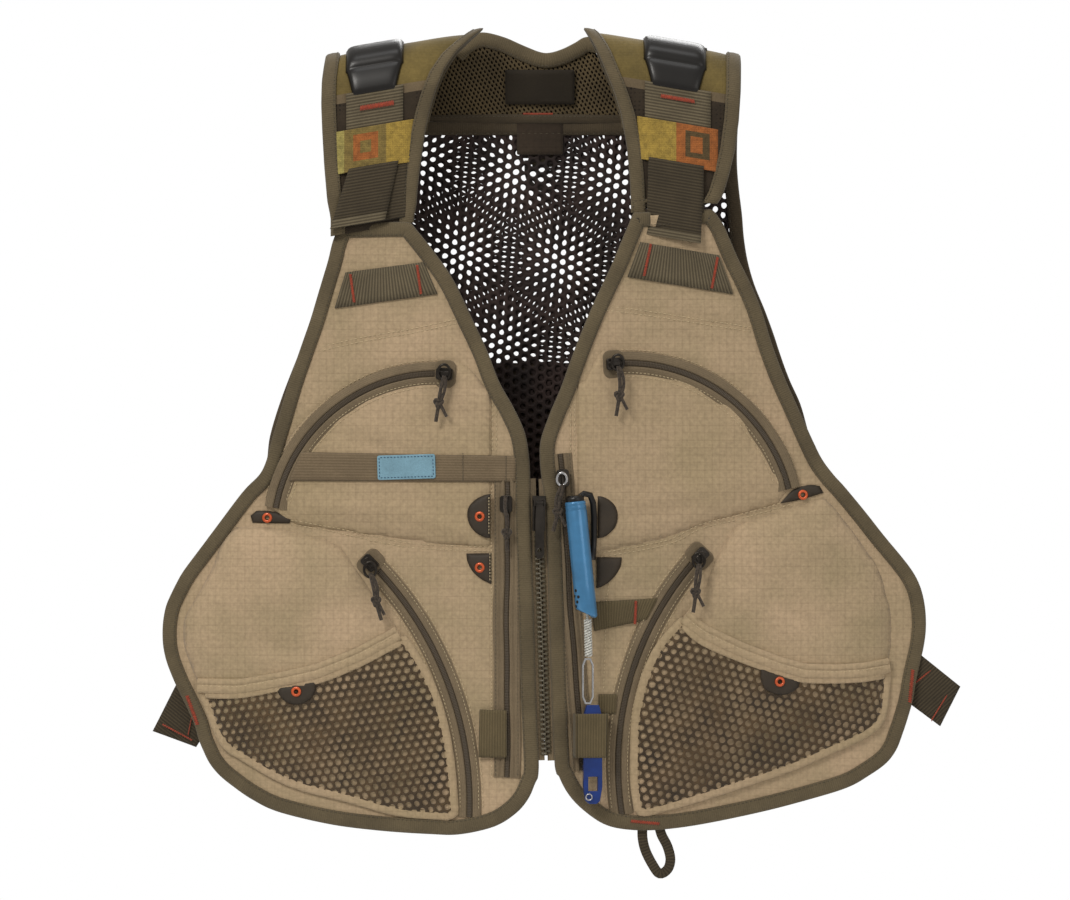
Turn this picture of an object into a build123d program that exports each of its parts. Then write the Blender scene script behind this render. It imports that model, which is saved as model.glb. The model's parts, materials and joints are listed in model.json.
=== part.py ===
from build123d import *
import math
import os

# Fishing vest, worn upright: +Z up, the front faces -Y, +X is the viewer's right.
# Origin: the underside of the hanger loop's apex on the outside of the back neck.
# Every outline below is a list of (x, z) points in millimetres seen square-on from the front.

os.makedirs("parts", exist_ok=True)

# ---- driving dimensions (mm) ----
ALPHA = 10.0            # each front panel turns back from the centre line by this angle, degrees
X_APEX = -2.5           # x of the centre line where the two front planes meet
Y_FRONT = -94.0         # y of the front plane at the centre line
Y_BACK = -4.5           # y of the back panel's outer face at x = 0
R_BACK = 800.0          # plan radius of the curved back
T_BACK = 2.5            # back panel thickness
T_PANEL = 2.0           # front panel shell thickness
BIND_W = 10.0           # edge binding width
BIND_IN = 0.8           # binding stands behind the shell by this much
BIND_OUT = 2.8          # and its outer face stands at this height
T_UPPER = 6.0           # outer face of the upper pocket above the shell plane
T_LOWER = 10.0          # outer face of the lower bellows pocket
T_NET = 11.4            # outer face of the net pocket over it
TAPE_W = 15.0           # pocket zip tape width
TAPE_T = 0.9            # zip tape thickness
COIL_W = 5.0            # zip coil width
COIL_T = 1.2            # zip coil height
TAB_T = 1.6             # tool tab thickness
EYE_R = 1.6             # eyelet hole radius
EYE_OUT = 3.6           # eyelet flange radius
EYE_BARREL = 2.5        # eyelet barrel outer radius
EYE_FLANGE = 0.6        # eyelet flange thickness
SLIDER_L = 12.0         # pocket slider length
SLIDER_W = 8.6          # pocket slider width
SLIDER_T = 3.0          # pocket slider height over the coil
PULL_D = 2.6            # pull cord diameter
WEB_W = 39.0            # shoulder webbing width
WEB_T = 1.6             # webbing thickness
PAD_T = 5.0             # shoulder pad thickness
PAD_R = 36.0            # outer radius of the shoulder arch
PAD_TILT = 9.6          # the arch rises towards the neck, degrees
PAD_Y = -40.0           # y of the arch centre
MAIN_GAP = 1.0          # half gap between the two rows of main zip teeth
MAIN_TOOTH = 2.4        # tooth reach
MAIN_PITCH = 3.4        # tooth pitch
BARREL_R = 7.4          # retractor barrel radius
BARREL_BORE = 3.8       # retractor barrel bore radius
BARREL_T = 16.0         # height of the barrel's axis over the shell plane
LINE_D = 1.8            # braided retractor line diameter

# ---- outlines (mm) ----

FRONT_L = [(-142.8, -121.8), (-147.7, -133.0), (-151.2, -147.0), (-155.4, -161.0), (-159.6, -175.0),
    (-163.8, -189.0), (-168.7, -203.0), (-173.6, -217.0), (-178.5, -231.0), (-182.7, -245.0), (-186.9, -259.0),
    (-191.1, -273.0), (-194.6, -287.0), (-199.5, -297.5), (-208.6, -306.6), (-215.6, -315.0), (-228.2, -331.8),
    (-240.8, -348.6), (-253.4, -365.4), (-258.3, -373.8), (-262.5, -382.2), (-266.0, -390.6), (-268.1, -402.5),
    (-268.1, -415.8), (-266.0, -427.0), (-262.5, -436.8), (-257.6, -448.0), (-251.3, -460.6), (-245.7, -473.2),
    (-242.9, -483.0), (-239.4, -491.4), (-235.2, -499.8), (-228.2, -508.2), (-217.7, -516.6), (-205.1, -525.0),
    (-186.9, -533.4), (-150.5, -541.8), (-115.5, -546.0), (-80.5, -548.1), (-59.5, -548.1), (-35.7, -542.5),
    (-21.0, -533.4), (-12.6, -523.6), (-7.7, -512.4), (-5.2, -502.6), (-7.0, -455.0), (-9.1, -385.0),
    (-10.5, -343.0), (-11.2, -318.5), (-11.2, -301.0), (-11.9, -286.3), (-14.7, -268.8), (-22.4, -251.3),
    (-32.9, -232.4), (-41.3, -210.7), (-51.8, -188.3), (-65.1, -161.0), (-79.1, -140.7), (-93.1, -123.2),
    (-98.7, -121.1)]
FRONT_R = [(62.3, -114.8), (116.9, -112.0), (123.9, -121.8), (129.5, -134.4), (135.1, -147.0), (142.1, -161.0),
    (148.4, -175.0), (153.3, -189.0), (157.5, -203.0), (162.4, -217.0), (168.0, -231.0), (174.3, -245.0),
    (180.6, -259.0), (186.9, -273.0), (193.9, -287.0), (202.3, -298.2), (210.0, -306.6), (224.0, -323.4),
    (237.3, -340.2), (251.3, -357.0), (259.0, -367.5), (263.9, -378.0), (266.7, -390.6), (267.4, -404.6),
    (266.0, -417.2), (263.2, -429.8), (260.4, -442.4), (258.3, -455.0), (254.8, -467.6), (250.6, -480.2),
    (246.4, -490.7), (239.4, -499.8), (227.5, -508.2), (212.1, -516.6), (184.1, -525.0), (150.5, -533.4),
    (107.8, -541.8), (77.0, -545.3), (56.0, -544.6), (42.0, -541.1), (30.1, -533.4), (20.3, -524.3),
    (14.0, -515.2), (9.8, -506.1), (7.7, -501.2), (5.6, -455.0), (3.5, -385.0), (2.1, -343.0), (1.4, -318.5),
    (-1.4, -301.0), (-2.8, -286.3), (-2.1, -273.0), (4.2, -254.8), (11.9, -236.6), (18.9, -217.0),
    (25.9, -198.8), (32.9, -182.0), (39.9, -166.6), (46.9, -151.9), (53.9, -135.1), (59.5, -121.8)]
PAD_L = [(-154.0, -4.2), (-155.8, -21.0), (-156.1, -37.8), (-155.4, -56.0), (-154.0, -80.5), (-151.9, -105.0),
    (-149.4, -117.3), (-92.9, -117.3), (-91.0, -109.2), (-90.3, -98.0), (-88.9, -85.4), (-86.8, -70.0),
    (-84.7, -56.0), (-81.2, -40.6), (-77.0, -26.6), (-71.4, -12.6), (-63.0, 0.0), (-52.5, 9.8), (-42.0, 18.2),
    (-42.0, 28.0), (-154.0, 28.0)]
PAD_R_OUT = [(137.2, -4.2), (136.5, -28.0), (135.1, -49.0), (132.3, -70.0), (128.1, -87.5), (123.9, -101.5),
    (118.3, -109.9), (61.6, -112.7), (60.9, -101.5), (60.2, -87.5), (58.1, -66.5), (53.9, -43.4),
    (49.0, -28.0), (43.4, -14.0), (37.1, 1.4), (31.5, 11.9), (26.6, 18.2), (26.6, 28.0), (137.2, 28.0)]
BACK = [(-156.1, -48.3), (-155.4, -63.0), (-153.3, -96.6), (-149.8, -121.8), (-148.4, -133.0),
    (-151.2, -148.4), (-159.6, -175.0), (-170.8, -203.0), (-186.2, -241.5), (-195.3, -270.2), (-198.1, -289.8),
    (-206.5, -308.0), (-217.0, -329.0), (-231.0, -350.0), (-243.6, -371.0), (-251.3, -392.0), (-254.1, -413.0),
    (-249.9, -434.0), (-241.5, -458.5), (-233.1, -474.6), (-213.5, -484.4), (-171.5, -490.0), (-87.5, -494.2),
    (0.0, -495.6), (87.5, -492.8), (171.5, -487.2), (213.5, -481.6), (233.1, -470.4), (242.9, -455.0),
    (249.9, -434.0), (253.4, -413.0), (251.3, -392.0), (243.6, -371.0), (231.7, -350.0), (217.7, -329.0),
    (205.1, -309.4), (191.8, -287.0), (186.9, -267.4), (181.3, -247.8), (173.6, -231.0), (167.3, -214.2),
    (161.7, -197.4), (155.4, -180.6), (148.4, -163.8), (143.5, -147.0), (140.7, -130.2), (139.3, -113.4),
    (137.2, -96.6), (135.8, -79.8), (135.8, -63.0), (136.5, -48.3)]
COLLAR = [(-39.9, 14.7), (-31.5, 13.3), (-21.0, 8.4), (-10.5, 3.5), (0.0, 1.4), (7.7, 2.8), (17.5, 8.4),
    (24.5, 14.7), (30.8, 9.8), (36.4, -0.7), (42.7, -16.1), (48.3, -30.1), (52.5, -44.1), (53.2, -47.2),
    (-80.5, -47.2), (-79.8, -41.3), (-75.6, -27.3), (-70.0, -13.3), (-61.6, -0.7), (-51.1, 9.1)]
CARGO = [(-158.9, -218.4), (-174.3, -262.5), (-188.3, -297.5), (-200.9, -322.0), (-220.5, -354.2),
    (-232.4, -382.2), (-236.6, -410.2), (-232.4, -438.2), (-221.9, -463.4), (-206.5, -473.2), (-87.5, -483.7),
    (0.0, -485.1), (87.5, -483.0), (199.5, -471.8), (219.1, -462.0), (231.7, -438.2), (235.9, -410.2),
    (232.4, -382.2), (221.9, -354.2), (203.7, -322.0), (188.3, -294.0), (176.4, -262.5), (158.9, -218.4)]
UPOCK_L = [(-66.5, -217.0), (-101.5, -220.5), (-129.5, -231.0), (-156.1, -246.4), (-175.0, -265.3),
    (-187.6, -287.0), (-195.3, -313.6), (-192.5, -322.0), (-178.5, -331.8), (-143.5, -337.4), (-101.5, -343.0),
    (-66.5, -347.2), (-36.4, -349.3), (-36.4, -247.8), (-42.7, -235.2), (-52.5, -222.6), (-60.9, -217.0)]
UPOCK_R = [(40.6, -209.3), (66.5, -211.4), (94.5, -218.4), (120.4, -228.2), (143.5, -242.9), (161.7, -266.0),
    (177.1, -296.8), (171.5, -306.6), (163.1, -319.2), (136.5, -326.2), (108.5, -333.9), (80.5, -343.0),
    (52.5, -349.3), (34.3, -352.1), (22.4, -353.5), (21.0, -245.0), (27.3, -231.0), (34.3, -217.0)]
LPOCK_L = [(-226.1, -341.6), (-216.3, -333.9), (-198.1, -333.2), (-171.5, -338.1), (-144.9, -346.5),
    (-130.2, -365.4), (-116.9, -385.0), (-102.9, -404.6), (-96.6, -414.4), (-87.5, -428.4), (-79.1, -443.8),
    (-73.5, -459.2), (-67.9, -477.4), (-65.1, -494.2), (-63.0, -513.8), (-61.6, -533.4), (-65.1, -537.6),
    (-101.5, -534.8), (-136.5, -525.7), (-178.5, -514.5), (-213.5, -495.6), (-224.7, -488.6), (-231.7, -476.0),
    (-238.0, -460.6), (-242.2, -449.4), (-248.5, -434.0), (-253.4, -420.0), (-254.8, -407.4), (-252.7, -395.5),
    (-241.5, -376.6), (-233.1, -360.5)]
LPOCK_R = [(133.0, -332.5), (119.7, -354.2), (109.9, -378.0), (93.8, -399.0), (79.1, -416.5), (70.7, -431.9),
    (65.1, -449.4), (61.6, -470.4), (60.9, -490.0), (60.9, -511.0), (63.0, -533.4), (67.9, -535.5),
    (108.5, -524.3), (150.5, -511.7), (178.5, -501.9), (206.5, -490.7), (224.7, -481.6), (233.8, -474.6),
    (238.0, -465.5), (240.1, -451.5), (240.8, -435.4), (243.6, -420.0), (243.6, -395.5), (240.8, -383.6),
    (237.3, -369.6), (231.0, -357.0), (218.4, -339.5), (205.1, -322.0), (196.0, -312.9), (171.5, -319.9)]
MESH_L = [(-240.8, -450.8), (-213.5, -450.8), (-185.5, -445.9), (-157.5, -440.3), (-129.5, -429.1),
    (-108.5, -417.9), (-98.7, -413.0), (-91.7, -422.8), (-82.6, -438.2), (-75.6, -455.0), (-70.0, -474.6),
    (-66.5, -494.2), (-64.4, -513.8), (-63.0, -533.4), (-66.5, -536.2), (-101.5, -533.4), (-136.5, -524.3),
    (-178.5, -513.1), (-213.5, -494.2), (-223.3, -487.2), (-230.3, -474.6), (-236.6, -459.2)]
MESH_R = [(95.2, -400.4), (108.5, -413.0), (136.5, -425.6), (164.5, -435.4), (178.5, -439.6), (199.5, -440.3),
    (220.5, -439.6), (240.1, -436.8), (238.7, -453.6), (236.6, -464.8), (232.4, -473.2), (220.5, -481.6),
    (199.5, -490.7), (171.5, -502.6), (143.5, -511.7), (108.5, -522.9), (73.5, -532.7), (65.1, -532.7),
    (62.3, -512.4), (62.3, -490.0), (63.0, -470.4), (66.5, -450.8), (72.1, -433.3), (80.5, -417.2)]
HEM_L = [(-245.7, -441.7), (-213.5, -442.4), (-185.5, -437.5), (-157.5, -430.5), (-129.5, -419.3),
    (-112.0, -409.5), (-104.3, -404.6), (-99.4, -411.9), (-108.5, -417.2), (-129.5, -428.4), (-157.5, -439.6),
    (-185.5, -445.2), (-213.5, -450.1), (-241.5, -449.7)]
HEM_R = [(98.7, -394.1), (108.5, -401.8), (136.5, -415.8), (164.5, -427.0), (182.0, -431.2), (206.5, -431.9),
    (227.5, -429.8), (242.9, -427.0), (240.4, -436.1), (220.5, -438.9), (199.5, -439.6), (178.5, -438.9),
    (164.5, -434.7), (136.5, -424.9), (108.5, -412.3), (95.2, -399.3)]
CHESTWEB_L = [(-139.3, -155.4), (-84.7, -148.4), (-74.9, -170.8), (-147.0, -180.6)]
CHESTWEB_R = [(66.5, -134.4), (121.8, -143.5), (131.6, -170.8), (57.4, -158.9)]
BAND_L = [(-163.8, -281.4), (-115.5, -282.1), (-73.5, -283.5), (-37.1, -282.8), (-18.9, -284.2),
    (-19.6, -302.4), (-38.5, -303.8), (-73.5, -303.8), (-115.5, -302.4), (-169.4, -301.0)]
PATCH_L = [(-116.2, -283.1), (-74.9, -284.9), (-75.6, -302.4), (-116.2, -301.3)]
TAB1_L = [(-185.5, -446.6), (-158.9, -441.3), (-158.9, -448.0), (-163.1, -455.0), (-171.5, -458.5),
    (-179.9, -456.4), (-184.8, -450.8)]
TAB3_L = [(-37.1, -310.8), (-41.3, -311.5), (-46.9, -314.3), (-51.8, -319.2), (-53.2, -324.8), (-51.8, -331.8),
    (-47.6, -337.4), (-41.3, -340.9), (-37.1, -341.6)]
TAB4_L = [(-37.1, -352.1), (-54.6, -352.4), (-53.9, -357.7), (-50.4, -364.7), (-44.1, -370.3), (-38.5, -373.1),
    (-37.1, -373.8)]
TAB2_L = [(-206.5, -326.2), (-202.3, -322.7), (-193.9, -322.7), (-184.1, -324.8), (-177.8, -329.0),
    (-179.2, -331.4), (-193.9, -331.4), (-205.1, -331.1)]
TAB1_R = [(149.1, -432.9), (176.4, -441.3), (175.7, -446.6), (169.4, -450.8), (161.0, -451.5), (151.9, -448.0),
    (149.1, -441.0)]
TAB3_R = [(35.7, -312.2), (39.9, -312.9), (44.8, -315.7), (48.3, -319.9), (49.7, -326.2), (48.3, -333.2),
    (44.1, -338.1), (39.9, -340.9), (35.7, -341.6)]
TAB4_R = [(35.7, -354.9), (53.2, -355.2), (52.5, -361.2), (49.0, -367.5), (43.4, -373.1), (38.5, -375.9),
    (35.7, -376.6)]
TAB2_R = [(165.2, -317.4), (168.7, -312.9), (175.0, -307.3), (185.5, -304.5), (192.5, -305.2), (195.3, -310.1),
    (178.5, -315.0)]
STRIP_R = [(36.4, -386.4), (73.5, -384.3), (66.5, -397.6), (62.3, -403.9), (36.4, -406.0)]
STRIP2_R = [(39.9, -451.5), (46.9, -452.2), (46.2, -464.8), (39.9, -464.8)]
TAIL_L = [(-142.1, -79.1), (-102.9, -79.1), (-107.8, -109.2), (-112.7, -119.0), (-148.4, -114.1),
    (-146.3, -107.8)]
TAIL_R = [(70.0, -79.1), (110.6, -79.1), (109.2, -108.5), (107.8, -127.4), (70.0, -128.1)]
KEEP_L = [(-146.3, -49.0), (-93.8, -49.0), (-96.6, -77.7), (-147.7, -77.7)]
KEEP_R = [(65.1, -48.3), (121.8, -48.3), (120.4, -77.0), (67.2, -77.7)]
SIDE_L = [(-237.3, -438.2), (-258.3, -442.4), (-276.5, -478.1), (-245.7, -489.3), (-226.1, -457.8)]
SIDE_R = [(252.0, -429.8), (263.9, -423.5), (292.6, -446.6), (278.6, -474.6), (252.0, -455.0)]
UZIP_L = [(-68.6, -226.8), (-143.5, -249.2), (-186.9, -315.0)]
UZIP_R = [(46.9, -219.8), (120.4, -238.0), (168.7, -301.7)]
LZIP_L = [(-121.8, -359.1), (-70.7, -435.4), (-52.5, -534.8)]
LZIP_R = [(107.8, -354.2), (61.6, -432.6), (53.2, -533.4)]
EYE1_L = (-172.2, -449.4)
EYE3_L = (-44.4, -326.5)
EYE4_L = (-45.1, -362.2)
EYE1_R = (162.4, -442.4)
EYE2_L = (-194.6, -327.6)
EYE2_R = (180.6, -311.5)
CZIP_L_TOP = (-26.2, -303.8)
CZIP_L_BOT = (-26.2, -508.9)
CZIP_R_TOP = (10.5, -285.6)
CZIP_R_BOT = (25.9, -504.0)
CHAIN_TOP = (-4.9, -318.5)
CHAIN_BOT = (1.0, -502.6)
BARREL_TOP = (18.2, -315.7)
BARREL_BOT = (26.6, -397.6)
NIPPER_TOP = (31.1, -455.0)
NIPPER_BOT = (31.1, -527.1)

CA = math.cos(math.radians(ALPHA))
CHAIN_DX = (CHAIN_BOT[0] - CHAIN_TOP[0]) / (CHAIN_BOT[1] - CHAIN_TOP[1])


def chain_x(z):
    """x of the main zip's centre line at height z."""
    return CHAIN_TOP[0] + (z - CHAIN_TOP[1]) * CHAIN_DX


def loc(p):
    """Outline point to panel coordinates (distance along the panel, height)."""
    return ((p[0] - X_APEX) / CA, p[1])


def place(shape, side):
    """Panel coordinates to the object's frame. side is 'L' or 'R'."""
    turn = -ALPHA if side == "L" else ALPHA
    return Pos(X_APEX, Y_FRONT, 0) * Rot(0, 0, turn) * shape


def slab(points, t0, t1):
    """A flat prism on the panel, from height t0 to t1 over the shell plane."""
    face = Plane.XZ.offset(t0) * make_face(Polyline(*points, close=True))
    return extrude(face, amount=t1 - t0, dir=(0, -1, 0))


def area2(pts):
    return sum(pts[i][0] * pts[(i + 1) % len(pts)][1] - pts[(i + 1) % len(pts)][0] * pts[i][1]
               for i in range(len(pts)))


def inset(pts, d):
    """The outline moved inwards by d."""
    n = len(pts)
    sgn = 1.0 if area2(pts) > 0 else -1.0
    out = []
    for i in range(n):
        a, b, c = pts[i - 1], pts[i], pts[(i + 1) % n]
        e1 = (b[0] - a[0], b[1] - a[1])
        e2 = (c[0] - b[0], c[1] - b[1])
        l1, l2 = math.hypot(*e1), math.hypot(*e2)
        n1 = (-e1[1] / l1 * sgn, e1[0] / l1 * sgn)
        n2 = (-e2[1] / l2 * sgn, e2[0] / l2 * sgn)
        m = (n1[0] + n2[0], n1[1] + n2[1])
        ml = math.hypot(*m)
        m = (m[0] / ml, m[1] / ml)
        k = d / max(0.45, m[0] * n1[0] + m[1] * n1[1])
        out.append((b[0] + m[0] * k, b[1] + m[1] * k))
    return out


def circle3(a, b, c):
    ax, ay = a
    bx, by = b
    cx, cy = c
    d = 2 * (ax * (by - cy) + bx * (cy - ay) + cx * (ay - by))
    ux = ((ax * ax + ay * ay) * (by - cy) + (bx * bx + by * by) * (cy - ay) + (cx * cx + cy * cy) * (ay - by)) / d
    uy = ((ax * ax + ay * ay) * (cx - bx) + (bx * bx + by * by) * (ax - cx) + (cx * cx + cy * cy) * (bx - ax)) / d
    return (ux, uy), math.hypot(ax - ux, ay - uy)


def arc_data(three):
    """Centre, radius, start angle and sweep of an arc, in panel coordinates."""
    a, b, c = (loc(p) for p in three)
    o, r = circle3(a, b, c)
    t0 = math.atan2(a[1] - o[1], a[0] - o[0])
    t1 = math.atan2(c[1] - o[1], c[0] - o[0])
    tm = math.atan2(b[1] - o[1], b[0] - o[0])
    sweep = (t1 - t0 + math.pi) % (2 * math.pi) - math.pi
    mid = (tm - t0 + math.pi) % (2 * math.pi) - math.pi
    if sweep * mid < 0:
        sweep += 2 * math.pi if sweep < 0 else -2 * math.pi
    return o, r, t0, sweep


def arc_band(three, width, t0, t1, before=0.0, after=0.0, n=26):
    """A curved flat band along an arc, lengthened at its ends by before and after."""
    o, r, a0, sw = arc_data(three)
    s = 1.0 if sw > 0 else -1.0
    a = a0 - s * before / r
    b = a0 + sw + s * after / r
    ts = [a + (b - a) * i / n for i in range(n + 1)]
    outer = [(o[0] + (r + width / 2) * math.cos(t), o[1] + (r + width / 2) * math.sin(t)) for t in ts]
    inner = [(o[0] + (r - width / 2) * math.cos(t), o[1] + (r - width / 2) * math.sin(t)) for t in reversed(ts)]
    return slab(outer + inner, t0, t1)


def strip(p, q, width, t0, t1):
    """A straight band from p to q in panel coordinates."""
    d = (q[0] - p[0], q[1] - p[1])
    k = math.hypot(*d)
    nx, nz = -d[1] / k * width / 2, d[0] / k * width / 2
    return slab([(p[0] + nx, p[1] + nz), (q[0] + nx, q[1] + nz), (q[0] - nx, q[1] - nz), (p[0] - nx, p[1] - nz)], t0, t1)


def disc(c, r, t0, t1):
    """A round disc on the panel at c."""
    return extrude(Plane.XZ.offset(t0) * Pos(c[0], c[1]) * Circle(r), amount=t1 - t0, dir=(0, -1, 0))


def L(pts):
    return [loc(p) for p in pts]


def keep(shape):
    """Join what is left of a cut into one shape, dropping crumbs."""
    sol = [s for s in shape.solids() if s.volume > 2.0]
    return sol[0] if len(sol) == 1 else Compound(children=sol)


def group(shapes):
    out = []
    for s in shapes:
        out += list(s.solids())
    return Compound(children=out)


def save(name, shape):
    shape.label = name
    export_step(shape, f"parts/{name}.step")


def pocket_slider(at, ang, t_coil):
    """Zip slider: body over the coil and a ring for its cord, running along direction ang."""
    body = Plane.XZ.offset(t_coil + 0.4) * RectangleRounded(SLIDER_L, SLIDER_W, 2.2)
    body = extrude(body, amount=SLIDER_T, dir=(0, -1, 0))
    top = t_coil + 0.4 + SLIDER_T
    bridge = extrude(Plane.XZ.offset(top) * RectangleRounded(8.4, 3.2, 1.2), amount=1.5, dir=(0, -1, 0))
    s = body + bridge
    s = Rot(0, -math.degrees(ang), 0) * s
    return Pos(at[0], 0, at[1]) * s


def cord_tube(points, d, radii_k=0.45):
    """A limp cord: straight runs joined by tangent arcs."""
    v = [Vector(*p) for p in points]
    radii = []
    for i in range(1, len(v) - 1):
        a, b = v[i] - v[i - 1], v[i + 1] - v[i]
        turn = math.radians(a.get_angle(b))
        radii.append(radii_k * min(a.length, b.length) / math.tan(turn / 2))
    path = FilletPolyline(*v, radius=radii)
    start = Plane(origin=v[0], z_dir=(v[1] - v[0]))
    tube = sweep(start * Circle(d / 2), path=path)
    print("cord", round(path.length, 1), "mm, radii", [round(r, 1) for r in radii],
          "volume ratio", round(tube.volume / (math.pi * d * d / 4 * path.length), 3))
    return tube


# =====================================================================
# Back body: curved back panel, cargo pocket, collar, shoulders
# =====================================================================

def back_band(r_out, thick, z0, z1):
    """Curved upright band; r_out is the offset of its outer face behind the back's plan circle."""
    ro = R_BACK + r_out
    ri = ro - thick
    cy = Y_BACK - R_BACK
    half = 0.4
    pts_o = [(ro * math.sin(-half + i * half / 20), cy + ro * math.cos(-half + i * half / 20)) for i in range(41)]
    pts_i = [(ri * math.sin(-half + i * half / 20), cy + ri * math.cos(-half + i * half / 20)) for i in range(41)]
    face = Plane.XY.offset(z0) * make_face(Polyline(*(pts_o + pts_i[::-1]), close=True))
    return extrude(face, amount=z1 - z0, dir=(0, 0, 1))


def prism(points, y0=-160.0, y1=20.0):
    """An outline as a prism along Y."""
    face = Plane.XZ.offset(-y1) * make_face(Polyline(*points, close=True))
    return extrude(face, amount=y1 - y0, dir=(0, -1, 0))


BACK_S = [(p[0] * 0.99, p[1]) for p in BACK]
back_reach = [(q[0], -20.0 if p[1] > -49 else q[1]) for p, q in zip(BACK_S, inset(BACK_S, 8.0))]
back_panel = back_band(0.0, T_BACK, -520, -48.4) & prism(back_reach)
back_ring = back_band(0.6, T_BACK + 1.2, -520, -48.4) & (prism(BACK_S) - prism(back_reach))
save("back_mesh_panel", keep(back_panel))
save("back_binding", keep(back_ring))
cargo = back_band(5.2, 4.6, -520, -30) & prism([(p[0] * 0.97, p[1] * 0.985 - 3.0) for p in CARGO])
save("back_cargo_pocket", keep(cargo))

# collar between the shoulder pads, with its top binding
col = inset(COLLAR, 1.6)
top_idx = [i for i, p in enumerate(COLLAR) if i <= 8]
top_pts = [col[i] for i in top_idx]
collar_strip = top_pts + [(p[0], p[1] - BIND_W) for p in reversed(top_pts)]
collar_bind = slab(collar_strip, 3.7, 9.3)
collar_bind = collar_bind & slab(col, 0, 20)
collar = slab(col, 4.5, 8.5) - slab(collar_strip, 0, 20)
save("collar_mesh", keep(collar))


def arch_band(r_out, thick, z_foot_front, z_foot_back, x0, x1):
    """Shoulder arch: a front leg, a half circle and a back leg, as a band along X."""
    zc = 0.0
    ro, ri = r_out, r_out - thick
    n = 24
    o = [(-ro, z_foot_front)] + [(-ro * math.cos(math.pi * i / n), zc + ro * math.sin(math.pi * i / n)) for i in range(n + 1)] + [(ro, z_foot_back)]
    q = [(-ri, z_foot_front)] + [(-ri * math.cos(math.pi * i / n), zc + ri * math.sin(math.pi * i / n)) for i in range(n + 1)] + [(ri, z_foot_back)]
    face = Plane.YZ.offset(x0) * make_face(Polyline(*(o + q[::-1]), close=True))
    return extrude(face, amount=x1 - x0, dir=(1, 0, 0))


PAD_ZTOP = 6.5          # top of the arch at the middle of the pad
PAD_XMID = {"L": -98.0, "R": 83.0}


def arch(side, extra_out, thick, foot=-240.0):
    """The side's shoulder arch in place: tilted so that it rises towards the neck."""
    band = arch_band(PAD_R + extra_out, thick, foot, foot, -130, 130)
    tilt = -PAD_TILT if side == "L" else PAD_TILT
    return Pos(PAD_XMID[side], PAD_Y, PAD_ZTOP - PAD_R) * Rot(0, tilt, 0) * band


pads, binds = [], [collar_bind]
front_half = Pos(0, -100, 0) * Box(600, 120, 700)        # y < -40
back_half_lo = -46.0
for side, outline in (("L", PAD_L), ("R", PAD_R_OUT)):
    n = len(outline)
    inner = inset(outline, BIND_W)
    # the inner region keeps the full height: only the two long edges carry binding
    lo = min(p[1] for p in outline)
    hi = max(p[1] for p in outline)
    stretched = []
    for p, q in zip(outline, inner):
        z = q[1]
        if p[1] < lo + 4:
            z = lo - 30
        if p[1] > hi - 6:
            z = hi + 30
        stretched.append((q[0], z))
    above_front = prism(outline) & front_half
    above_back = prism(outline) & (Pos(0, 20, 100 + back_half_lo) * Box(600, 120, 200))
    region = above_front + above_back
    inner_region = region & prism(stretched)
    ring_region = region - prism(stretched)
    pads.append(keep(arch(side, 0, PAD_T) & inner_region))
    binds.append(keep(arch(side, 0.8, PAD_T + 1.6) & ring_region))
save("shoulder_pads", group(pads))
save("edge_bindings", group(binds))

# neck label inside the collar, blank
label = Pos(-3.5, Y_BACK - 4.0 - 0.5, -22.8) * Box(49, 1.0, 21.0)
save("neck_label", label)

# hanger loop: an arch of tape on the outside of the neck; its apex's underside is the origin
LOOP_R = 14.0
loop = Plane.XZ.offset(-3.5) * (make_face(Polyline(
    *[(-(LOOP_R + 1.6) * math.cos(math.pi * i / 16), -LOOP_R + (LOOP_R + 1.6) * math.sin(math.pi * i / 16)) for i in range(17)],
    (LOOP_R + 1.6, -34), (-(LOOP_R + 1.6), -34), close=True)) - make_face(Polyline(
    *[(-LOOP_R * math.cos(math.pi * i / 16), -LOOP_R + LOOP_R * math.sin(math.pi * i / 16)) for i in range(17)],
    (LOOP_R, -30), (-LOOP_R, -30), close=True)))
hanger = extrude(loop, amount=7.0, dir=(0, -1, 0))
hanger += Pos(0, -3.9, -30.0) * Box(2 * LOOP_R + 3.2, 1.0, 8.0)
save("hanger_loop", keep(hanger))

# D-ring tab and D-ring on the outside of the yoke
DR_Z, DR_Y, DR_R = -76.0, -1.0, 1.5
tab = Pos(0, Y_BACK + 0.9, -61) * Box(31, 1.4, 24)
tab += Pos(0, DR_Y, DR_Z) * Rot(0, 90, 0) * Cylinder(3.2, 18)
tab += Pos(0, (Y_BACK + 0.2 + DR_Y) / 2, DR_Z + 2.0) * Box(18, DR_Y - Y_BACK - 0.2, 4.0)
tab -= Pos(0, DR_Y, DR_Z) * Rot(0, 90, 0) * Cylinder(DR_R + 0.08, 40)
save("d_ring_tab", keep(tab))
ring = Pos(0, DR_Y, DR_Z) * Rot(0, 90, 0) * Cylinder(DR_R, 26)
bow = extrude(Plane.XZ.offset(-DR_Y - 1.5) * (make_face(Polyline(
    *[(14.5 * math.cos(math.pi * i / 16), DR_Z - 6 - 14.5 * math.sin(math.pi * i / 16)) for i in range(17)],
    (-14.5, DR_Z + 1.5), (14.5, DR_Z + 1.5), close=True)) - make_face(Polyline(
    *[(11.5 * math.cos(math.pi * i / 16), DR_Z - 6 - 11.5 * math.sin(math.pi * i / 16)) for i in range(17)],
    (-11.5, DR_Z + 8), (11.5, DR_Z + 8), close=True))), amount=3.0, dir=(0, -1, 0))
save("d_ring", keep(ring + bow))

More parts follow.
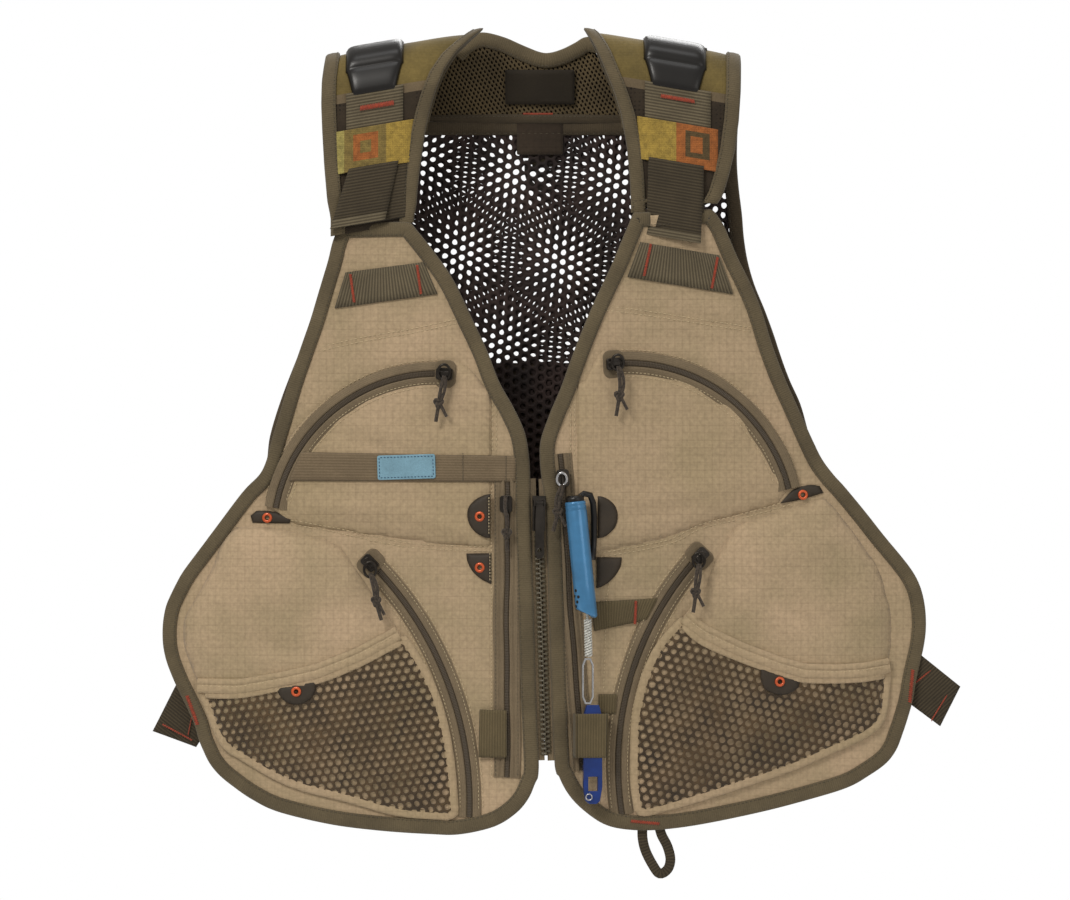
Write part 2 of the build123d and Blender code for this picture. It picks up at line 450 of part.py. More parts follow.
# shoulder webbing, keeper bands, buckles
webs, keepers = [], []
for side, x0, x1, tail, tail_z in (("L", -140.0, -101.0, TAIL_L, -119.0), ("R", 71.6, 113.0, TAIL_R, -110.6)):
    w = arch(side, WEB_T + 0.2, WEB_T)
    over = Pos((x0 + x1) / 2, 0, 0) * Box(x1 - x0, 400, 400)
    back_piece = w & over & (Pos(0, 0, 150 - 45) * Box(600, 400, 300))
    # the buckle gap: no webbing between 35 and 75 degrees of the front quarter
    zc = PAD_ZTOP - PAD_R
    gap = Pos((x0 + x1) / 2, PAD_Y - 50, zc + 14.0) * Box(80, 90, 22)
    lower = w & (Pos((x0 + x1) / 2, -100, (zc + 1.0 + tail_z) / 2) * Box(x1 - x0, 120, zc + 1.0 - tail_z))
    upper = back_piece & (Pos(0, 0, 150 + zc + 27.0) * Box(600, 400, 300))
    upper_back = back_piece & (Pos(0, PAD_Y + 60, 0) * Box(600, 120, 400))
    webs += [keep(upper + upper_back), keep(lower)]
    band_pts = KEEP_L if side == "L" else KEEP_R
    kb = arch(side, WEB_T + 2.2, 1.8) & prism(band_pts) & front_half
    keepers.append(keep(kb))
save("shoulder_webbings", group(webs))
save("shoulder_bands", group(keepers))

BUCKLE_ANG = 62.0
for side, xm in (("L", -120.5), ("R", 91.5)):
    w, h = 46.0, 26.0
    frame = extrude(Plane.XY * RectangleRounded(w, h, 3.0), amount=3.4)
    frame -= Pos(0, 6.2, 1) * Box(38, 5.0, 10)
    frame -= Pos(0, -4.2, 1) * Box(38, 5.0, 10)
    frame += Pos(0, 12.0, 1.7) * Rot(0, 90, 0) * Cylinder(2.6, w - 6)
    frame += Pos(0, -12.4, 2.6) * Box(w - 8, 3.0, 4.0)
    tilt = -PAD_TILT if side == "L" else PAD_TILT
    # stand the frame on the arch's front quarter
    f = Pos(0, 0, PAD_R + 3.2) * frame
    f = Rot(BUCKLE_ANG, 0, 0) * f
    f = Pos(PAD_XMID[side], PAD_Y, PAD_ZTOP - PAD_R) * Rot(0, tilt, 0) * Pos(xm - PAD_XMID[side], 0, 0) * f
    save("shoulder_buckle_left" if side == "L" else "shoulder_buckle_right", keep(f))

# side adjuster straps, sewn between back and front at the waist
side_l = prism(SIDE_L, -45.4, -43.8) - prism(BACK_S)
side_r = prism(SIDE_R, -45.4, -43.8) - prism(BACK_S)
save("side_straps", group([side_l, side_r]))


# =====================================================================
# Front bodies
# =====================================================================

def front(side, d):
    """All flat pieces of one front. d holds the side's outlines."""
    s = "left" if side == "L" else "right"
    outer = L(d["outline"])
    inner = inset(outer, BIND_W)
    inner_prism = slab(inner, -10, 60)
    save(f"front_panel_{s}", place(keep(slab(inner, 0, T_PANEL)), side))
    ring_ = slab(outer, -BIND_IN, BIND_OUT) - slab(inner, -10, 20)
    save(f"front_binding_{s}", place(keep(ring_), side))
    save(f"chest_webbing_{s}", place(keep(slab(L(d["chest"]), T_PANEL, T_PANEL + WEB_T) & inner_prism), side))

    up_tape = arc_band(d["uzip"], TAPE_W, T_UPPER, T_UPPER + TAPE_T, before=6, after=5)
    lo_cut = arc_band(d["lzip"], TAPE_W, 0, 40, before=7, after=4)
    lo_tape = arc_band(d["lzip"], TAPE_W, T_PANEL, T_PANEL + TAPE_T, before=7, after=4)
    cz_a, cz_b = loc(d["cz"][0]), loc(d["cz"][1])
    cz_cut = strip(cz_a, cz_b, d["cz_w"], 0, 40)

    upper = slab(L(d["upper"]), T_PANEL, T_UPPER) & inner_prism
    upper = upper - cz_cut
    save(f"upper_pocket_{s}", place(keep(upper), side))
    coil = arc_band(d["uzip"], COIL_W, T_UPPER + TAPE_T, T_UPPER + TAPE_T + COIL_T, before=2, after=2)
    save(f"upper_zip_tape_{s}", place(keep((up_tape + coil) & inner_prism), side))

    lower = (slab(L(d["lower"]), T_PANEL, T_LOWER) & inner_prism) - lo_cut
    save(f"lower_pocket_{s}", place(keep(lower), side))
    net = (slab(L(d["net"]), T_LOWER, T_NET) & inner_prism) - lo_cut
    hem = (slab(L(d["hem"]), T_LOWER, T_NET + 0.8) & inner_prism) - lo_cut - slab(L(d["net"]), T_LOWER - 1, T_NET + 4)
    save(f"mesh_pocket_{s}", place(group([keep(net), keep(hem)]), side))
    coil = arc_band(d["lzip"], COIL_W, T_PANEL + TAPE_T, T_PANEL + TAPE_T + COIL_T, before=2, after=1)
    save(f"lower_zip_tape_{s}", place(keep((lo_tape + coil) & inner_prism), side))

    czt = strip(cz_a, cz_b, d["cz_w"], T_PANEL, T_PANEL + TAPE_T) + strip(cz_a, cz_b, COIL_W, T_PANEL + TAPE_T, T_PANEL + TAPE_T + COIL_T)
    save(f"centre_zip_tape_{s}", place(keep(czt & inner_prism), side))

    # elastic bands
    up_cut = arc_band(d["uzip"], TAPE_W, 0, 40, before=6, after=5)
    bands = []
    for pts, t in d["bands"]:
        bands.append(keep((slab(L(pts), t, t + 1.2) & inner_prism) - lo_cut - up_cut))
    bands += d["loops"]
    save(f"elastic_bands_{s}", place(group(bands), side))

    # tool tabs with brass eyelets
    tabs, eyes = [], []
    for pts, c, t in d["tabs"]:
        body = slab(L(pts), t, t + TAB_T)
        for cut in d["tab_cuts"]:
            body = body - cut
        body = keep(body)
        if c is not None:
            q = loc(c)
            body = body - disc(q, EYE_BARREL, t - 1, t + TAB_T + 1)
            eye = disc(q, EYE_BARREL, t, t + TAB_T) + disc(q, EYE_OUT, t + TAB_T, t + TAB_T + EYE_FLANGE)
            eye = eye - disc(q, EYE_R, t - 1, t + 10)
            eyes.append(eye)
        tabs.append(body)
    save(f"tool_tabs_{s}", place(group(tabs), side))
    save(f"eyelets_{s}", place(group(eyes), side))

    # main zip half: tape and moulded teeth
    sg = -1.0 if side == "L" else 1.0
    z_top, z_bot = -338.0, -494.0
    zz = [z_top, z_bot]
    reach = 7.0 if side == "L" else 9.5
    tape = [((chain_x(z) + sg * (MAIN_GAP + 0.6) - X_APEX) / CA, z) for z in zz] + \
           [((chain_x(z) + sg * reach - X_APEX) / CA, z) for z in reversed(zz)]
    half = slab(tape, -1.35, -0.85) if side == "L" else slab(tape, -1.5, -0.9)
    z = z_top - 1.2
    k = 0
    teeth = []
    while z > z_bot + 1.5:
        zc = z - (MAIN_PITCH / 2 if side == "R" else 0)
        if zc < z_bot + 1.3:
            break
        c0 = chain_x(zc) + sg * (MAIN_GAP + (0.45 if side == "L" else 0.0))
        c1 = c0 + sg * MAIN_TOOTH
        a, b = (c0 - X_APEX) / CA, (c1 - X_APEX) / CA
        teeth.append(slab([(a, zc + 0.8), (b, zc + 1.05), (b, zc - 1.05), (a, zc - 0.8)], -1.2 if side == "L" else -1.6, 0.2 if side == "L" else 1.0))
        z -= MAIN_PITCH
    for tt in teeth:
        half = half + tt
    solids = [half]
    if side == "R":
        # retainer box at the foot of the chain, with the hem stitching plate
        xb = chain_x(-501)
        box = slab([((xb - 4.6 - X_APEX) / CA, -495.0), ((xb + 4.8 - X_APEX) / CA, -495.0),
                    ((xb + 4.8 - X_APEX) / CA, -506.5), ((xb - 4.6 - X_APEX) / CA, -506.5)], -2.6, 1.8)
        link = slab([((xb + 1.4 - X_APEX) / CA, -493.6), ((xb + 4.8 - X_APEX) / CA, -493.6),
                     ((xb + 4.8 - X_APEX) / CA, -495.5), ((xb + 1.4 - X_APEX) / CA, -495.5)], -1.5, -0.9)
        solids = [half + box + link]
    save(f"main_zip_{s}", place(group([keep(x) for x in solids]), side))


cz_w = 18.0
left = {
    "outline": FRONT_L, "chest": CHESTWEB_L, "upper": UPOCK_L, "lower": LPOCK_L, "net": MESH_L, "hem": HEM_L,
    "uzip": UZIP_L, "lzip": LZIP_L, "cz": (CZIP_L_TOP, CZIP_L_BOT), "cz_w": cz_w,
    "bands": [(BAND_L, T_UPPER)],
    "loops": [],
    "tabs": [(TAB1_L, EYE1_L, T_NET), (TAB3_L, EYE3_L, T_UPPER), (TAB4_L, EYE4_L, T_PANEL), (TAB2_L, EYE2_L, T_PANEL)],
    "tab_cuts": [],
}
left["tab_cuts"] = [slab(L(HEM_L), 0, T_NET + 3), slab(L(UPOCK_L), T_PANEL - 1, T_UPPER), slab(L(LPOCK_L), T_PANEL - 1, T_LOWER)]
# small elastic loop low on the centre strip
lp = [(480, 709), (508, 709), (508, 758), (480, 758)]
LOOP_SMALL = [(-44.0, -462.0), (-27.5, -462.0), (-27.5, -495.0), (-44.0, -495.0)]
left["loops"] = [slab(L(LOOP_SMALL), T_PANEL + 2.4, T_PANEL + 3.6)]
front("L", left)
save("label_patch_left", place(slab(L(PATCH_L), T_UPPER + 1.2, T_UPPER + 2.0), "L"))

right = {
    "outline": FRONT_R, "chest": CHESTWEB_R, "upper": UPOCK_R, "lower": LPOCK_R, "net": MESH_R, "hem": HEM_R,
    "uzip": UZIP_R, "lzip": LZIP_R, "cz": (CZIP_R_TOP, CZIP_R_BOT), "cz_w": 15.0,
    "bands": [(STRIP_R, T_PANEL), (STRIP2_R, T_PANEL)],
    "loops": [],
    "tabs": [(TAB1_R, EYE1_R, T_NET), (TAB3_R, None, T_UPPER), (TAB4_R, None, T_PANEL), (TAB2_R, EYE2_R, T_PANEL)],
    "tab_cuts": [slab(L(HEM_R), 0, T_NET + 3), slab(L(UPOCK_R), T_PANEL - 1, T_UPPER), slab(L(LPOCK_R), T_PANEL - 1, T_LOWER)],
}
# elastic keeper that the nipper is tucked through: a flat sleeve
nx = loc(((NIPPER_TOP[0] + NIPPER_BOT[0]) / 2, 0))[0]
sleeve_o = slab([(nx - 10.6, -464), (nx + 10.6, -464), (nx + 10.6, -495), (nx - 10.6, -495)], 4.4, 16.4)
sleeve_i = slab([(nx - 9.4, -460), (nx + 9.4, -460), (nx + 9.4, -500), (nx - 9.4, -500)], 5.6, 15.2)
right["loops"] = [keep(sleeve_o - sleeve_i)]
front("R", right)

# hem loop under the right front
HX, HZ = loc((79.0, 0))[0], -545.0
hl = slab([(HX - 15, HZ + 14), (HX + 15, HZ + 14), (HX + 15.5, HZ - 20), (HX + 9, HZ - 32), (HX, HZ - 34), (HX - 9, HZ - 32), (HX - 15.5, HZ - 20)], -2.6, -1.0)
hl = hl - slab([(HX - 4.5, HZ - 3), (HX + 4.5, HZ - 3), (HX + 4.5, HZ - 20), (HX - 4.5, HZ - 20)], -5, 5)
save("hem_loop", place(keep(hl), "R"))

# =====================================================================
# Sliders, pulls and tools
# =====================================================================
T_UCOIL = T_UPPER + TAPE_T + COIL_T
T_LCOIL = T_PANEL + TAPE_T + COIL_T


def arc_slider(three, t_coil, lead=0.0):
    o, r, a0, sw = arc_data(three)
    s = 1.0 if sw > 0 else -1.0
    a = a0 + s * lead / r
    at = (o[0] + r * math.cos(a), o[1] + r * math.sin(a))
    tangent = a + math.pi / 2
    return at, pocket_slider(at, tangent, t_coil)


pull_routes = {}
for key, three, t_coil, side in (("upper_left", UZIP_L, T_UCOIL, "L"), ("upper_right", UZIP_R, T_UCOIL, "R"),
                                 ("lower_left", LZIP_L, T_LCOIL, "L"), ("lower_right", LZIP_R, T_LCOIL, "R")):
    at, sl = arc_slider(three, t_coil)
    part_, s = key.split("_")
    save(f"{part_}_slider_{s}", place(keep(sl), side))
    pull_routes[key] = (at, side)

for key, top, bot, side in (("centre_left", CZIP_L_TOP, CZIP_L_BOT, "L"), ("centre_right", CZIP_R_TOP, CZIP_R_BOT, "R")):
    a, b = loc(top), loc(bot)
    d = (b[0] - a[0], b[1] - a[1])
    k = math.hypot(*d)
    at = (a[0] + d[0] / k * 14.0, a[1] + d[1] / k * 14.0)
    ang = math.atan2(d[1], d[0])
    sl = pocket_slider(at, ang, T_LCOIL)
    save(f"centre_slider_{'left' if side == 'L' else 'right'}", place(keep(sl), side))
    pull_routes[key] = (at, side)


def panel_point(s, z, t, side):
    """Panel coordinates to the object's frame, as a point."""
    a = math.radians(-ALPHA if side == "L" else ALPHA)
    return (X_APEX + s * math.cos(a) + t * math.sin(a), Y_FRONT + s * math.sin(a) - t * math.cos(a), z)


PULL_OFFSETS = {     # (ds, dz, t) from the slider's centre, panel coordinates
    "upper_left": [(0.6, -1.4, 14.7), (-2.0, -11.0, 14.6), (-3.6, -21.5, 13.4), (-5.6, -33.4, 12.6)],
    "lower_left": [(1.6, -7.2, 12.8), (4.4, -16.5, 14.6), (6.0, -27.0, 14.6), (10.0, -40.0, 14.4)],
    "upper_right": [(1.4, -1.6, 14.7), (3.4, -12.0, 14.6), (2.6, -24.5, 13.2), (0.6, -36.5, 12.6)],
    "lower_right": [(-2.4, -5.6, 12.8), (-5.4, -16.0, 14.6), (-4.8, -27.5, 14.7), (-6.8, -39.5, 14.4)],
    "centre_right": [(-0.6, -4.6, 10.7), (-3.0, -15.0, 10.5), (-4.4, -26.0, 9.8), (-7.6, -37.2, 9.4)],
}
for key, offs in PULL_OFFSETS.items():
    at, side = pull_routes[key]
    pts = [panel_point(at[0] + o[0], at[1] + o[1], o[2], side) for o in offs]
    part_, s = key.split("_")
    print(key, [tuple(round(c, 2) for c in p) for p in pts])
    save(f"{part_}_pull_{s}", cord_tube(pts, PULL_D))

# main slider: front and back plates joined by a thin web that runs in the gap between the teeth
MS_Z0, MS_Z1 = -312.0, -336.5
mzc = (MS_Z0 + MS_Z1) / 2
mx = (chain_x(mzc) - X_APEX) / CA
front_plate = slab([(mx - 4.5, MS_Z0), (mx + 4.5, MS_Z0), (mx + 4.4, MS_Z1), (mx - 4.4, MS_Z1)], 1.4, 3.2)
back_plate = slab([(mx - 4.5, MS_Z0), (mx + 4.5, MS_Z0), (mx + 4.4, MS_Z1), (mx - 4.4, MS_Z1)], -5.2, -3.6)
wx = (chain_x(MS_Z0 - 4.0) - X_APEX) / CA
web = slab([(wx - 0.45, MS_Z0), (wx + 0.45, MS_Z0), (wx + 0.45, MS_Z0 - 8), (wx - 0.45, MS_Z0 - 8)], -3.7, 1.5)
ears = slab([(mx - 4.2, -315.0), (mx - 2.9, -315.0), (mx - 2.9, -319.0), (mx - 4.2, -319.0)], 3.1, 6.4)
ears += slab([(mx + 2.9, -315.0), (mx + 4.2, -315.0), (mx + 4.2, -319.0), (mx + 2.9, -319.0)], 3.1, 6.4)
PIV_Z, PIV_T = -317.0, 5.0
pin = Pos(mx, -PIV_T, PIV_Z) * Rot(0, 90, 0) * Cylinder(0.6, 7.2)
main_slider = front_plate + back_plate + web + ears + pin
chain_tilt = math.degrees(math.atan(CHAIN_DX))
save("main_slider", place(keep(main_slider), "R"))
knuckle = Pos(mx, -PIV_T, PIV_Z) * Rot(0, 90, 0) * Cylinder(1.35, 5.2)
blade = slab([(mx - 2.4, PIV_Z), (mx + 2.4, PIV_Z), (mx + 3.1, PIV_Z - 12), (mx + 3.1, PIV_Z - 36), (mx + 1.6, PIV_Z - 39), (mx - 1.6, PIV_Z - 39), (mx - 3.1, PIV_Z - 36), (mx - 3.1, PIV_Z - 12)], 4.2, 5.8)
blade -= disc((mx, PIV_Z - 33.0), 1.5, 3, 8)
tab_ = knuckle + blade - Pos(mx, -PIV_T, PIV_Z) * Rot(0, 90, 0) * Cylinder(0.68, 8)
save("main_pull_tab", place(keep(tab_), "R"))

# retractor barrel on the right front, its line, the wire clip and the nipper
b0, b1 = loc(BARREL_TOP), loc(BARREL_BOT)
bd = (b1[0] - b0[0], b1[1] - b0[1])
bl = math.hypot(*bd)
ang = math.degrees(math.atan2(bd[0], -bd[1]))     # lean from straight down
barrel = Cylinder(BARREL_R, bl) - Pos(0, 0, -4) * Cylinder(BARREL_BORE, bl)
cut = Pos(0, 0, -bl / 2 - 2.5) * Rot(0, 24, 0) * Box(40, 40, 12)
barrel = barrel - cut
clip_plate = Pos(0, 8.6, 12) * Box(9.0, 1.8, 52.0)
clip_foot = Pos(0, 7.6, 36) * Box(9.0, 3.0, 5.0)
barrel = barrel + clip_plate + clip_foot
mid = ((b0[0] + b1[0]) / 2, (b0[1] + b1[1]) / 2)
barrel = Pos(mid[0], -BARREL_T, mid[1]) * Rot(0, -ang, 0) * barrel
save("retractor_barrel", place(keep(barrel), "R"))
ux, uz = bd[0] / bl, bd[1] / bl
EXIT = (b1[0], b1[1])


def along(k, t=BARREL_T):
    """A point on the barrel's axis line, k mm below its lower end."""
    return panel_point(EXIT[0] + ux * k, EXIT[1] + uz * k, t, "R")


line_pts = [along(-46.0), along(-24.0), panel_point(EXIT[0] + ux * -3.0, EXIT[1] + uz * -3.0, BARREL_T, "R"),
            panel_point(EXIT[0] + 2.4, EXIT[1] - 12.0, 14.4, "R"), panel_point(EXIT[0] + 1.6, EXIT[1] - 27.0, 12.6, "R")]
line_pts[1] = panel_point(EXIT[0] + ux * -24.0 + 0.35, EXIT[1] + uz * -24.0, BARREL_T + 0.3, "R")
print("line", [tuple(round(c, 2) for c in p) for p in line_pts])
save("retractor_line", cord_tube(line_pts, LINE_D))
# wire clip: a long oval of wire between the line and the nipper's hole
cx, cz0, cz1 = EXIT[0] + 1.2, EXIT[1] - 27.6, EXIT[1] - 60.0
clip_o = slab([(cx - 2.2, cz0), (cx + 2.2, cz0), (cx + 4.2, cz0 - 5), (cx + 4.2, cz1 + 5), (cx + 2.0, cz1), (cx - 2.0, cz1), (cx - 4.2, cz1 + 5), (cx - 4.2, cz0 - 5)], 11.2, 12.6)
clip_i = slab([(cx - 1.2, cz0 - 1.4), (cx + 1.2, cz0 - 1.4), (cx + 2.8, cz0 - 5.4), (cx + 2.8, cz1 + 5.4), (cx + 1.2, cz1 + 1.4), (cx - 1.2, cz1 + 1.4), (cx - 2.8, cz1 + 5.4), (cx - 2.8, cz0 - 5.4)], 10, 14)
save("line_clip", place(keep(clip_o - clip_i), "R"))
n0, n1 = loc(NIPPER_TOP), loc(NIPPER_BOT)
nz1 = n1[1]
ncx = (n0[0] + n1[0]) / 2
nip = slab([(ncx - 4.2, cz1 - 0.4), (ncx + 4.2, cz1 - 0.4), (ncx + 6.4, cz1 - 8), (ncx + 6.6, nz1 + 12), (ncx + 5.0, nz1 + 2), (ncx + 2.5, nz1), (ncx - 2.5, nz1), (ncx - 5.0, nz1 + 2), (ncx - 6.6, nz1 + 12), (ncx - 6.4, cz1 - 8)], 9.4, 14.4)
nip -= slab([(ncx - 3.4, nz1 + 19), (ncx + 3.4, nz1 + 19), (ncx + 3.4, nz1 + 9), (ncx - 3.4, nz1 + 9)], 5, 20)
nip -= slab([(ncx - 9, cz1 + 2), (ncx + 9, cz1 + 2), (ncx + 9, nz1 + 24), (ncx - 9, nz1 + 24)], 11.5, 12.3)
save("nipper", place(keep(nip), "R"))
print("done")
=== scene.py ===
import json
import math
import random
import bpy
import numpy as np
from mathutils import Vector, Matrix, noise
from mathutils.geometry import delaunay_2d_cdt

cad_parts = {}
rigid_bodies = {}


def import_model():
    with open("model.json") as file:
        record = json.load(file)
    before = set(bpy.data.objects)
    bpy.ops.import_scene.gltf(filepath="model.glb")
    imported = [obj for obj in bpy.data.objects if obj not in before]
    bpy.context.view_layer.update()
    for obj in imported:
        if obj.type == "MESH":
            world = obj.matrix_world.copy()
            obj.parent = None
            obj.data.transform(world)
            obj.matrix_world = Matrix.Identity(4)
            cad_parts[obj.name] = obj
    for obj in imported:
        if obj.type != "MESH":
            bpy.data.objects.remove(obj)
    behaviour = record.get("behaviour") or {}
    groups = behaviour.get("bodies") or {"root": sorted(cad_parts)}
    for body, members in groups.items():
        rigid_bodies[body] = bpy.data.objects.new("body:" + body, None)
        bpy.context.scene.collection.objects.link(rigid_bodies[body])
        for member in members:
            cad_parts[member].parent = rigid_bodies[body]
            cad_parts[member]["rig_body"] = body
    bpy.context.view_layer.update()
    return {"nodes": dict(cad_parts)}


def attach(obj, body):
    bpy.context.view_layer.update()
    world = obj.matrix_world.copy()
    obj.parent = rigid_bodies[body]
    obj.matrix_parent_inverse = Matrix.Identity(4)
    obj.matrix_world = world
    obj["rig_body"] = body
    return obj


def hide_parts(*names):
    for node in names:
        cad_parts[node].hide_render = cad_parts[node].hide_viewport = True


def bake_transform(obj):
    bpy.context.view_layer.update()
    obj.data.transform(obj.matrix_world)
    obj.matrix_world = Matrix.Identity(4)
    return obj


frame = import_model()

random.seed(7)
rng = np.random.default_rng(7)

# ---------------------------------------------------------------- camera
cam_data = bpy.data.cameras.new("camera")
cam = bpy.data.objects.new("camera", cam_data)
bpy.context.scene.collection.objects.link(cam)
bpy.context.scene.camera = cam
CAM_D = 6.0
cam.location = (-0.007, -0.085 - CAM_D, -0.28)
cam.rotation_euler = (math.radians(90), 0, 0)
cam_data.sensor_width = 36.0
cam_data.lens = 36.0 * CAM_D / 0.749
cam_data.clip_start = 0.05
cam_data.clip_end = 60.0

# ---------------------------------------------------------------- frame of the fronts (mm)
ALPHA = math.radians(10.0)
CA, SA = math.cos(ALPHA), math.sin(ALPHA)
X_APEX, Y_FRONT = -2.5, -94.0
Y_BACK, R_BACK = -4.5, 800.0

# outlines, (x, z) in mm
FRONT_L = [(-142.8, -121.8), (-147.7, -133.0), (-151.2, -147.0), (-155.4, -161.0), (-159.6, -175.0), (-163.8, -189.0), (-168.7, -203.0), (-173.6, -217.0), (-178.5, -231.0), (-182.7, -245.0), (-186.9, -259.0), (-191.1, -273.0), (-194.6, -287.0), (-199.5, -297.5), (-208.6, -306.6), (-215.6, -315.0), (-228.2, -331.8), (-240.8, -348.6), (-253.4, -365.4), (-258.3, -373.8), (-262.5, -382.2), (-266.0, -390.6), (-268.1, -402.5), (-268.1, -415.8), (-266.0, -427.0), (-262.5, -436.8), (-257.6, -448.0), (-251.3, -460.6), (-245.7, -473.2), (-242.9, -483.0), (-239.4, -491.4), (-235.2, -499.8), (-228.2, -508.2), (-217.7, -516.6), (-205.1, -525.0), (-186.9, -533.4), (-150.5, -541.8), (-115.5, -546.0), (-80.5, -548.1), (-59.5, -548.1), (-35.7, -542.5), (-21.0, -533.4), (-12.6, -523.6), (-7.7, -512.4), (-5.2, -502.6), (-7.0, -455.0), (-9.1, -385.0), (-10.5, -343.0), (-11.2, -318.5), (-11.2, -301.0), (-11.9, -286.3), (-14.7, -268.8), (-22.4, -251.3), (-32.9, -232.4), (-41.3, -210.7), (-51.8, -188.3), (-65.1, -161.0), (-79.1, -140.7), (-93.1, -123.2), (-98.7, -121.1)]
FRONT_R = [(62.3, -114.8), (116.9, -112.0), (123.9, -121.8), (129.5, -134.4), (135.1, -147.0), (142.1, -161.0), (148.4, -175.0), (153.3, -189.0), (157.5, -203.0), (162.4, -217.0), (168.0, -231.0), (174.3, -245.0), (180.6, -259.0), (186.9, -273.0), (193.9, -287.0), (202.3, -298.2), (210.0, -306.6), (224.0, -323.4), (237.3, -340.2), (251.3, -357.0), (259.0, -367.5), (263.9, -378.0), (266.7, -390.6), (267.4, -404.6), (266.0, -417.2), (263.2, -429.8), (260.4, -442.4), (258.3, -455.0), (254.8, -467.6), (250.6, -480.2), (246.4, -490.7), (239.4, -499.8), (227.5, -508.2), (212.1, -516.6), (184.1, -525.0), (150.5, -533.4), (107.8, -541.8), (77.0, -545.3), (56.0, -544.6), (42.0, -541.1), (30.1, -533.4), (20.3, -524.3), (14.0, -515.2), (9.8, -506.1), (7.7, -501.2), (5.6, -455.0), (3.5, -385.0), (2.1, -343.0), (1.4, -318.5), (-1.4, -301.0), (-2.8, -286.3), (-2.1, -273.0), (4.2, -254.8), (11.9, -236.6), (18.9, -217.0), (25.9, -198.8), (32.9, -182.0), (39.9, -166.6), (46.9, -151.9), (53.9, -135.1), (59.5, -121.8)]
PAD_L = [(-154.0, -4.2), (-155.8, -21.0), (-156.1, -37.8), (-155.4, -56.0), (-154.0, -80.5), (-151.9, -105.0), (-149.4, -117.3), (-92.9, -117.3), (-91.0, -109.2), (-90.3, -98.0), (-88.9, -85.4), (-86.8, -70.0), (-84.7, -56.0), (-81.2, -40.6), (-77.0, -26.6), (-71.4, -12.6), (-63.0, 0.0), (-52.5, 9.8), (-42.0, 18.2), (-42.0, 28.0), (-154.0, 28.0)]
PAD_R_OUT = [(137.2, -4.2), (136.5, -28.0), (135.1, -49.0), (132.3, -70.0), (128.1, -87.5), (123.9, -101.5), (118.3, -109.9), (61.6, -112.7), (60.9, -101.5), (60.2, -87.5), (58.1, -66.5), (53.9, -43.4), (49.0, -28.0), (43.4, -14.0), (37.1, 1.4), (31.5, 11.9), (26.6, 18.2), (26.6, 28.0), (137.2, 28.0)]
BACK = [(-156.1, -48.3), (-155.4, -63.0), (-153.3, -96.6), (-149.8, -121.8), (-148.4, -133.0), (-151.2, -148.4), (-159.6, -175.0), (-170.8, -203.0), (-186.2, -241.5), (-195.3, -270.2), (-198.1, -289.8), (-206.5, -308.0), (-217.0, -329.0), (-231.0, -350.0), (-243.6, -371.0), (-251.3, -392.0), (-254.1, -413.0), (-249.9, -434.0), (-241.5, -458.5), (-233.1, -474.6), (-213.5, -484.4), (-171.5, -490.0), (-87.5, -494.2), (0.0, -495.6), (87.5, -492.8), (171.5, -487.2), (213.5, -481.6), (233.1, -470.4), (242.9, -455.0), (249.9, -434.0), (253.4, -413.0), (251.3, -392.0), (243.6, -371.0), (231.7, -350.0), (217.7, -329.0), (205.1, -309.4), (191.8, -287.0), (186.9, -267.4), (181.3, -247.8), (173.6, -231.0), (167.3, -214.2), (161.7, -197.4), (155.4, -180.6), (148.4, -163.8), (143.5, -147.0), (140.7, -130.2), (139.3, -113.4), (137.2, -96.6), (135.8, -79.8), (135.8, -63.0), (136.5, -48.3)]
COLLAR = [(-39.9, 14.7), (-31.5, 13.3), (-21.0, 8.4), (-10.5, 3.5), (0.0, 1.4), (7.7, 2.8), (17.5, 8.4), (24.5, 14.7), (30.8, 9.8), (36.4, -0.7), (42.7, -16.1), (48.3, -30.1), (52.5, -44.1), (53.2, -47.2), (-80.5, -47.2), (-79.8, -41.3), (-75.6, -27.3), (-70.0, -13.3), (-61.6, -0.7), (-51.1, 9.1)]
CARGO = [(-158.9, -218.4), (-174.3, -262.5), (-188.3, -297.5), (-200.9, -322.0), (-220.5, -354.2), (-232.4, -382.2), (-236.6, -410.2), (-232.4, -438.2), (-221.9, -463.4), (-206.5, -473.2), (-87.5, -483.7), (0.0, -485.1), (87.5, -483.0), (199.5, -471.8), (219.1, -462.0), (231.7, -438.2), (235.9, -410.2), (232.4, -382.2), (221.9, -354.2), (203.7, -322.0), (188.3, -294.0), (176.4, -262.5), (158.9, -218.4)]
UPOCK_L = [(-66.5, -217.0), (-101.5, -220.5), (-129.5, -231.0), (-156.1, -246.4), (-175.0, -265.3), (-187.6, -287.0), (-195.3, -313.6), (-192.5, -322.0), (-178.5, -331.8), (-143.5, -337.4), (-101.5, -343.0), (-66.5, -347.2), (-36.4, -349.3), (-36.4, -247.8), (-42.7, -235.2), (-52.5, -222.6), (-60.9, -217.0)]
UPOCK_R = [(40.6, -209.3), (66.5, -211.4), (94.5, -218.4), (120.4, -228.2), (143.5, -242.9), (161.7, -266.0), (177.1, -296.8), (171.5, -306.6), (163.1, -319.2), (136.5, -326.2), (108.5, -333.9), (80.5, -343.0), (52.5, -349.3), (34.3, -352.1), (22.4, -353.5), (21.0, -245.0), (27.3, -231.0), (34.3, -217.0)]
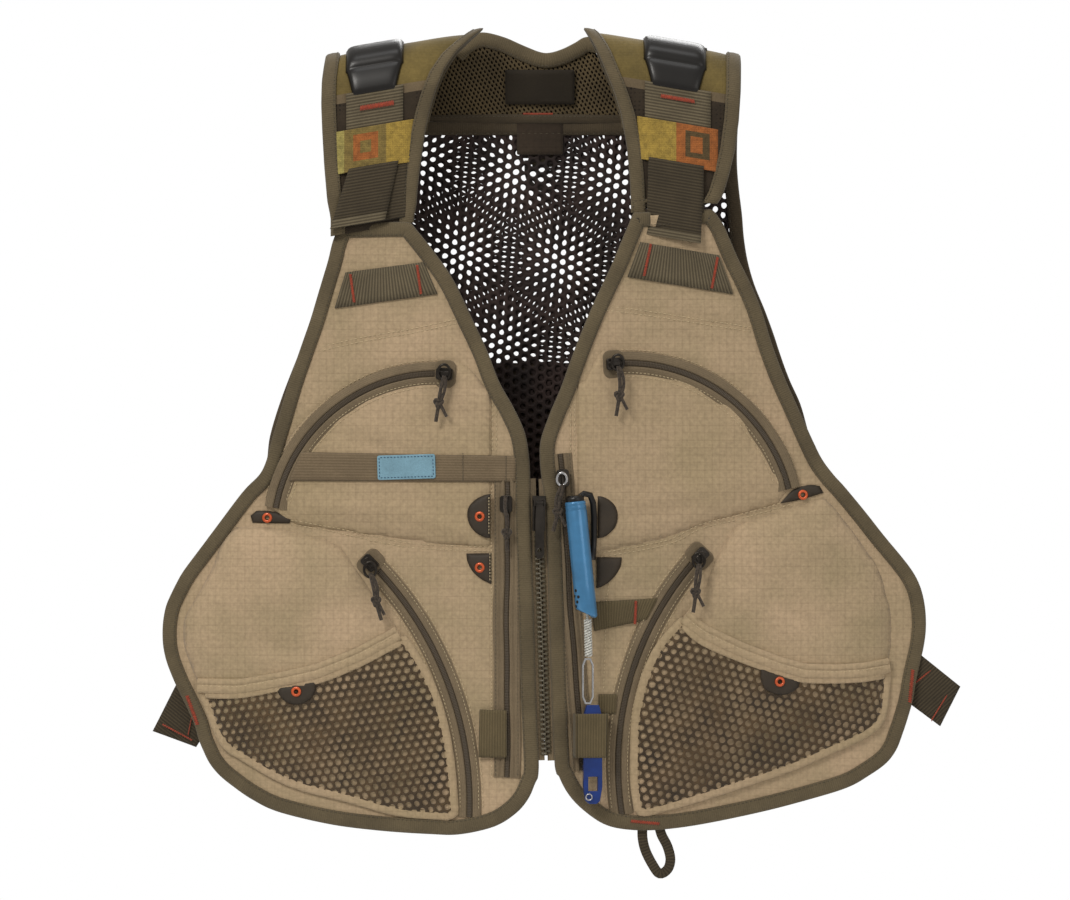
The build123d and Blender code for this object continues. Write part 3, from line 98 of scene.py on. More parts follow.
LPOCK_L = [(-226.1, -341.6), (-216.3, -333.9), (-198.1, -333.2), (-171.5, -338.1), (-144.9, -346.5), (-130.2, -365.4), (-116.9, -385.0), (-102.9, -404.6), (-96.6, -414.4), (-87.5, -428.4), (-79.1, -443.8), (-73.5, -459.2), (-67.9, -477.4), (-65.1, -494.2), (-63.0, -513.8), (-61.6, -533.4), (-65.1, -537.6), (-101.5, -534.8), (-136.5, -525.7), (-178.5, -514.5), (-213.5, -495.6), (-224.7, -488.6), (-231.7, -476.0), (-238.0, -460.6), (-242.2, -449.4), (-248.5, -434.0), (-253.4, -420.0), (-254.8, -407.4), (-252.7, -395.5), (-241.5, -376.6), (-233.1, -360.5)]
LPOCK_R = [(133.0, -332.5), (119.7, -354.2), (109.9, -378.0), (93.8, -399.0), (79.1, -416.5), (70.7, -431.9), (65.1, -449.4), (61.6, -470.4), (60.9, -490.0), (60.9, -511.0), (63.0, -533.4), (67.9, -535.5), (108.5, -524.3), (150.5, -511.7), (178.5, -501.9), (206.5, -490.7), (224.7, -481.6), (233.8, -474.6), (238.0, -465.5), (240.1, -451.5), (240.8, -435.4), (243.6, -420.0), (243.6, -395.5), (240.8, -383.6), (237.3, -369.6), (231.0, -357.0), (218.4, -339.5), (205.1, -322.0), (196.0, -312.9), (171.5, -319.9)]
MESH_L = [(-240.8, -450.8), (-213.5, -450.8), (-185.5, -445.9), (-157.5, -440.3), (-129.5, -429.1), (-108.5, -417.9), (-98.7, -413.0), (-91.7, -422.8), (-82.6, -438.2), (-75.6, -455.0), (-70.0, -474.6), (-66.5, -494.2), (-64.4, -513.8), (-63.0, -533.4), (-66.5, -536.2), (-101.5, -533.4), (-136.5, -524.3), (-178.5, -513.1), (-213.5, -494.2), (-223.3, -487.2), (-230.3, -474.6), (-236.6, -459.2)]
MESH_R = [(95.2, -400.4), (108.5, -413.0), (136.5, -425.6), (164.5, -435.4), (178.5, -439.6), (199.5, -440.3), (220.5, -439.6), (240.1, -436.8), (238.7, -453.6), (236.6, -464.8), (232.4, -473.2), (220.5, -481.6), (199.5, -490.7), (171.5, -502.6), (143.5, -511.7), (108.5, -522.9), (73.5, -532.7), (65.1, -532.7), (62.3, -512.4), (62.3, -490.0), (63.0, -470.4), (66.5, -450.8), (72.1, -433.3), (80.5, -417.2)]
HEM_L = [(-245.7, -441.7), (-213.5, -442.4), (-185.5, -437.5), (-157.5, -430.5), (-129.5, -419.3), (-112.0, -409.5), (-104.3, -404.6), (-99.4, -411.9), (-108.5, -417.2), (-129.5, -428.4), (-157.5, -439.6), (-185.5, -445.2), (-213.5, -450.1), (-241.5, -449.7)]
HEM_R = [(98.7, -394.1), (108.5, -401.8), (136.5, -415.8), (164.5, -427.0), (182.0, -431.2), (206.5, -431.9), (227.5, -429.8), (242.9, -427.0), (240.4, -436.1), (220.5, -438.9), (199.5, -439.6), (178.5, -438.9), (164.5, -434.7), (136.5, -424.9), (108.5, -412.3), (95.2, -399.3)]
CHESTWEB_L = [(-139.3, -155.4), (-84.7, -148.4), (-74.9, -170.8), (-147.0, -180.6)]
CHESTWEB_R = [(66.5, -134.4), (121.8, -143.5), (131.6, -170.8), (57.4, -158.9)]
BAND_L = [(-163.8, -281.4), (-115.5, -282.1), (-73.5, -283.5), (-37.1, -282.8), (-18.9, -284.2), (-19.6, -302.4), (-38.5, -303.8), (-73.5, -303.8), (-115.5, -302.4), (-169.4, -301.0)]
PATCH_L = [(-116.2, -283.1), (-74.9, -284.9), (-75.6, -302.4), (-116.2, -301.3)]
TAB1_L = [(-185.5, -446.6), (-158.9, -441.3), (-158.9, -448.0), (-163.1, -455.0), (-171.5, -458.5), (-179.9, -456.4), (-184.8, -450.8)]
TAB3_L = [(-37.1, -310.8), (-41.3, -311.5), (-46.9, -314.3), (-51.8, -319.2), (-53.2, -324.8), (-51.8, -331.8), (-47.6, -337.4), (-41.3, -340.9), (-37.1, -341.6)]
TAB4_L = [(-37.1, -352.1), (-54.6, -352.4), (-53.9, -357.7), (-50.4, -364.7), (-44.1, -370.3), (-38.5, -373.1), (-37.1, -373.8)]
TAB2_L = [(-206.5, -326.2), (-202.3, -322.7), (-193.9, -322.7), (-184.1, -324.8), (-177.8, -329.0), (-179.2, -331.4), (-193.9, -331.4), (-205.1, -331.1)]
TAB1_R = [(149.1, -432.9), (176.4, -441.3), (175.7, -446.6), (169.4, -450.8), (161.0, -451.5), (151.9, -448.0), (149.1, -441.0)]
TAB3_R = [(35.7, -312.2), (39.9, -312.9), (44.8, -315.7), (48.3, -319.9), (49.7, -326.2), (48.3, -333.2), (44.1, -338.1), (39.9, -340.9), (35.7, -341.6)]
TAB4_R = [(35.7, -354.9), (53.2, -355.2), (52.5, -361.2), (49.0, -367.5), (43.4, -373.1), (38.5, -375.9), (35.7, -376.6)]
TAB2_R = [(165.2, -317.4), (168.7, -312.9), (175.0, -307.3), (185.5, -304.5), (192.5, -305.2), (195.3, -310.1), (178.5, -315.0)]
STRIP_R = [(36.4, -386.4), (73.5, -384.3), (66.5, -397.6), (62.3, -403.9), (36.4, -406.0)]
STRIP2_R = [(39.9, -451.5), (46.9, -452.2), (46.2, -464.8), (39.9, -464.8)]
TAIL_L = [(-142.1, -79.1), (-102.9, -79.1), (-107.8, -109.2), (-112.7, -119.0), (-148.4, -114.1), (-146.3, -107.8)]
TAIL_R = [(70.0, -79.1), (110.6, -79.1), (109.2, -108.5), (107.8, -127.4), (70.0, -128.1)]
KEEP_L = [(-146.3, -49.0), (-93.8, -49.0), (-96.6, -77.7), (-147.7, -77.7)]
KEEP_R = [(65.1, -48.3), (121.8, -48.3), (120.4, -77.0), (67.2, -77.7)]
SIDE_L = [(-237.3, -438.2), (-258.3, -442.4), (-276.5, -478.1), (-245.7, -489.3), (-226.1, -457.8)]
SIDE_R = [(252.0, -429.8), (263.9, -423.5), (292.6, -446.6), (278.6, -474.6), (252.0, -455.0)]
UZIP_L = [(-68.6, -226.8), (-143.5, -249.2), (-186.9, -315.0)]
UZIP_R = [(46.9, -219.8), (120.4, -238.0), (168.7, -301.7)]
LZIP_L = [(-121.8, -359.1), (-70.7, -435.4), (-52.5, -534.8)]
LZIP_R = [(107.8, -354.2), (61.6, -432.6), (53.2, -533.4)]
EYE1_L = (-172.2, -449.4)
EYE3_L = (-44.4, -326.5)
EYE4_L = (-45.1, -362.2)
EYE1_R = (162.4, -442.4)
EYE2_L = (-194.6, -327.6)
EYE2_R = (180.6, -311.5)
CZIP_L_TOP = (-26.2, -303.8)
CZIP_L_BOT = (-26.2, -508.9)
CZIP_R_TOP = (10.5, -285.6)
CZIP_R_BOT = (25.9, -504.0)
CHAIN_TOP = (-4.9, -318.5)
CHAIN_BOT = (1.0, -502.6)
BARREL_TOP = (18.2, -315.7)
BARREL_BOT = (26.6, -397.6)
NIPPER_TOP = (31.1, -455.0)
NIPPER_BOT = (31.1, -527.1)

def px(u, v):
    """A place on the front given on the 0.7 mm drawing grid."""
    return ((u - 545.0) * 0.7, (50.0 - v) * 0.7)


def loc(p):
    return ((p[0] - X_APEX) / CA, p[1])


def q(u, v):
    return loc(px(u, v))


def LL(pts):
    return np.array([loc(p) for p in pts], float)


def P3(S, Z, T, side):
    """Panel coordinates in mm to metres in the object's frame."""
    S, Z, T = np.broadcast_arrays(np.asarray(S, float), np.asarray(Z, float), np.asarray(T, float))
    sg = -1.0 if side == "L" else 1.0
    X = X_APEX + S * CA + T * SA * sg
    Y = Y_FRONT + S * SA * sg - T * CA
    return np.stack([X, Y, Z], -1) / 1000.0


def B3(X, Z, off):
    """Back surface: off mm outwards (+Y) of the back panel's outer face."""
    X, Z, off = np.broadcast_arrays(np.asarray(X, float), np.asarray(Z, float), np.asarray(off, float))
    r = R_BACK + off
    a = X / R_BACK
    return np.stack([r * np.sin(a), Y_BACK - R_BACK + r * np.cos(a), Z], -1) / 1000.0


# ---------------------------------------------------------------- outline tools
def smooth(pts, step=3.0, corner=40.0, closed=True):
    """Catmull-Rom through the points, keeping sharp corners, sampled about every step mm."""
    p = [np.array(a, float) for a in pts]
    n = len(p)
    sharp = []
    for i in range(n):
        if not closed and i in (0, n - 1):
            sharp.append(True)
            continue
        a, b, c = p[i - 1], p[i], p[(i + 1) % n]
        d1, d2 = b - a, c - b
        ang = abs(math.degrees(math.atan2(d1[0] * d2[1] - d1[1] * d2[0], d1 @ d2)))
        sharp.append(ang > corner)
    out = []
    last = n if closed else n - 1
    for i in range(last):
        b, c = p[i], p[(i + 1) % n]
        a = p[i - 1] if (not sharp[i] and (closed or i > 0)) else b - (c - b)
        d = p[(i + 2) % n] if (not sharp[(i + 1) % n] and (closed or i + 2 < n)) else c + (c - b)
        k = max(1, int(round(np.linalg.norm(c - b) / step)))
        for j in range(k):
            t = j / k
            out.append(0.5 * ((2 * b) + (-a + c) * t + (2 * a - 5 * b + 4 * c - d) * t * t + (-a + 3 * b - 3 * c + d) * t ** 3))
    if not closed:
        out.append(p[-1])
    return np.array(out)


def area2(p):
    x, y = p[:, 0], p[:, 1]
    return float(np.sum(x * np.roll(y, -1) - np.roll(x, -1) * y))


def normals2(p, closed=True):
    """Left-hand normals at each point."""
    if closed:
        d = np.roll(p, -1, 0) - np.roll(p, 1, 0)
    else:
        d = np.gradient(p, axis=0)
    d /= np.maximum(np.linalg.norm(d, axis=1, keepdims=True), 1e-9)
    return np.stack([-d[:, 1], d[:, 0]], -1)


def inward(p):
    n = normals2(p)
    return n if area2(p) > 0 else -n


def inset(p, d):
    return p + inward(p) * d


def arclen(p, closed=False):
    q_ = np.vstack([p, p[:1]]) if closed else p
    return np.concatenate([[0], np.cumsum(np.linalg.norm(np.diff(q_, axis=0), axis=1))])


def resample(p, step=None, n=None, closed=False):
    q_ = np.vstack([p, p[:1]]) if closed else p
    s = arclen(p, closed)
    k = n or max(2, int(round(s[-1] / step)) + 1)
    t = np.linspace(0, s[-1], k + (1 if closed else 0))
    if closed:
        t = t[:-1]
    return np.stack([np.interp(t, s, q_[:, 0]), np.interp(t, s, q_[:, 1])], -1)


def inside_dist(pts, poly):
    """Signed distance to a polygon, positive inside."""
    pts = np.asarray(pts, float).reshape(-1, 2)
    a = poly
    b = np.roll(poly, -1, 0)
    d = b - a
    L2 = np.maximum((d ** 2).sum(1), 1e-12)
    best = np.full(len(pts), 1e18)
    cross = np.zeros(len(pts), bool)
    for i in range(len(a)):
        w = pts - a[i]
        t = np.clip((w @ d[i]) / L2[i], 0, 1)
        e = w - t[:, None] * d[i]
        best = np.minimum(best, (e ** 2).sum(1))
        c1 = (a[i][1] > pts[:, 1]) != (b[i][1] > pts[:, 1])
        with np.errstate(divide="ignore", invalid="ignore"):
            xi = a[i][0] + (pts[:, 1] - a[i][1]) * d[i][0] / (d[i][1] if abs(d[i][1]) > 1e-12 else 1e-12)
        cross ^= c1 & (pts[:, 0] < xi)
    r = np.sqrt(best)
    return np.where(cross, r, -r)


def seg_dist(pts, a, b):
    a, b = np.array(a, float), np.array(b, float)
    d = b - a
    t = np.clip(((pts - a) @ d) / (d @ d), 0, 1)
    return np.linalg.norm(pts - a - t[:, None] * d, axis=1), t


def fbm(x, z, f, seed=0.0, octs=2):
    out = np.empty(len(x))
    for i in range(len(x)):
        v = 0.0
        amp = 1.0
        fr = f
        for o in range(octs):
            v += amp * noise.noise(Vector((x[i] * fr + seed, z[i] * fr - seed * 1.7, seed * 3.1 + o * 5.2)))
            amp *= 0.5
            fr *= 2.1
        out[i] = v
    return out


def chaikin(p, n=2):
    for _ in range(n):
        a = 0.75 * p[:-1] + 0.25 * p[1:]
        b = 0.25 * p[:-1] + 0.75 * p[1:]
        p = np.vstack([p[:1], np.stack([a, b], 1).reshape(-1, 2), p[-1:]])
    return p


def circle3(a, b, c):
    ax, ay = a
    bx, by = b
    cx, cy = c
    d = 2 * (ax * (by - cy) + bx * (cy - ay) + cx * (ay - by))
    ux = ((ax * ax + ay * ay) * (by - cy) + (bx * bx + by * by) * (cy - ay) + (cx * cx + cy * cy) * (ay - by)) / d
    uy = ((ax * ax + ay * ay) * (cx - bx) + (bx * bx + by * by) * (ax - cx) + (cx * cx + cy * cy) * (bx - ax)) / d
    return (ux, uy), math.hypot(ax - ux, ay - uy)


def arc_path(three, before=0.0, after=0.0, step=2.5):
    a, b, c = (loc(p) for p in three)
    o, r = circle3(a, b, c)
    t0 = math.atan2(a[1] - o[1], a[0] - o[0])
    t1 = math.atan2(c[1] - o[1], c[0] - o[0])
    tm = math.atan2(b[1] - o[1], b[0] - o[0])
    sw = (t1 - t0 + math.pi) % (2 * math.pi) - math.pi
    mid = (tm - t0 + math.pi) % (2 * math.pi) - math.pi
    if sw * mid < 0:
        sw += 2 * math.pi if sw < 0 else -2 * math.pi
    s = 1.0 if sw > 0 else -1.0
    a0, a1 = t0 - s * before / r, t0 + sw + s * after / r
    n = max(6, int(abs(a1 - a0) * r / step))
    ts = np.linspace(a0, a1, n)
    return np.stack([o[0] + r * np.cos(ts), o[1] + r * np.sin(ts)], -1)


# ---------------------------------------------------------------- materials
def lin(c):
    out = []
    for v in c:
        v = v / 255.0
        out.append(v / 12.92 if v <= 0.04045 else ((v + 0.055) / 1.055) ** 2.4)
    return (*out, 1.0)


def scale_col(c, k):
    return tuple(min(255, max(0, v * k)) for v in c)


_mats = {}


def mat(name, col, rough=0.85, spec=0.25, sheen=0.0, metal=0.0, coat=0.0, coat_rough=0.1, var=0.10, var_scale=22.0,
        weave=0.0, weave_mm=0.9, rip_mm=0.0, rip=0.0, rib_uv_mm=0.0, rib=0.0, rib_dir="U", grain=0.0, grain_scale=900.0,
        stripe=None, stripe_amt=0.0, dots_mm=0.0, dots=0.0, hue=None):
    """Procedural finish: mottled colour, weave or rib relief, and fine grain. Relief is in metres of bump."""
    if name in _mats:
        return _mats[name]
    m = bpy.data.materials.new(name)
    m.use_nodes = True
    nt = m.node_tree
    N, L = nt.nodes, nt.links
    bsdf = N["Principled BSDF"]
    bsdf.inputs["Roughness"].default_value = rough
    bsdf.inputs["Specular IOR Level"].default_value = spec
    bsdf.inputs["Metallic"].default_value = metal
    bsdf.inputs["Sheen Weight"].default_value = sheen
    bsdf.inputs["Sheen Roughness"].default_value = 0.5
    bsdf.inputs["Coat Weight"].default_value = coat
    bsdf.inputs["Coat Roughness"].default_value = coat_rough
    tc = N.new("ShaderNodeTexCoord")
    obj = tc.outputs["Object"]
    no = N.new("ShaderNodeTexNoise")
    no.inputs["Scale"].default_value = var_scale
    no.inputs["Detail"].default_value = 4.0
    L.new(obj, no.inputs["Vector"])
    ramp = N.new("ShaderNodeValToRGB")
    ramp.color_ramp.elements[0].position = 0.32
    ramp.color_ramp.elements[1].position = 0.68
    lo = scale_col(col, 1 - var)
    hi = scale_col(hue if hue else col, 1 + var)
    ramp.color_ramp.elements[0].color = lin(lo)
    ramp.color_ramp.elements[1].color = lin(hi)
    L.new(no.outputs["Fac"], ramp.inputs["Fac"])
    colour = ramp.outputs["Color"]
    height = None

    def add_height(sock, amount):
        nonlocal height
        mul = N.new("ShaderNodeMath")
        mul.operation = "MULTIPLY"
        mul.inputs[1].default_value = amount
        L.new(sock, mul.inputs[0])
        if height is None:
            height = mul.outputs[0]
        else:
            ad = N.new("ShaderNodeMath")
            ad.operation = "ADD"
            L.new(height, ad.inputs[0])
            L.new(mul.outputs[0], ad.inputs[1])
            height = ad.outputs[0]

    def wave(vec, direction, period_m, distortion=0.0):
        w = N.new("ShaderNodeTexWave")
        w.wave_type = "BANDS"
        w.bands_direction = direction
        w.inputs["Scale"].default_value = 2 * math.pi / (20.0 * period_m)
        w.inputs["Distortion"].default_value = distortion
        L.new(vec, w.inputs["Vector"])
        return w.outputs["Fac"]

    if weave:
        for d_ in ("X", "Z"):
            add_height(wave(obj, d_, weave_mm / 1000.0), weave)
    if rip:
        for d_ in ("X", "Z"):
            w = wave(obj, d_, rip_mm / 1000.0)
            pw = N.new("ShaderNodeMath")
            pw.operation = "POWER"
            pw.inputs[1].default_value = 14.0
            L.new(w, pw.inputs[0])
            add_height(pw.outputs[0], rip)
            mx = N.new("ShaderNodeMix")
            mx.data_type = "RGBA"
            mx.blend_type = "MULTIPLY"
            mul = N.new("ShaderNodeMath")
            mul.operation = "MULTIPLY"
            mul.inputs[1].default_value = 0.16
            L.new(pw.outputs[0], mul.inputs[0])
            L.new(mul.outputs[0], mx.inputs["Factor"])
            L.new(colour, mx.inputs["A"])
            mx.inputs["B"].default_value = (0.55, 0.52, 0.48, 1)
            colour = mx.outputs["Result"]
    if rib_uv_mm:
        w = wave(tc.outputs["UV"], "X" if rib_dir == "U" else "Y", rib_uv_mm / 1000.0)
        if rib:
            add_height(w, rib)
        if stripe is not None:
            mx = N.new("ShaderNodeMix")
            mx.data_type = "RGBA"
            mul = N.new("ShaderNodeMath")
            mul.operation = "MULTIPLY"
            mul.inputs[1].default_value = stripe_amt
            inv = N.new("ShaderNodeMath")
            inv.operation = "SUBTRACT"
            inv.inputs[0].default_value = 1.0
            L.new(w, inv.inputs[1])
            L.new(inv.outputs[0], mul.inputs[0])
            L.new(mul.outputs[0], mx.inputs["Factor"])
            L.new(colour, mx.inputs["A"])
            mx.inputs["B"].default_value = lin(stripe)
            colour = mx.outputs["Result"]
    if dots:
        vo = N.new("ShaderNodeTexVoronoi")
        vo.inputs["Scale"].default_value = 1000.0 / dots_mm
        vo.inputs["Randomness"].default_value = 0.15
        L.new(obj, vo.inputs["Vector"])
        rp = N.new("ShaderNodeValToRGB")
        rp.color_ramp.elements[0].position = 0.18
        rp.color_ramp.elements[0].color = (0.18, 0.17, 0.16, 1)
        rp.color_ramp.elements[1].position = 0.40
        rp.color_ramp.elements[1].color = (1, 1, 1, 1)
        L.new(vo.outputs["Distance"], rp.inputs["Fac"])
        mx = N.new("ShaderNodeMix")
        mx.data_type = "RGBA"
        mx.blend_type = "MULTIPLY"
        mx.inputs["Factor"].default_value = dots
        L.new(colour, mx.inputs["A"])
        L.new(rp.outputs["Color"], mx.inputs["B"])
        colour = mx.outputs["Result"]
        add_height(rp.outputs["Color"], 0.0004)
    if grain:
        g = N.new("ShaderNodeTexNoise")
        g.inputs["Scale"].default_value = grain_scale
        g.inputs["Detail"].default_value = 3.0
        L.new(obj, g.inputs["Vector"])
        add_height(g.outputs["Fac"], grain)
        mx = N.new("ShaderNodeMix")
        mx.data_type = "RGBA"
        mx.blend_type = "MULTIPLY"
        mx.inputs["Factor"].default_value = 0.35 if metal < 0.5 and rough > 0.6 else 0.0
        L.new(colour, mx.inputs["A"])
        rp = N.new("ShaderNodeValToRGB")
        rp.color_ramp.elements[0].position = 0.3
        rp.color_ramp.elements[0].color = (0.62, 0.62, 0.62, 1)
        rp.color_ramp.elements[1].position = 0.7
        rp.color_ramp.elements[1].color = (1.25, 1.25, 1.25, 1)
        L.new(g.outputs["Fac"], rp.inputs["Fac"])
        L.new(rp.outputs["Color"], mx.inputs["B"])
        colour = mx.outputs["Result"]
    L.new(colour, bsdf.inputs["Base Color"])
    if height is not None:
        b = N.new("ShaderNodeBump")
        b.inputs["Strength"].default_value = 1.0
        b.inputs["Distance"].default_value = 1.0
        L.new(height, b.inputs["Height"])
        L.new(b.outputs["Normal"], bsdf.inputs["Normal"])
    _mats[name] = m
    return m


TAN = (171, 152, 120)
M_TAN = mat("tan_ripstop", TAN, rough=0.88, sheen=0.12, var=0.05, var_scale=16, hue=(176, 153, 125), weave=0.00006, weave_mm=1.1, rip_mm=5.2, rip=0.00008, grain=0.00010, grain_scale=420)
M_TAN2 = mat("tan_ripstop_pocket", (174, 154, 121), rough=0.88, sheen=0.12, var=0.045, var_scale=14, hue=(172, 150, 122), weave=0.00006, weave_mm=1.1, rip_mm=5.2, rip=0.00008, grain=0.00010, grain_scale=380)
M_BIND = mat("binding_tape", (99, 88, 67), rough=0.9, sheen=0.15, var=0.08, var_scale=40, rib_uv_mm=1.5, rib=0.00010, stripe=(72, 62, 46), stripe_amt=0.35, grain=0.00006, grain_scale=900)
M_BIND_D = mat("binding_tape_dark", (80, 69, 53), rough=0.9, sheen=0.12, var=0.08, var_scale=40, rib_uv_mm=1.5, rib=0.00010, stripe=(58, 52, 42), stripe_amt=0.35, grain=0.00006)
M_WEB = mat("ribbed_webbing", (110, 100, 79), rough=0.85, sheen=0.1, var=0.06, var_scale=60, rib_uv_mm=2.1, rib=0.00030, stripe=(56, 48, 37), stripe_amt=0.75, grain=0.00008, grain_scale=1100)
M_WEB_D = mat("ribbed_webbing_dark", (74, 65, 49), rough=0.85, sheen=0.1, var=0.06, var_scale=60, rib_uv_mm=2.1, rib=0.00030, stripe=(40, 34, 26), stripe_amt=0.7, grain=0.00008, grain_scale=1100)
M_ELAS = mat("ribbed_elastic", (120, 104, 82), rough=0.85, sheen=0.1, var=0.05, var_scale=60, rib_uv_mm=2.0, rib=0.00016, rib_dir="V", stripe=(98, 84, 64), stripe_amt=0.6, grain=0.00008, grain_scale=1000)
M_ELAS_O = mat("olive_elastic", (100, 88, 63), rough=0.85, sheen=0.1, var=0.05, var_scale=60, rib_uv_mm=1.9, rib=0.00020, rib_dir="U", stripe=(68, 59, 41), stripe_amt=0.55, grain=0.00008, grain_scale=1000)
M_TAPE = mat("zip_tape", (122, 107, 85), rough=0.88, sheen=0.08, var=0.06, var_scale=50, rib_uv_mm=1.3, rib=0.00008, rib_dir="V", stripe=(101, 88, 69), stripe_amt=0.5, grain=0.00008, grain_scale=900)
M_COIL = mat("zip_coil", (80, 68, 52), rough=0.55, spec=0.4, var=0.05, rib_uv_mm=1.1, rib=0.00030, stripe=(50, 42, 32), stripe_amt=0.7)
M_TOOTH = mat("zip_teeth_moulded", (84, 76, 58), rough=0.35, spec=0.5, var=0.06, grain=0.00003)
M_TAB = mat("coated_tab", (53, 44, 33), rough=0.62, spec=0.4, var=0.07, var_scale=90, grain=0.00005, grain_scale=1400)
M_ORANGE = mat("orange_lacquer", (205, 88, 40), rough=0.35, spec=0.5, metal=0.35, coat=0.4, var=0.06, var_scale=300)
M_RED = mat("red_bartack", (150, 62, 40), rough=0.7, sheen=0.2, var=0.12, var_scale=700, grain=0.0001)
M_THREAD = mat("tan_thread", (196, 178, 142), rough=0.7, sheen=0.2, var=0.08, var_scale=700, grain=0.00005)
M_THREAD_D = mat("dark_thread", (78, 70, 54), rough=0.7, sheen=0.2, var=0.08, var_scale=700, grain=0.00005)
M_THREAD_B = mat("blue_thread", (36, 66, 96), rough=0.7, sheen=0.2, var=0.08, var_scale=700, grain=0.00005)
M_PATCH = mat("blue_patch", (122, 160, 178), rough=0.75, sheen=0.1, var=0.05, var_scale=90, weave=0.00005, weave_mm=0.8, grain=0.00005, grain_scale=1300)
M_BLACKLAB = mat("black_label", (36, 29, 18), rough=0.75, sheen=0.1, var=0.08, weave=0.00005, weave_mm=0.8, grain=0.00005)
M_PLAST = mat("black_plastic", (17, 14, 12), rough=0.36, spec=0.42, coat=0.04, var=0.15, var_scale=60, grain=0.00001, grain_scale=1500)
M_GUN = mat("gunmetal_plate", (58, 54, 50), rough=0.3, metal=0.9, spec=0.5, var=0.12, var_scale=120, grain=0.00001, grain_scale=1600)
M_STEEL = mat("bright_steel", (190, 190, 192), rough=0.22, metal=1.0, var=0.06, var_scale=200, grain=0.00001)
M_BLUE = mat("anodised_blue", (70, 130, 176), rough=0.3, metal=0.3, coat=0.5, coat_rough=0.12, var=0.07, var_scale=60, grain=0.00001, grain_scale=1800)
M_NAVY = mat("coated_navy", (26, 54, 122), rough=0.34, metal=0.35, coat=0.5, coat_rough=0.1, var=0.08, var_scale=120, grain=0.00001)
M_BRAID = mat("silver_braid", (196, 196, 190), rough=0.55, sheen=0.2, var=0.2, var_scale=900, grain=0.0001, grain_scale=1500)
M_CORD = mat("pull_cord_braid", (62, 54, 46), rough=0.8, sheen=0.2, var=0.28, var_scale=700, grain=0.00018, grain_scale=1300)
M_NET = mat("pocket_net", (66, 53, 38), rough=0.75, sheen=0.2, var=0.14, var_scale=60, hue=(76, 60, 40), grain=0.00010, grain_scale=900)
M_BMESH = mat("dark_open_mesh", (42, 33, 31), rough=0.75, sheen=0.15, var=0.16, var_scale=30, hue=(50, 38, 35), grain=0.00010, grain_scale=900)
M_CMESH = mat("collar_mesh", (88, 75, 52), rough=0.8, sheen=0.15, var=0.12, var_scale=40, grain=0.00010, grain_scale=900)
M_COLBACK = mat("collar_lining", (36, 29, 21), rough=0.9, var=0.1, grain=0.00005)
# cargo cloth: a dark brown that paints the shade on the tan cargo pocket seen through the back mesh; the yoke patch and
# side gussets share it
M_CARGO_SHADE = mat("cargo_cloth_painted_shade", (58, 48, 38), rough=0.88, sheen=0.1, var=0.10, var_scale=20, weave=0.00006, weave_mm=1.1, rip_mm=5.2, rip=0.00008, grain=0.0001, grain_scale=400)
M_PADY = mat("pad_olive_cloth", (105, 90, 50), rough=0.86, sheen=0.12, var=0.16, var_scale=24, weave=0.00007, weave_mm=1.2, grain=0.0001, grain_scale=500)
M_PADB = mat("pad_brown_fold", (104, 90, 69), rough=0.86, sheen=0.12, var=0.08, var_scale=30, grain=0.0001)
M_PADM = mat("pad_spacer_mesh", (52, 43, 32), rough=0.85, sheen=0.1, var=0.12, var_scale=60, dots_mm=3.0, dots=0.9, grain=0.0001)
M_JQ = {
    "olive": mat("jacquard_olive", (122, 104, 56), rough=0.8, sheen=0.15, var=0.10, var_scale=300, weave=0.00012, weave_mm=1.3, grain=0.00015, grain_scale=1200),
    "gold": mat("jacquard_gold", (152, 127, 58), rough=0.8, sheen=0.15, var=0.10, var_scale=300, weave=0.00012, weave_mm=1.3, grain=0.00015, grain_scale=1200),
    "orange": mat("jacquard_orange", (152, 90, 44), rough=0.8, sheen=0.15, var=0.10, var_scale=300, weave=0.00012, weave_mm=1.3, grain=0.00015, grain_scale=1200),
    "pale": mat("jacquard_pale", (150, 138, 78), rough=0.8, sheen=0.15, var=0.12, var_scale=300, weave=0.00012, weave_mm=1.3, grain=0.00015, grain_scale=1200),
    "dark": mat("jacquard_dark", (84, 68, 42), rough=0.8, sheen=0.15, var=0.12, var_scale=300, weave=0.00012, weave_mm=1.3, grain=0.00015, grain_scale=1200),
}


# ---------------------------------------------------------------- mesh tools
def make(name, verts, faces, material, body=None, uvs=None, shade=True, mats=None, mat_idx=None, replaces=()):
    me = bpy.data.meshes.new(name)
    v = np.asarray(verts, float).reshape(-1, 3)
    me.from_pydata([tuple(x) for x in v], [], [tuple(int(i) for i in f) for f in faces])
    if uvs is not None:
        uv = me.uv_layers.new(name="UVMap")
        vi = np.empty(len(me.loops), np.int32)
        me.loops.foreach_get("vertex_index", vi)
        uv.data.foreach_set("uv", np.asarray(uvs, np.float32)[vi].ravel())
    for m_ in (mats or [material]):
        me.materials.append(m_)
    if mat_idx is not None:
        me.polygons.foreach_set("material_index", np.asarray(mat_idx, np.int32))
    if shade:
        me.polygons.foreach_set("use_smooth", [True] * len(me.polygons))
    me.update()
    me.validate()
    o = bpy.data.objects.new(name, me)
    bpy.context.scene.collection.objects.link(o)
    if body:
        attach(o, body)
    if replaces:
        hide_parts(*replaces)
    return o


def solidify(o, mm, offset=-1.0):
    m = o.modifiers.new("thick", "SOLIDIFY")
    m.thickness = mm / 1000.0
    m.offset = offset
    m.use_even_offset = False
    return o


def grid_faces(rows, cols, close_cols=False, close_rows=False):
    f = []
    for i in range(rows if close_rows else rows - 1):
        i2 = (i + 1) % rows
        for j in range(cols if close_cols else cols - 1):
            j2 = (j + 1) % cols
            f.append((i * cols + j, i * cols + j2, i2 * cols + j2, i2 * cols + j))
    return f


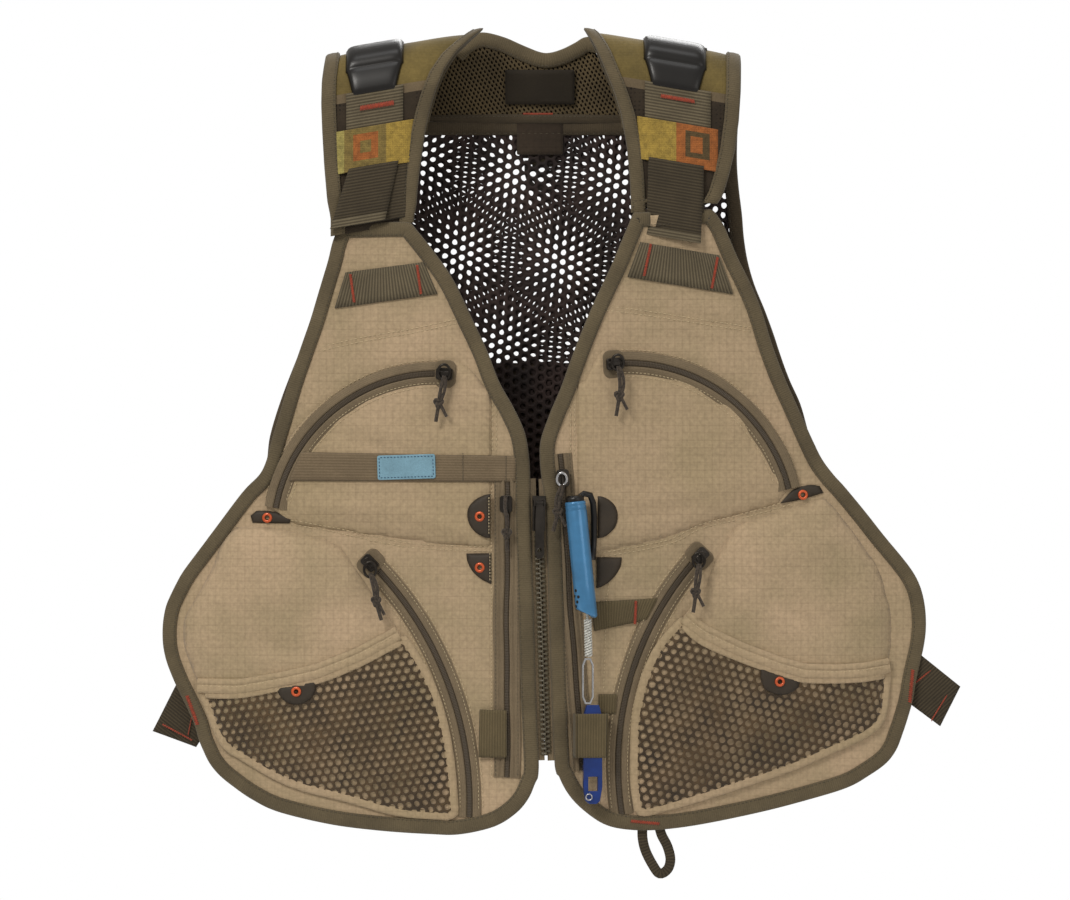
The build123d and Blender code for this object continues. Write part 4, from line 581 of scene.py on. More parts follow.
def tri_fill(poly, h, holes=()):
    """Dense triangle mesh of a smooth outline."""
    lo, hi = poly.min(0), poly.max(0)
    xs = np.arange(lo[0], hi[0], h)
    pts = []
    for k, z in enumerate(np.arange(lo[1], hi[1], h * 0.866)):
        xx = xs + (h / 2 if k % 2 else 0)
        pts.append(np.stack([xx, np.full_like(xx, z)], -1))
    pts = np.vstack(pts)
    keep = inside_dist(pts, poly) > h * 0.55
    for hh in holes:
        keep &= inside_dist(pts, hh) < -h * 0.45
    pts = pts[keep]
    verts = [Vector((float(a), float(b))) for a, b in poly]
    faces = [list(range(len(poly)))]
    base = len(verts)
    edges = []
    for hh in holes:
        n0 = len(verts)
        verts += [Vector((float(a), float(b))) for a, b in hh]
        edges += [(n0 + i, n0 + (i + 1) % len(hh)) for i in range(len(hh))]
    verts += [Vector((float(a), float(b))) for a, b in pts]
    v, e, f, *_ = delaunay_2d_cdt(verts, edges, faces, 1, 1e-5)
    v = np.array([(a.x, a.y) for a in v])
    f = [tuple(t) for t in f if len(t) == 3]
    if holes:
        cen = np.array([v[list(t)].mean(0) for t in f])
        bad = np.zeros(len(f), bool)
        for hh in holes:
            bad |= inside_dist(cen, hh) > 0
        f = [t for t, b_ in zip(f, bad) if not b_]
    out = []
    for a, b, c in f:
        cr = (v[b][0] - v[a][0]) * (v[c][1] - v[a][1]) - (v[b][1] - v[a][1]) * (v[c][0] - v[a][0])
        out.append((a, b, c) if cr > 0 else (a, c, b))
    return v, out


# ---------------------------------------------------------------- the fronts' relief
OUT = {"L": smooth(LL(FRONT_L), 3.0, 30), "R": smooth(LL(FRONT_R), 3.0, 30)}
UPK = {"L": smooth(LL(UPOCK_L), 3.0, 35), "R": smooth(LL(UPOCK_R), 3.0, 35)}
LPK = {"L": smooth(LL(LPOCK_L), 3.0, 35), "R": smooth(LL(LPOCK_R), 3.0, 35)}
NETO = {"L": smooth(LL(MESH_L), 3.0, 35), "R": smooth(LL(MESH_R), 3.0, 35)}
for _s in ("L", "R"):
    inn = inset(resample(OUT[_s], 3.0, closed=True), 8.5)
    # pockets stay inside the binding
    for D in (UPK, LPK, NETO):
        p = D[_s]
        d = inside_dist(p, OUT[_s])
        n = inward(p)
        mv = np.clip(8.6 - d, 0, 12)
        D[_s] = p + n * mv[:, None] * 0.9

FOLDS = {   # soft creases: (start, end, half width mm, height mm)
    "L": [(q(300, 505), q(395, 512), 4.5, 1.1), (q(385, 505), q(480, 536), 4.0, 1.2), (q(330, 420), q(420, 440), 6, 0.7),
          (q(410, 425), q(492, 408), 4, -0.6), (q(425, 430), q(470, 446), 3.5, 0.8), (q(350, 440), q(392, 448), 3.0, -0.7),
          (q(330, 250), q(335, 330), 5, 0.7), (q(382, 300), q(376, 345), 4, 0.5), (q(350, 520), q(470, 570), 5, -0.8),
          (q(360, 560), q(330, 610), 6, 1.0), (q(205, 600), q(330, 590), 9, 0.8), (q(240, 640), q(330, 655), 7, -0.9),
          (q(470, 600), q(485, 680), 5, 0.7), (q(340, 330), q(330, 400), 5, -0.6), (q(456, 300), q(478, 352), 4, 0.8),
          (q(215, 700), q(230, 760), 5, 0.8), (q(395, 560), q(452, 640), 4, 0.8), (q(200, 625), q(215, 670), 5, 0.8)],
    "R": [(q(596, 400), q(640, 440), 5, 0.8), (q(640, 500), q(760, 480), 7, 0.8), (q(600, 520), q(700, 505), 5, -0.7),
          (q(690, 300), q(745, 320), 5, 0.7), (q(650, 330), q(730, 350), 5, -0.6), (q(720, 400), q(745, 440), 5, 0.8),
          (q(740, 560), q(850, 540), 9, 0.9), (q(780, 610), q(880, 640), 8, -0.9), (q(720, 590), q(800, 640), 7, 0.8),
          (q(660, 545), q(700, 530), 4, 0.6), (q(605, 575), q(660, 570), 5, 0.8), (q(855, 560), q(885, 640), 6, 0.9),
          (q(590, 450), q(600, 540), 5, 0.6), (q(770, 330), q(800, 400), 4, 0.6), (q(870, 680), q(880, 730), 5, 0.8),
          (q(612, 290), q(590, 345), 4, 0.6)],
}
SEAMS = {   # stitched seams that pull the cloth in: polylines in panel coordinates
    "L": [[q(322, 348), q(352, 341), q(380, 336), q(415, 330), q(470, 318)], [q(290, 522), q(340, 531), q(380, 540), q(420, 546), q(493, 549)],
          [q(495, 404), q(495, 452)]],
    "R": [[q(606, 308), q(640, 312), q(700, 321), q(752, 329)], [q(790, 503), q(740, 517), q(700, 527), q(665, 543), q(596, 556)],
          [q(572, 404), q(572, 458)]],
}


def base_relief(side, S, Z):
    pts = np.stack([S, Z], -1)
    t = 1.7 + 0.85 * fbm(S, Z, 1 / 55.0, 3.0 if side == "L" else 9.0) + 0.30 * fbm(S, Z, 1 / 19.0, 5.0)
    for a, b, w, hgt in FOLDS[side]:
        d, tt = seg_dist(pts, a, b)
        t = t + 1.55 * hgt * np.exp(-(d / w) ** 2) * np.sin(np.clip(tt, 0.02, 0.98) * math.pi) ** 0.6
    return t


def height(side, S, Z, with_net=False):
    """Height in mm of the front's outer surface over the shell plane."""
    S = np.asarray(S, float).ravel()
    Z = np.asarray(Z, float).ravel()
    pts = np.stack([S, Z], -1)
    t = base_relief(side, S, Z)
    du = inside_dist(pts, UPK[side])
    t = t + np.where(du > 0, 4.4 * (1 - np.exp(-np.clip(du, 0, 99) / 9.0)), 0)
    dl = inside_dist(pts, LPK[side])
    bulge = 8.4 * (1 - np.exp(-np.clip(dl, 0, 99) / 12.0))
    t = t + np.where(dl > 0, bulge, 0)
    for line in SEAMS[side]:
        for a, b in zip(line[:-1], line[1:]):
            d, _ = seg_dist(pts, a, b)
            t = t - 0.8 * np.exp(-(d / 2.2) ** 2)
    if with_net:
        dn = inside_dist(pts, NETO[side])
        t = t + np.where(dn > 0, 0.9 + 1.3 * (1 - np.exp(-np.clip(dn, 0, 99) / 20.0)), 0)
    return np.maximum(t, 0.3)


BODY = {"L": "left_front", "R": "right_front"}
WORD = {"L": "left", "R": "right"}


def cloth_piece(name, side, poly, h, fn, material, thick=0.9, replaces=(), rim=0.0, holes=()):
    """A sheet of cloth over the front: outline poly, height fn; rim is not used."""
    v, f = tri_fill(poly, h, holes)
    T = fn(v[:, 0], v[:, 1])
    co = P3(v[:, 0], v[:, 1], T, side)
    if side == "R" or True:
        f = [(a, c, b) for a, b, c in f]
    uv = np.stack([v[:, 0], v[:, 1]], -1) / 1000.0
    f = [(a, c, b) for a, b, c in f]
    o = make(name, co, f, material, BODY[side], uvs=uv, replaces=replaces)
    solidify(o, thick)
    return o


def tape_on(name, side, path, prof, material, base=None, closed=False, replaces=(), body=None, mats=None, idx=None, taper=None, smooth_h=0):
    """Sweep a cross profile [(across mm, height mm)] along a path on the front; base(S, Z) lifts it."""
    path = np.asarray(path, float)
    n = normals2(path, closed)
    rows = len(path)
    cols = len(prof)
    al = arclen(path, closed)[:rows]
    co = np.zeros((rows, cols, 3))
    uv = np.zeros((rows, cols, 2))
    across = np.concatenate([[0], np.cumsum([math.hypot(prof[i + 1][0] - prof[i][0], prof[i + 1][1] - prof[i][1]) for i in range(cols - 1)])])
    if base is not None:
        hb = base(path[:, 0], path[:, 1])
        if smooth_h:
            k = np.ones(smooth_h) / smooth_h
            hb = np.convolve(np.pad(hb, smooth_h // 2, mode="edge"), k, mode="valid")[:rows]
    else:
        hb = np.zeros(rows)
    for j, (w, t) in enumerate(prof):
        tw = np.ones(rows) if taper is None else taper
        S = path[:, 0] + n[:, 0] * w * tw
        Z = path[:, 1] + n[:, 1] * w * tw
        co[:, j] = P3(S, Z, hb + t, side)
        uv[:, j, 0] = al / 1000.0
        uv[:, j, 1] = across[j] / 1000.0
    f = grid_faces(rows, cols, close_cols=False, close_rows=closed)
    if closed:
        # the seam's last row runs back to the first: repeat it so that the rib pattern stays even
        co = np.concatenate([co, co[:1]], 0)
        last = uv[:1].copy()
        last[..., 0] = arclen(path, True)[-1] / 1000.0
        uv = np.concatenate([uv, last], 0)
        f = grid_faces(rows + 1, cols)
    f = [tuple(reversed(a)) for a in f]
    o = make(name, co.reshape(-1, 3), f, material, body or BODY[side], uvs=uv.reshape(-1, 2), replaces=replaces, mats=mats, mat_idx=idx)
    return o


def closed_prof(w0, w1, t0, t1, bead=0.5, n=4):
    """A flat tape's whole cross section, rounded at its edges, as a closed loop."""
    pts = []
    for i in range(n + 1):
        a = math.pi / 2 * i / n
        pts.append((w0 + bead - bead * math.sin(a) * 1.0, t1 - bead + bead * math.cos(a)))
    pts = pts[::-1]
    top = [(w0 + (w1 - w0) * k / 6.0, t1) for k in range(1, 6)]
    right = [(w1 - bead + bead * math.sin(math.pi / 2 * i / n), t1 - bead + bead * math.cos(math.pi / 2 * i / n)) for i in range(n + 1)]
    low = [(w1, t0), (w0, t0)]
    return pts + top + right + low + [pts[0]]


class Stitches:
    """Collects many small thread capsules into one mesh."""

    def __init__(self):
        self.v, self.f = [], []

    def add(self, p0, p1, up, r):
        p0, p1, up = Vector(p0), Vector(p1), Vector(up)
        d = (p1 - p0)
        if d.length < 1e-6:
            return
        d.normalize()
        side = d.cross(up)
        if side.length < 1e-9:
            return
        side.normalize()
        up = side.cross(d).normalized()
        L_ = (p1 - p0).length
        base = len(self.v)
        rings = ((0.0, 0.15, -0.5), (0.12, 0.8, 0.1), (0.5, 1.0, 0.35), (0.88, 0.8, 0.1), (1.0, 0.15, -0.5))
        for t, k, lift in rings:
            c = p0 + d * (L_ * t) + up * (r * lift)
            for a in range(6):
                an = math.pi * 2 * a / 6
                self.v.append(c + side * (math.cos(an) * r * k) + up * (math.sin(an) * r * k * 0.8))
        for i in range(len(rings) - 1):
            for a in range(6):
                b2 = (a + 1) % 6
                self.f.append((base + i * 6 + a, base + i * 6 + b2, base + (i + 1) * 6 + b2, base + (i + 1) * 6 + a))
        self.f.append(tuple(base + a for a in range(5, -1, -1)))
        self.f.append(tuple(base + (len(rings) - 1) * 6 + a for a in range(6)))

    def line(self, side, path, fn, spacing=3.4, length=2.3, r=0.27, lift=0.1):
        path = resample(np.asarray(path, float), 0.8)
        s = arclen(path)
        k = 0.0
        starts = []
        while k + length < s[-1]:
            starts.append(k)
            k += spacing
        if not starts:
            return
        a = np.array(starts)
        b = a + length
        A = np.stack([np.interp(a, s, path[:, 0]), np.interp(a, s, path[:, 1])], -1)
        Bp = np.stack([np.interp(b, s, path[:, 0]), np.interp(b, s, path[:, 1])], -1)
        ta, tb = fn(A[:, 0], A[:, 1]) + lift, fn(Bp[:, 0], Bp[:, 1]) + lift
        PA, PB = P3(A[:, 0], A[:, 1], ta, side), P3(Bp[:, 0], Bp[:, 1], tb, side)
        up = (0, -1, 0)
        for x, y in zip(PA, PB):
            self.add(x, y, up, r / 1000.0)

    def line3(self, pts, up, spacing=3.4, length=2.3, r=0.27):
        """Stitches along a 3-D polyline in metres; up is one vector or one for each point."""
        pts = np.asarray(pts, float)
        s = np.concatenate([[0], np.cumsum(np.linalg.norm(np.diff(pts, axis=0), axis=1))]) * 1000
        ups = np.broadcast_to(np.asarray(up, float), pts.shape)
        k = 0.0
        while k + length < s[-1]:
            a = np.array([np.interp(k, s, pts[:, i]) for i in range(3)])
            b = np.array([np.interp(k + length, s, pts[:, i]) for i in range(3)])
            u = np.array([np.interp(k + length / 2, s, ups[:, i]) for i in range(3)])
            self.add(a, b, u, r / 1000.0)
            k += spacing

    def bartack(self, side, a, b, width, fn, r=0.3, pitch=0.75, lift=0.3):
        """Dense zigzag from a to b."""
        a, b = np.array(a, float), np.array(b, float)
        d = b - a
        L_ = np.linalg.norm(d)
        d = d / L_
        n = np.array([-d[1], d[0]]) * width / 2
        k = int(L_ / pitch)
        pts = [a + d * (i * pitch) + (n if i % 2 else -n) for i in range(k)]
        for p0, p1 in zip(pts[:-1], pts[1:]):
            t = fn(np.array([p0[0], p1[0]]), np.array([p0[1], p1[1]])) + lift
            A = P3(p0[0], p0[1], t[0], side)
            Bq = P3(p1[0], p1[1], t[1], side)
            self.add(A, Bq, (0, -1, 0), r / 1000.0)

    def build(self, name, material, body, slot="binding"):
        if not self.v:
            return None
        return make(name, self.v, self.f, material, body)


def tube(name, pts, radius, material, body, segs=10, replaces=(), closed=False, radii=None):
    """A round tube along 3-D points in metres."""
    p = np.asarray(pts, float)
    n = len(p)
    if closed:
        tan = np.roll(p, -1, 0) - np.roll(p, 1, 0)
    else:
        tan = np.gradient(p, axis=0)
    tan /= np.linalg.norm(tan, axis=1, keepdims=True)
    up = np.array([0, -1.0, 0.13])
    v = []
    ref = None
    for i in range(n):
        t = tan[i]
        if ref is None:
            ref = up - t * (up @ t)
        else:
            ref = ref - t * (ref @ t)
        ref /= np.linalg.norm(ref)
        b = np.cross(t, ref)
        rr = (radii[i] if radii is not None else radius) / 1000.0
        for a in range(segs):
            an = 2 * math.pi * a / segs
            v.append(p[i] + (ref * math.cos(an) + b * math.sin(an)) * rr)
    f = grid_faces(n, segs, close_cols=True, close_rows=closed)
    if not closed:
        f.append(tuple(range(segs)))
        f.append(tuple((n - 1) * segs + a for a in range(segs - 1, -1, -1)))
    return make(name, v, f, material, body, replaces=replaces)


def prism_on(name, side, poly, t0, t1, material, body=None, bevel=0.5, replaces=(), base=0.0, rings=3):
    """A plate with a rounded rim on the panel plane, from height t0 to t1."""
    poly = np.asarray(poly, float)
    if area2(poly) < 0:
        poly = poly[::-1]
    n = inward(poly)
    loops = [(0.0, t0 + bevel * 0.6), (0.0, t1 - bevel)]
    for i in range(1, rings + 1):
        a = math.pi / 2 * i / rings
        loops.append((bevel * (1 - math.cos(a)), t1 - bevel + bevel * math.sin(a)))
    loops = [(bevel * 0.6, t0)] + loops
    co = []
    m = len(poly)
    for d, t in loops:
        pp_ = poly + n * d
        co.append(P3(pp_[:, 0], pp_[:, 1], t + base, side))
    v = np.concatenate(co)
    f = grid_faces(len(loops), m, close_cols=True)
    f.append(tuple((len(loops) - 1) * m + i for i in range(m)))
    f.append(tuple(i for i in range(m - 1, -1, -1)))
    return make(name, v, f, material, body or BODY[side], replaces=replaces, shade=False)


def join(name, objs):
    objs = [o for o in objs if o]
    main = objs[0]
    with bpy.context.temp_override(active_object=main, selected_editable_objects=objs, selected_objects=objs):
        bpy.ops.object.join()
    main.name = name
    return main


def rounded_rect(cx, cz, w, h, r, n=5, ang=0.0):
    pts = []
    for sx, sz, a0 in ((1, 1, 0), (-1, 1, 90), (-1, -1, 180), (1, -1, 270)):
        for i in range(n + 1):
            a = math.radians(a0 + 90 * i / n)
            pts.append((sx * (w / 2 - r) + r * math.cos(a), sz * (h / 2 - r) + r * math.sin(a)))
    c, s = math.cos(ang), math.sin(ang)
    return np.array([(cx + x * c - z * s, cz + x * s + z * c) for x, z in pts])


def ring_poly(cx, cz, r, n=24):
    return np.array([(cx + r * math.cos(2 * math.pi * i / n), cz + r * math.sin(2 * math.pi * i / n)) for i in range(n)])

# ---------------------------------------------------------------- hard pieces: CAD shapes with broken edges
def refine(name, node, material, body, width=0.4, seg=2, more=()):
    import bmesh
    src = frame["nodes"][node]
    me = src.data.copy()
    bm = bmesh.new()
    bm.from_mesh(me)
    bmesh.ops.remove_doubles(bm, verts=bm.verts, dist=1e-6)
    bmesh.ops.dissolve_limit(bm, angle_limit=math.radians(1.0), verts=bm.verts, edges=bm.edges)
    bm.to_mesh(me)
    bm.free()
    me.materials.clear()
    me.materials.append(material)
    me.polygons.foreach_set("use_smooth", [True] * len(me.polygons))
    o = bpy.data.objects.new(name, me)
    bpy.context.scene.collection.objects.link(o)
    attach(o, body)
    b = o.modifiers.new("edge", "BEVEL")
    b.width = width / 1000.0
    b.segments = seg
    b.limit_method = "ANGLE"
    b.angle_limit = math.radians(35)
    wn = o.modifiers.new("wn", "WEIGHTED_NORMAL")
    wn.keep_sharp = True
    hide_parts(node, *more)
    return o


for key in ("upper", "lower", "centre"):
    for w in ("left", "right"):
        refine(f"{key}_slider_{w}_body", f"{key}_slider_{w}", M_GUN, f"{key}_slider_{w}", 0.7, 3)
refine("main_slider_body", "main_slider", M_GUN, "main_slider", 0.5, 3)
refine("main_pull_tab_body", "main_pull_tab", M_GUN, "main_pull_tab", 0.45, 3)
refine("line_clip_wire", "line_clip", M_STEEL, "nipper_set", 0.25, 2)
refine("nipper_body", "nipper", M_NAVY, "nipper_set", 0.8, 3)
refine("d_ring_body", "d_ring", M_GUN, "d_ring", 0.7, 3)
hl_path = smooth([q(643, 824), q(643, 838), q(646, 851), q(653, 865), q(660, 874), q(668, 870), q(671, 860), q(668, 847), q(662, 835), q(659, 824)], 1.5, 80, closed=False)
tape_on("hem_loop_tape", "R", hl_path, [(-3.4, -2.2), (-3.5, -1.4), (-3.0, -0.9), (0, -0.6), (3.0, -0.9), (3.5, -1.4), (3.4, -2.2), (0, -2.4), (-3.4, -2.2)], M_WEB_D, replaces=["hem_loop"])
for w in ("left", "right"):
    pass


# ---------------------------------------------------------------- cords
def cord_points(pts):
    return [Vector((float(a), float(b), float(c))) for a, b, c in pts]


def nurbs(name, pts, d, material, body):
    cu = bpy.data.curves.new(name, "CURVE")
    cu.dimensions = "3D"
    sp = cu.splines.new("NURBS")
    sp.points.add(len(pts) - 1)
    for p, x in zip(sp.points, pts):
        p.co = (*x, 1.0)
    sp.order_u = 3
    sp.use_endpoint_u = True
    sp.resolution_u = 16
    cu.bevel_depth = d / 2000.0
    cu.bevel_resolution = 6
    cu.use_fill_caps = True
    cu.materials.append(material)
    o = bpy.data.objects.new(name, cu)
    bpy.context.scene.collection.objects.link(o)
    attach(o, body)
    return o


def nurbs_len(pts):
    """Length of a route's own NURBS line, and 200 even places read back from it."""
    cu = bpy.data.curves.new("route_line", "CURVE")
    cu.dimensions = "3D"
    sp = cu.splines.new("NURBS")
    sp.points.add(len(pts) - 1)
    for p, x in zip(sp.points, pts):
        p.co = (*x, 1.0)
    sp.order_u = 3
    sp.use_endpoint_u = True
    sp.resolution_u = 32
    ob = bpy.data.objects.new("route_line", cu)
    me = bpy.data.meshes.new_from_object(ob)
    v = np.array([x.co[:] for x in me.vertices])
    bpy.data.objects.remove(ob)
    bpy.data.meshes.remove(me)
    bpy.data.curves.remove(cu)
    s = np.concatenate([[0], np.cumsum(np.linalg.norm(np.diff(v, axis=0), axis=1))])
    even = np.stack([np.interp(np.linspace(0, s[-1], 200), s, v[:, c]) for c in range(3)], -1)
    return float(s[-1]), even


PULLS = {
    "upper_pull_left": ("L", UZIP_L, [(0.6, -1.4, 14.7), (-2.0, -11.0, 14.6), (-3.6, -21.5, 13.4), (-5.6, -33.4, 12.6)]),
    "lower_pull_left": ("L", LZIP_L, [(1.6, -7.2, 12.8), (4.4, -16.5, 14.6), (6.0, -27.0, 14.6), (10.0, -40.0, 14.4)]),
    "upper_pull_right": ("R", UZIP_R, [(1.4, -1.6, 14.7), (3.4, -12.0, 14.6), (2.6, -24.5, 13.2), (0.6, -36.5, 12.6)]),
    "lower_pull_right": ("R", LZIP_R, [(-2.4, -5.6, 12.8), (-5.4, -16.0, 14.6), (-4.8, -27.5, 14.7), (-6.8, -39.5, 14.4)]),
    "centre_pull_right": ("R", None, [(-0.6, -4.6, 10.7), (-3.0, -15.0, 10.5), (-4.4, -26.0, 9.8), (-7.6, -37.2, 9.4)]),
}


def knot(name, at, d, side, body):
    """A small overhand knot: a closed trefoil tube."""
    c = np.array(at, float)
    pts = []
    for i in range(48):
        a = 2 * math.pi * i / 48
        x = math.sin(a) + 2 * math.sin(2 * a)
        z = math.cos(a) - 2 * math.cos(2 * a)
        y = -math.sin(3 * a)
        pts.append(c + np.array([x * 1.0, y * 0.9, z * 1.15]) / 1000.0)
    return tube(name, pts, d / 2 * 0.86, M_CORD, body, segs=10, closed=True)


for nm, (side, three, offs) in PULLS.items():
    node = frame["nodes"][nm]
    slider = nm.replace("_pull_", "_slider_")
    if three is not None:
        sc = np.array(loc(three[0]))
    else:
        a, b = np.array(loc(CZIP_R_TOP)), np.array(loc(CZIP_R_BOT))
        sc = a + (b - a) / np.linalg.norm(b - a) * 14.0
    pts = [P3(sc[0] + ds, sc[1] + dz, t, side) for ds, dz, t in offs]
    ln, dense = nurbs_len(pts)
    o = nurbs(nm + "_cord", pts, 2.6, M_CORD, nm)
    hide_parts(nm)
    k = knot(nm + "_knot", dense[118], 2.6, side, nm)
    # the other leg of the doubled cord, and the frayed tail
    leg = []
    for i in range(0, 118, 6):
        t = i / 118.0
        off = 2.3 * math.sin(math.pi * min(1, t * 1.02)) ** 0.7 + 0.4
        leg.append(dense[i] + np.array([-off if nm == "centre_pull_right" else off, 0.0, -0.3]) / 1000.0)
    l2 = tube(nm + "_leg", leg, 1.15, M_CORD, nm, segs=10)
    tail = [dense[122] + np.array([0.0012 * 1, 0, 0])]
    for i in range(1, 6):
        tail.append(dense[122] + np.array([0.0012 + 0.0009 * i, -0.0001 * i, -0.0018 * i]))
    t2 = tube(nm + "_tail", tail, 1.15, M_CORD, nm, segs=10)
    # ring that the cord passes through
    rc = dense[0]
    cc = np.array(rc) + np.array([0, 0.0006, 0.0026])
    kr = 0.82 if nm == "centre_pull_right" else 1.0
    if kr < 1:
        cc = cc + np.array([-0.0010, 0.0, 0.0012])
    ring = [cc + np.array([4.2 * kr * math.sin(2 * math.pi * i / 28), -1.0 * math.cos(2 * math.pi * i / 28) - 0.6, 5.4 * kr * math.cos(2 * math.pi * i / 28)]) / 1000.0 for i in range(28)]
    tube(slider + "_ring", ring, 0.95, M_GUN if nm != "centre_pull_right" else M_STEEL, slider, segs=10, closed=True)

# the left centre slider's dark cord, hanging beside the facing strip, with its knot
a, b = np.array(loc(CZIP_L_TOP)), np.array(loc(CZIP_L_BOT))
sc = a + (b - a) / np.linalg.norm(b - a) * 14.0
pts = [P3(sc[0] + dx, sc[1] + dz, t, "L") for dx, dz, t in ((0.5, 6, 9.5), (-0.5, -2, 10.2), (2.2, -12, 10.0), (0.4, -24, 9.0), (1.6, -33, 8.2))]
ln, dense = nurbs_len(pts)
o = nurbs("centre_cord_left", pts, 2.6, M_CORD, "centre_slider_left")
k = knot("centre_cord_left_knot", dense[135], 2.6, "L", "centre_slider_left")

# retractor line
LINE = [(24.69, -105.45, -351.85), (27.33, -105.29, -373.73), (29.07, -104.68, -394.62), (31.46, -102.63, -409.6), (30.36, -101.0, -424.6)]
pts = [np.array(p) / 1000.0 for p in LINE]
ln, dense = nurbs_len(pts)
o = nurbs("retractor_line_braid", pts, 1.8, M_BRAID, "nipper_set")
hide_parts("retractor_line")
# silver sleeve of braid below the barrel, doubled over the line
def helix_sleeve(p0, p1, r, turns, n=160, ph=0.0):
    p0, p1 = np.array(p0), np.array(p1)
    d = (p1 - p0) / np.linalg.norm(p1 - p0)
    x = np.array([1.0, 0, 0]) - d * d[0]
    x /= np.linalg.norm(x)
    y = np.cross(d, x)
    return [p0 + (p1 - p0) * (i / n) + (x * math.cos(ph + 2 * math.pi * turns * i / n) + y * math.sin(ph + 2 * math.pi * turns * i / n)) * r for i in range(n + 1)]

i0 = min(range(200), key=lambda i: abs(dense[i][2] + 0.3985))
i1 = min(range(200), key=lambda i: abs(dense[i][2] + 0.4235))
hp = []
for ph in (0.0, 2 * math.pi / 3, 4 * math.pi / 3):
    hp.append(tube(f"braid_wrap_{len(hp)}", helix_sleeve(dense[i0], dense[i1], 0.0021, 4.5, ph=ph), 0.75, M_BRAID, "nipper_set", segs=8))
join("retractor_braid_wrap", hp)


# ---------------------------------------------------------------- front pieces
def h_net(side):
    return lambda S, Z: height(side, S, Z)


def rim_fade(side, S, Z, t, at=1.5, d0=9.0, d1=24.0):
    d = inside_dist(np.stack([S, Z], -1), OUT[side])
    k = np.clip((d - d0) / (d1 - d0), 0, 1)
    k = k * k * (3 - 2 * k)
    return at + (t - at) * k


ST_CREAM = {"L": Stitches(), "R": Stitches()}
ST_DARK = {"L": Stitches(), "R": Stitches()}
ST_RED = {"L": Stitches(), "R": Stitches()}


def build_front(side):
    w = WORD[side]
    H = lambda S, Z: height(side, S, Z)
    panel_out = inset(OUT[side], 1.5)

    def hp(S, Z):
        t = base_relief(side, S, Z)
        pts = np.stack([S, Z], -1)
        for line in SEAMS[side]:
            for a, b in zip(line[:-1], line[1:]):
                d, _ = seg_dist(pts, a, b)
                t = t - 0.9 * np.exp(-(d / 2.0) ** 2)
        du = inside_dist(pts, UPK[side])
        dl = inside_dist(pts, LPK[side])
        t = np.where((du > 5) | (dl > 5), 0.6, t)
        return np.maximum(rim_fade(side, S, Z, t), 0.5)

    cloth_piece(f"front_panel_{w}_cloth", side, panel_out, 4.2, hp, M_TAN, 0.8, replaces=[f"front_panel_{w}"])

    def hu(S, Z):
        d = inside_dist(np.stack([S, Z], -1), UPK[side])
        return height(side, S, Z) + 0.25 - 0.8 * np.exp(-np.clip(d, 0, 99) / 0.8)

    up = cloth_piece(f"upper_pocket_{w}_cloth", side, UPK[side], 3.6, hu, M_TAN2, 0.8, replaces=[f"upper_pocket_{w}"])

    def hl(S, Z):
        d = inside_dist(np.stack([S, Z], -1), LPK[side])
        t = height(side, S, Z) + 0.2 - 0.8 * np.exp(-np.clip(d, 0, 99) / 0.8)
        # the net pocket's own back is pulled in a little below the hem
        dn = inside_dist(np.stack([S, Z], -1), NETO[side])
        return t - np.where(dn > 0, 0.5 * (1 - np.exp(-np.clip(dn, 0, 99) / 6.0)), 0)

    lp = cloth_piece(f"lower_pocket_{w}_cloth", side, LPK[side], 3.6, hl, M_TAN, 0.8, replaces=[f"lower_pocket_{w}"])

    # edge binding round the whole front, folded over the rim
    path = resample(OUT[side], 2.6, closed=True)
    if area2(path) < 0:
        path = path[::-1]
    prof = [(7.0, -1.2), (1.5, -1.7), (-0.5, -1.2), (-1.0, 0.4), (-0.6, 2.2), (0.7, 3.1), (3.0, 3.5), (6.5, 3.6), (8.8, 3.2), (9.4, 2.4), (9.4, 1.0)]
    tape_on(f"front_binding_{w}_tape", side, path, prof, M_BIND, closed=True, replaces=[f"front_binding_{w}"])
    if side == "R":
        # the top edge tucks under the shoulder webbing's tail
        xa, xb, zt = px(649, 0)[0] / 1000, px(694, 0)[0] / 1000, px(0, 226)[1] / 1000
        for vt in bpy.data.objects["front_binding_right_tape"].data.vertices:
            if xa < vt.co.x < xb and vt.co.z > zt:
                vt.co.y += 0.006 * min(1.0, (vt.co.x - xa) / 0.003, (xb - vt.co.x) / 0.003)
    line = inset(path, 8.2)
    ST_DARK[side].line(side, np.vstack([line, line[:1]]), lambda S, Z: np.full(len(S), 3.35), spacing=3.0, length=2.1, r=0.25)

    # seam stitching in pale thread, two rows
    for ln in SEAMS[side]:
        p = smooth(ln, 3.0, 60, closed=False)
        n = normals2(p, closed=False)
        for k in (-1.6, 1.3):
            ST_CREAM[side].line(side, p + n * k, lambda S, Z: H(S, Z), lift=0.45)


for _s in ("L", "R"):
    build_front(_s)


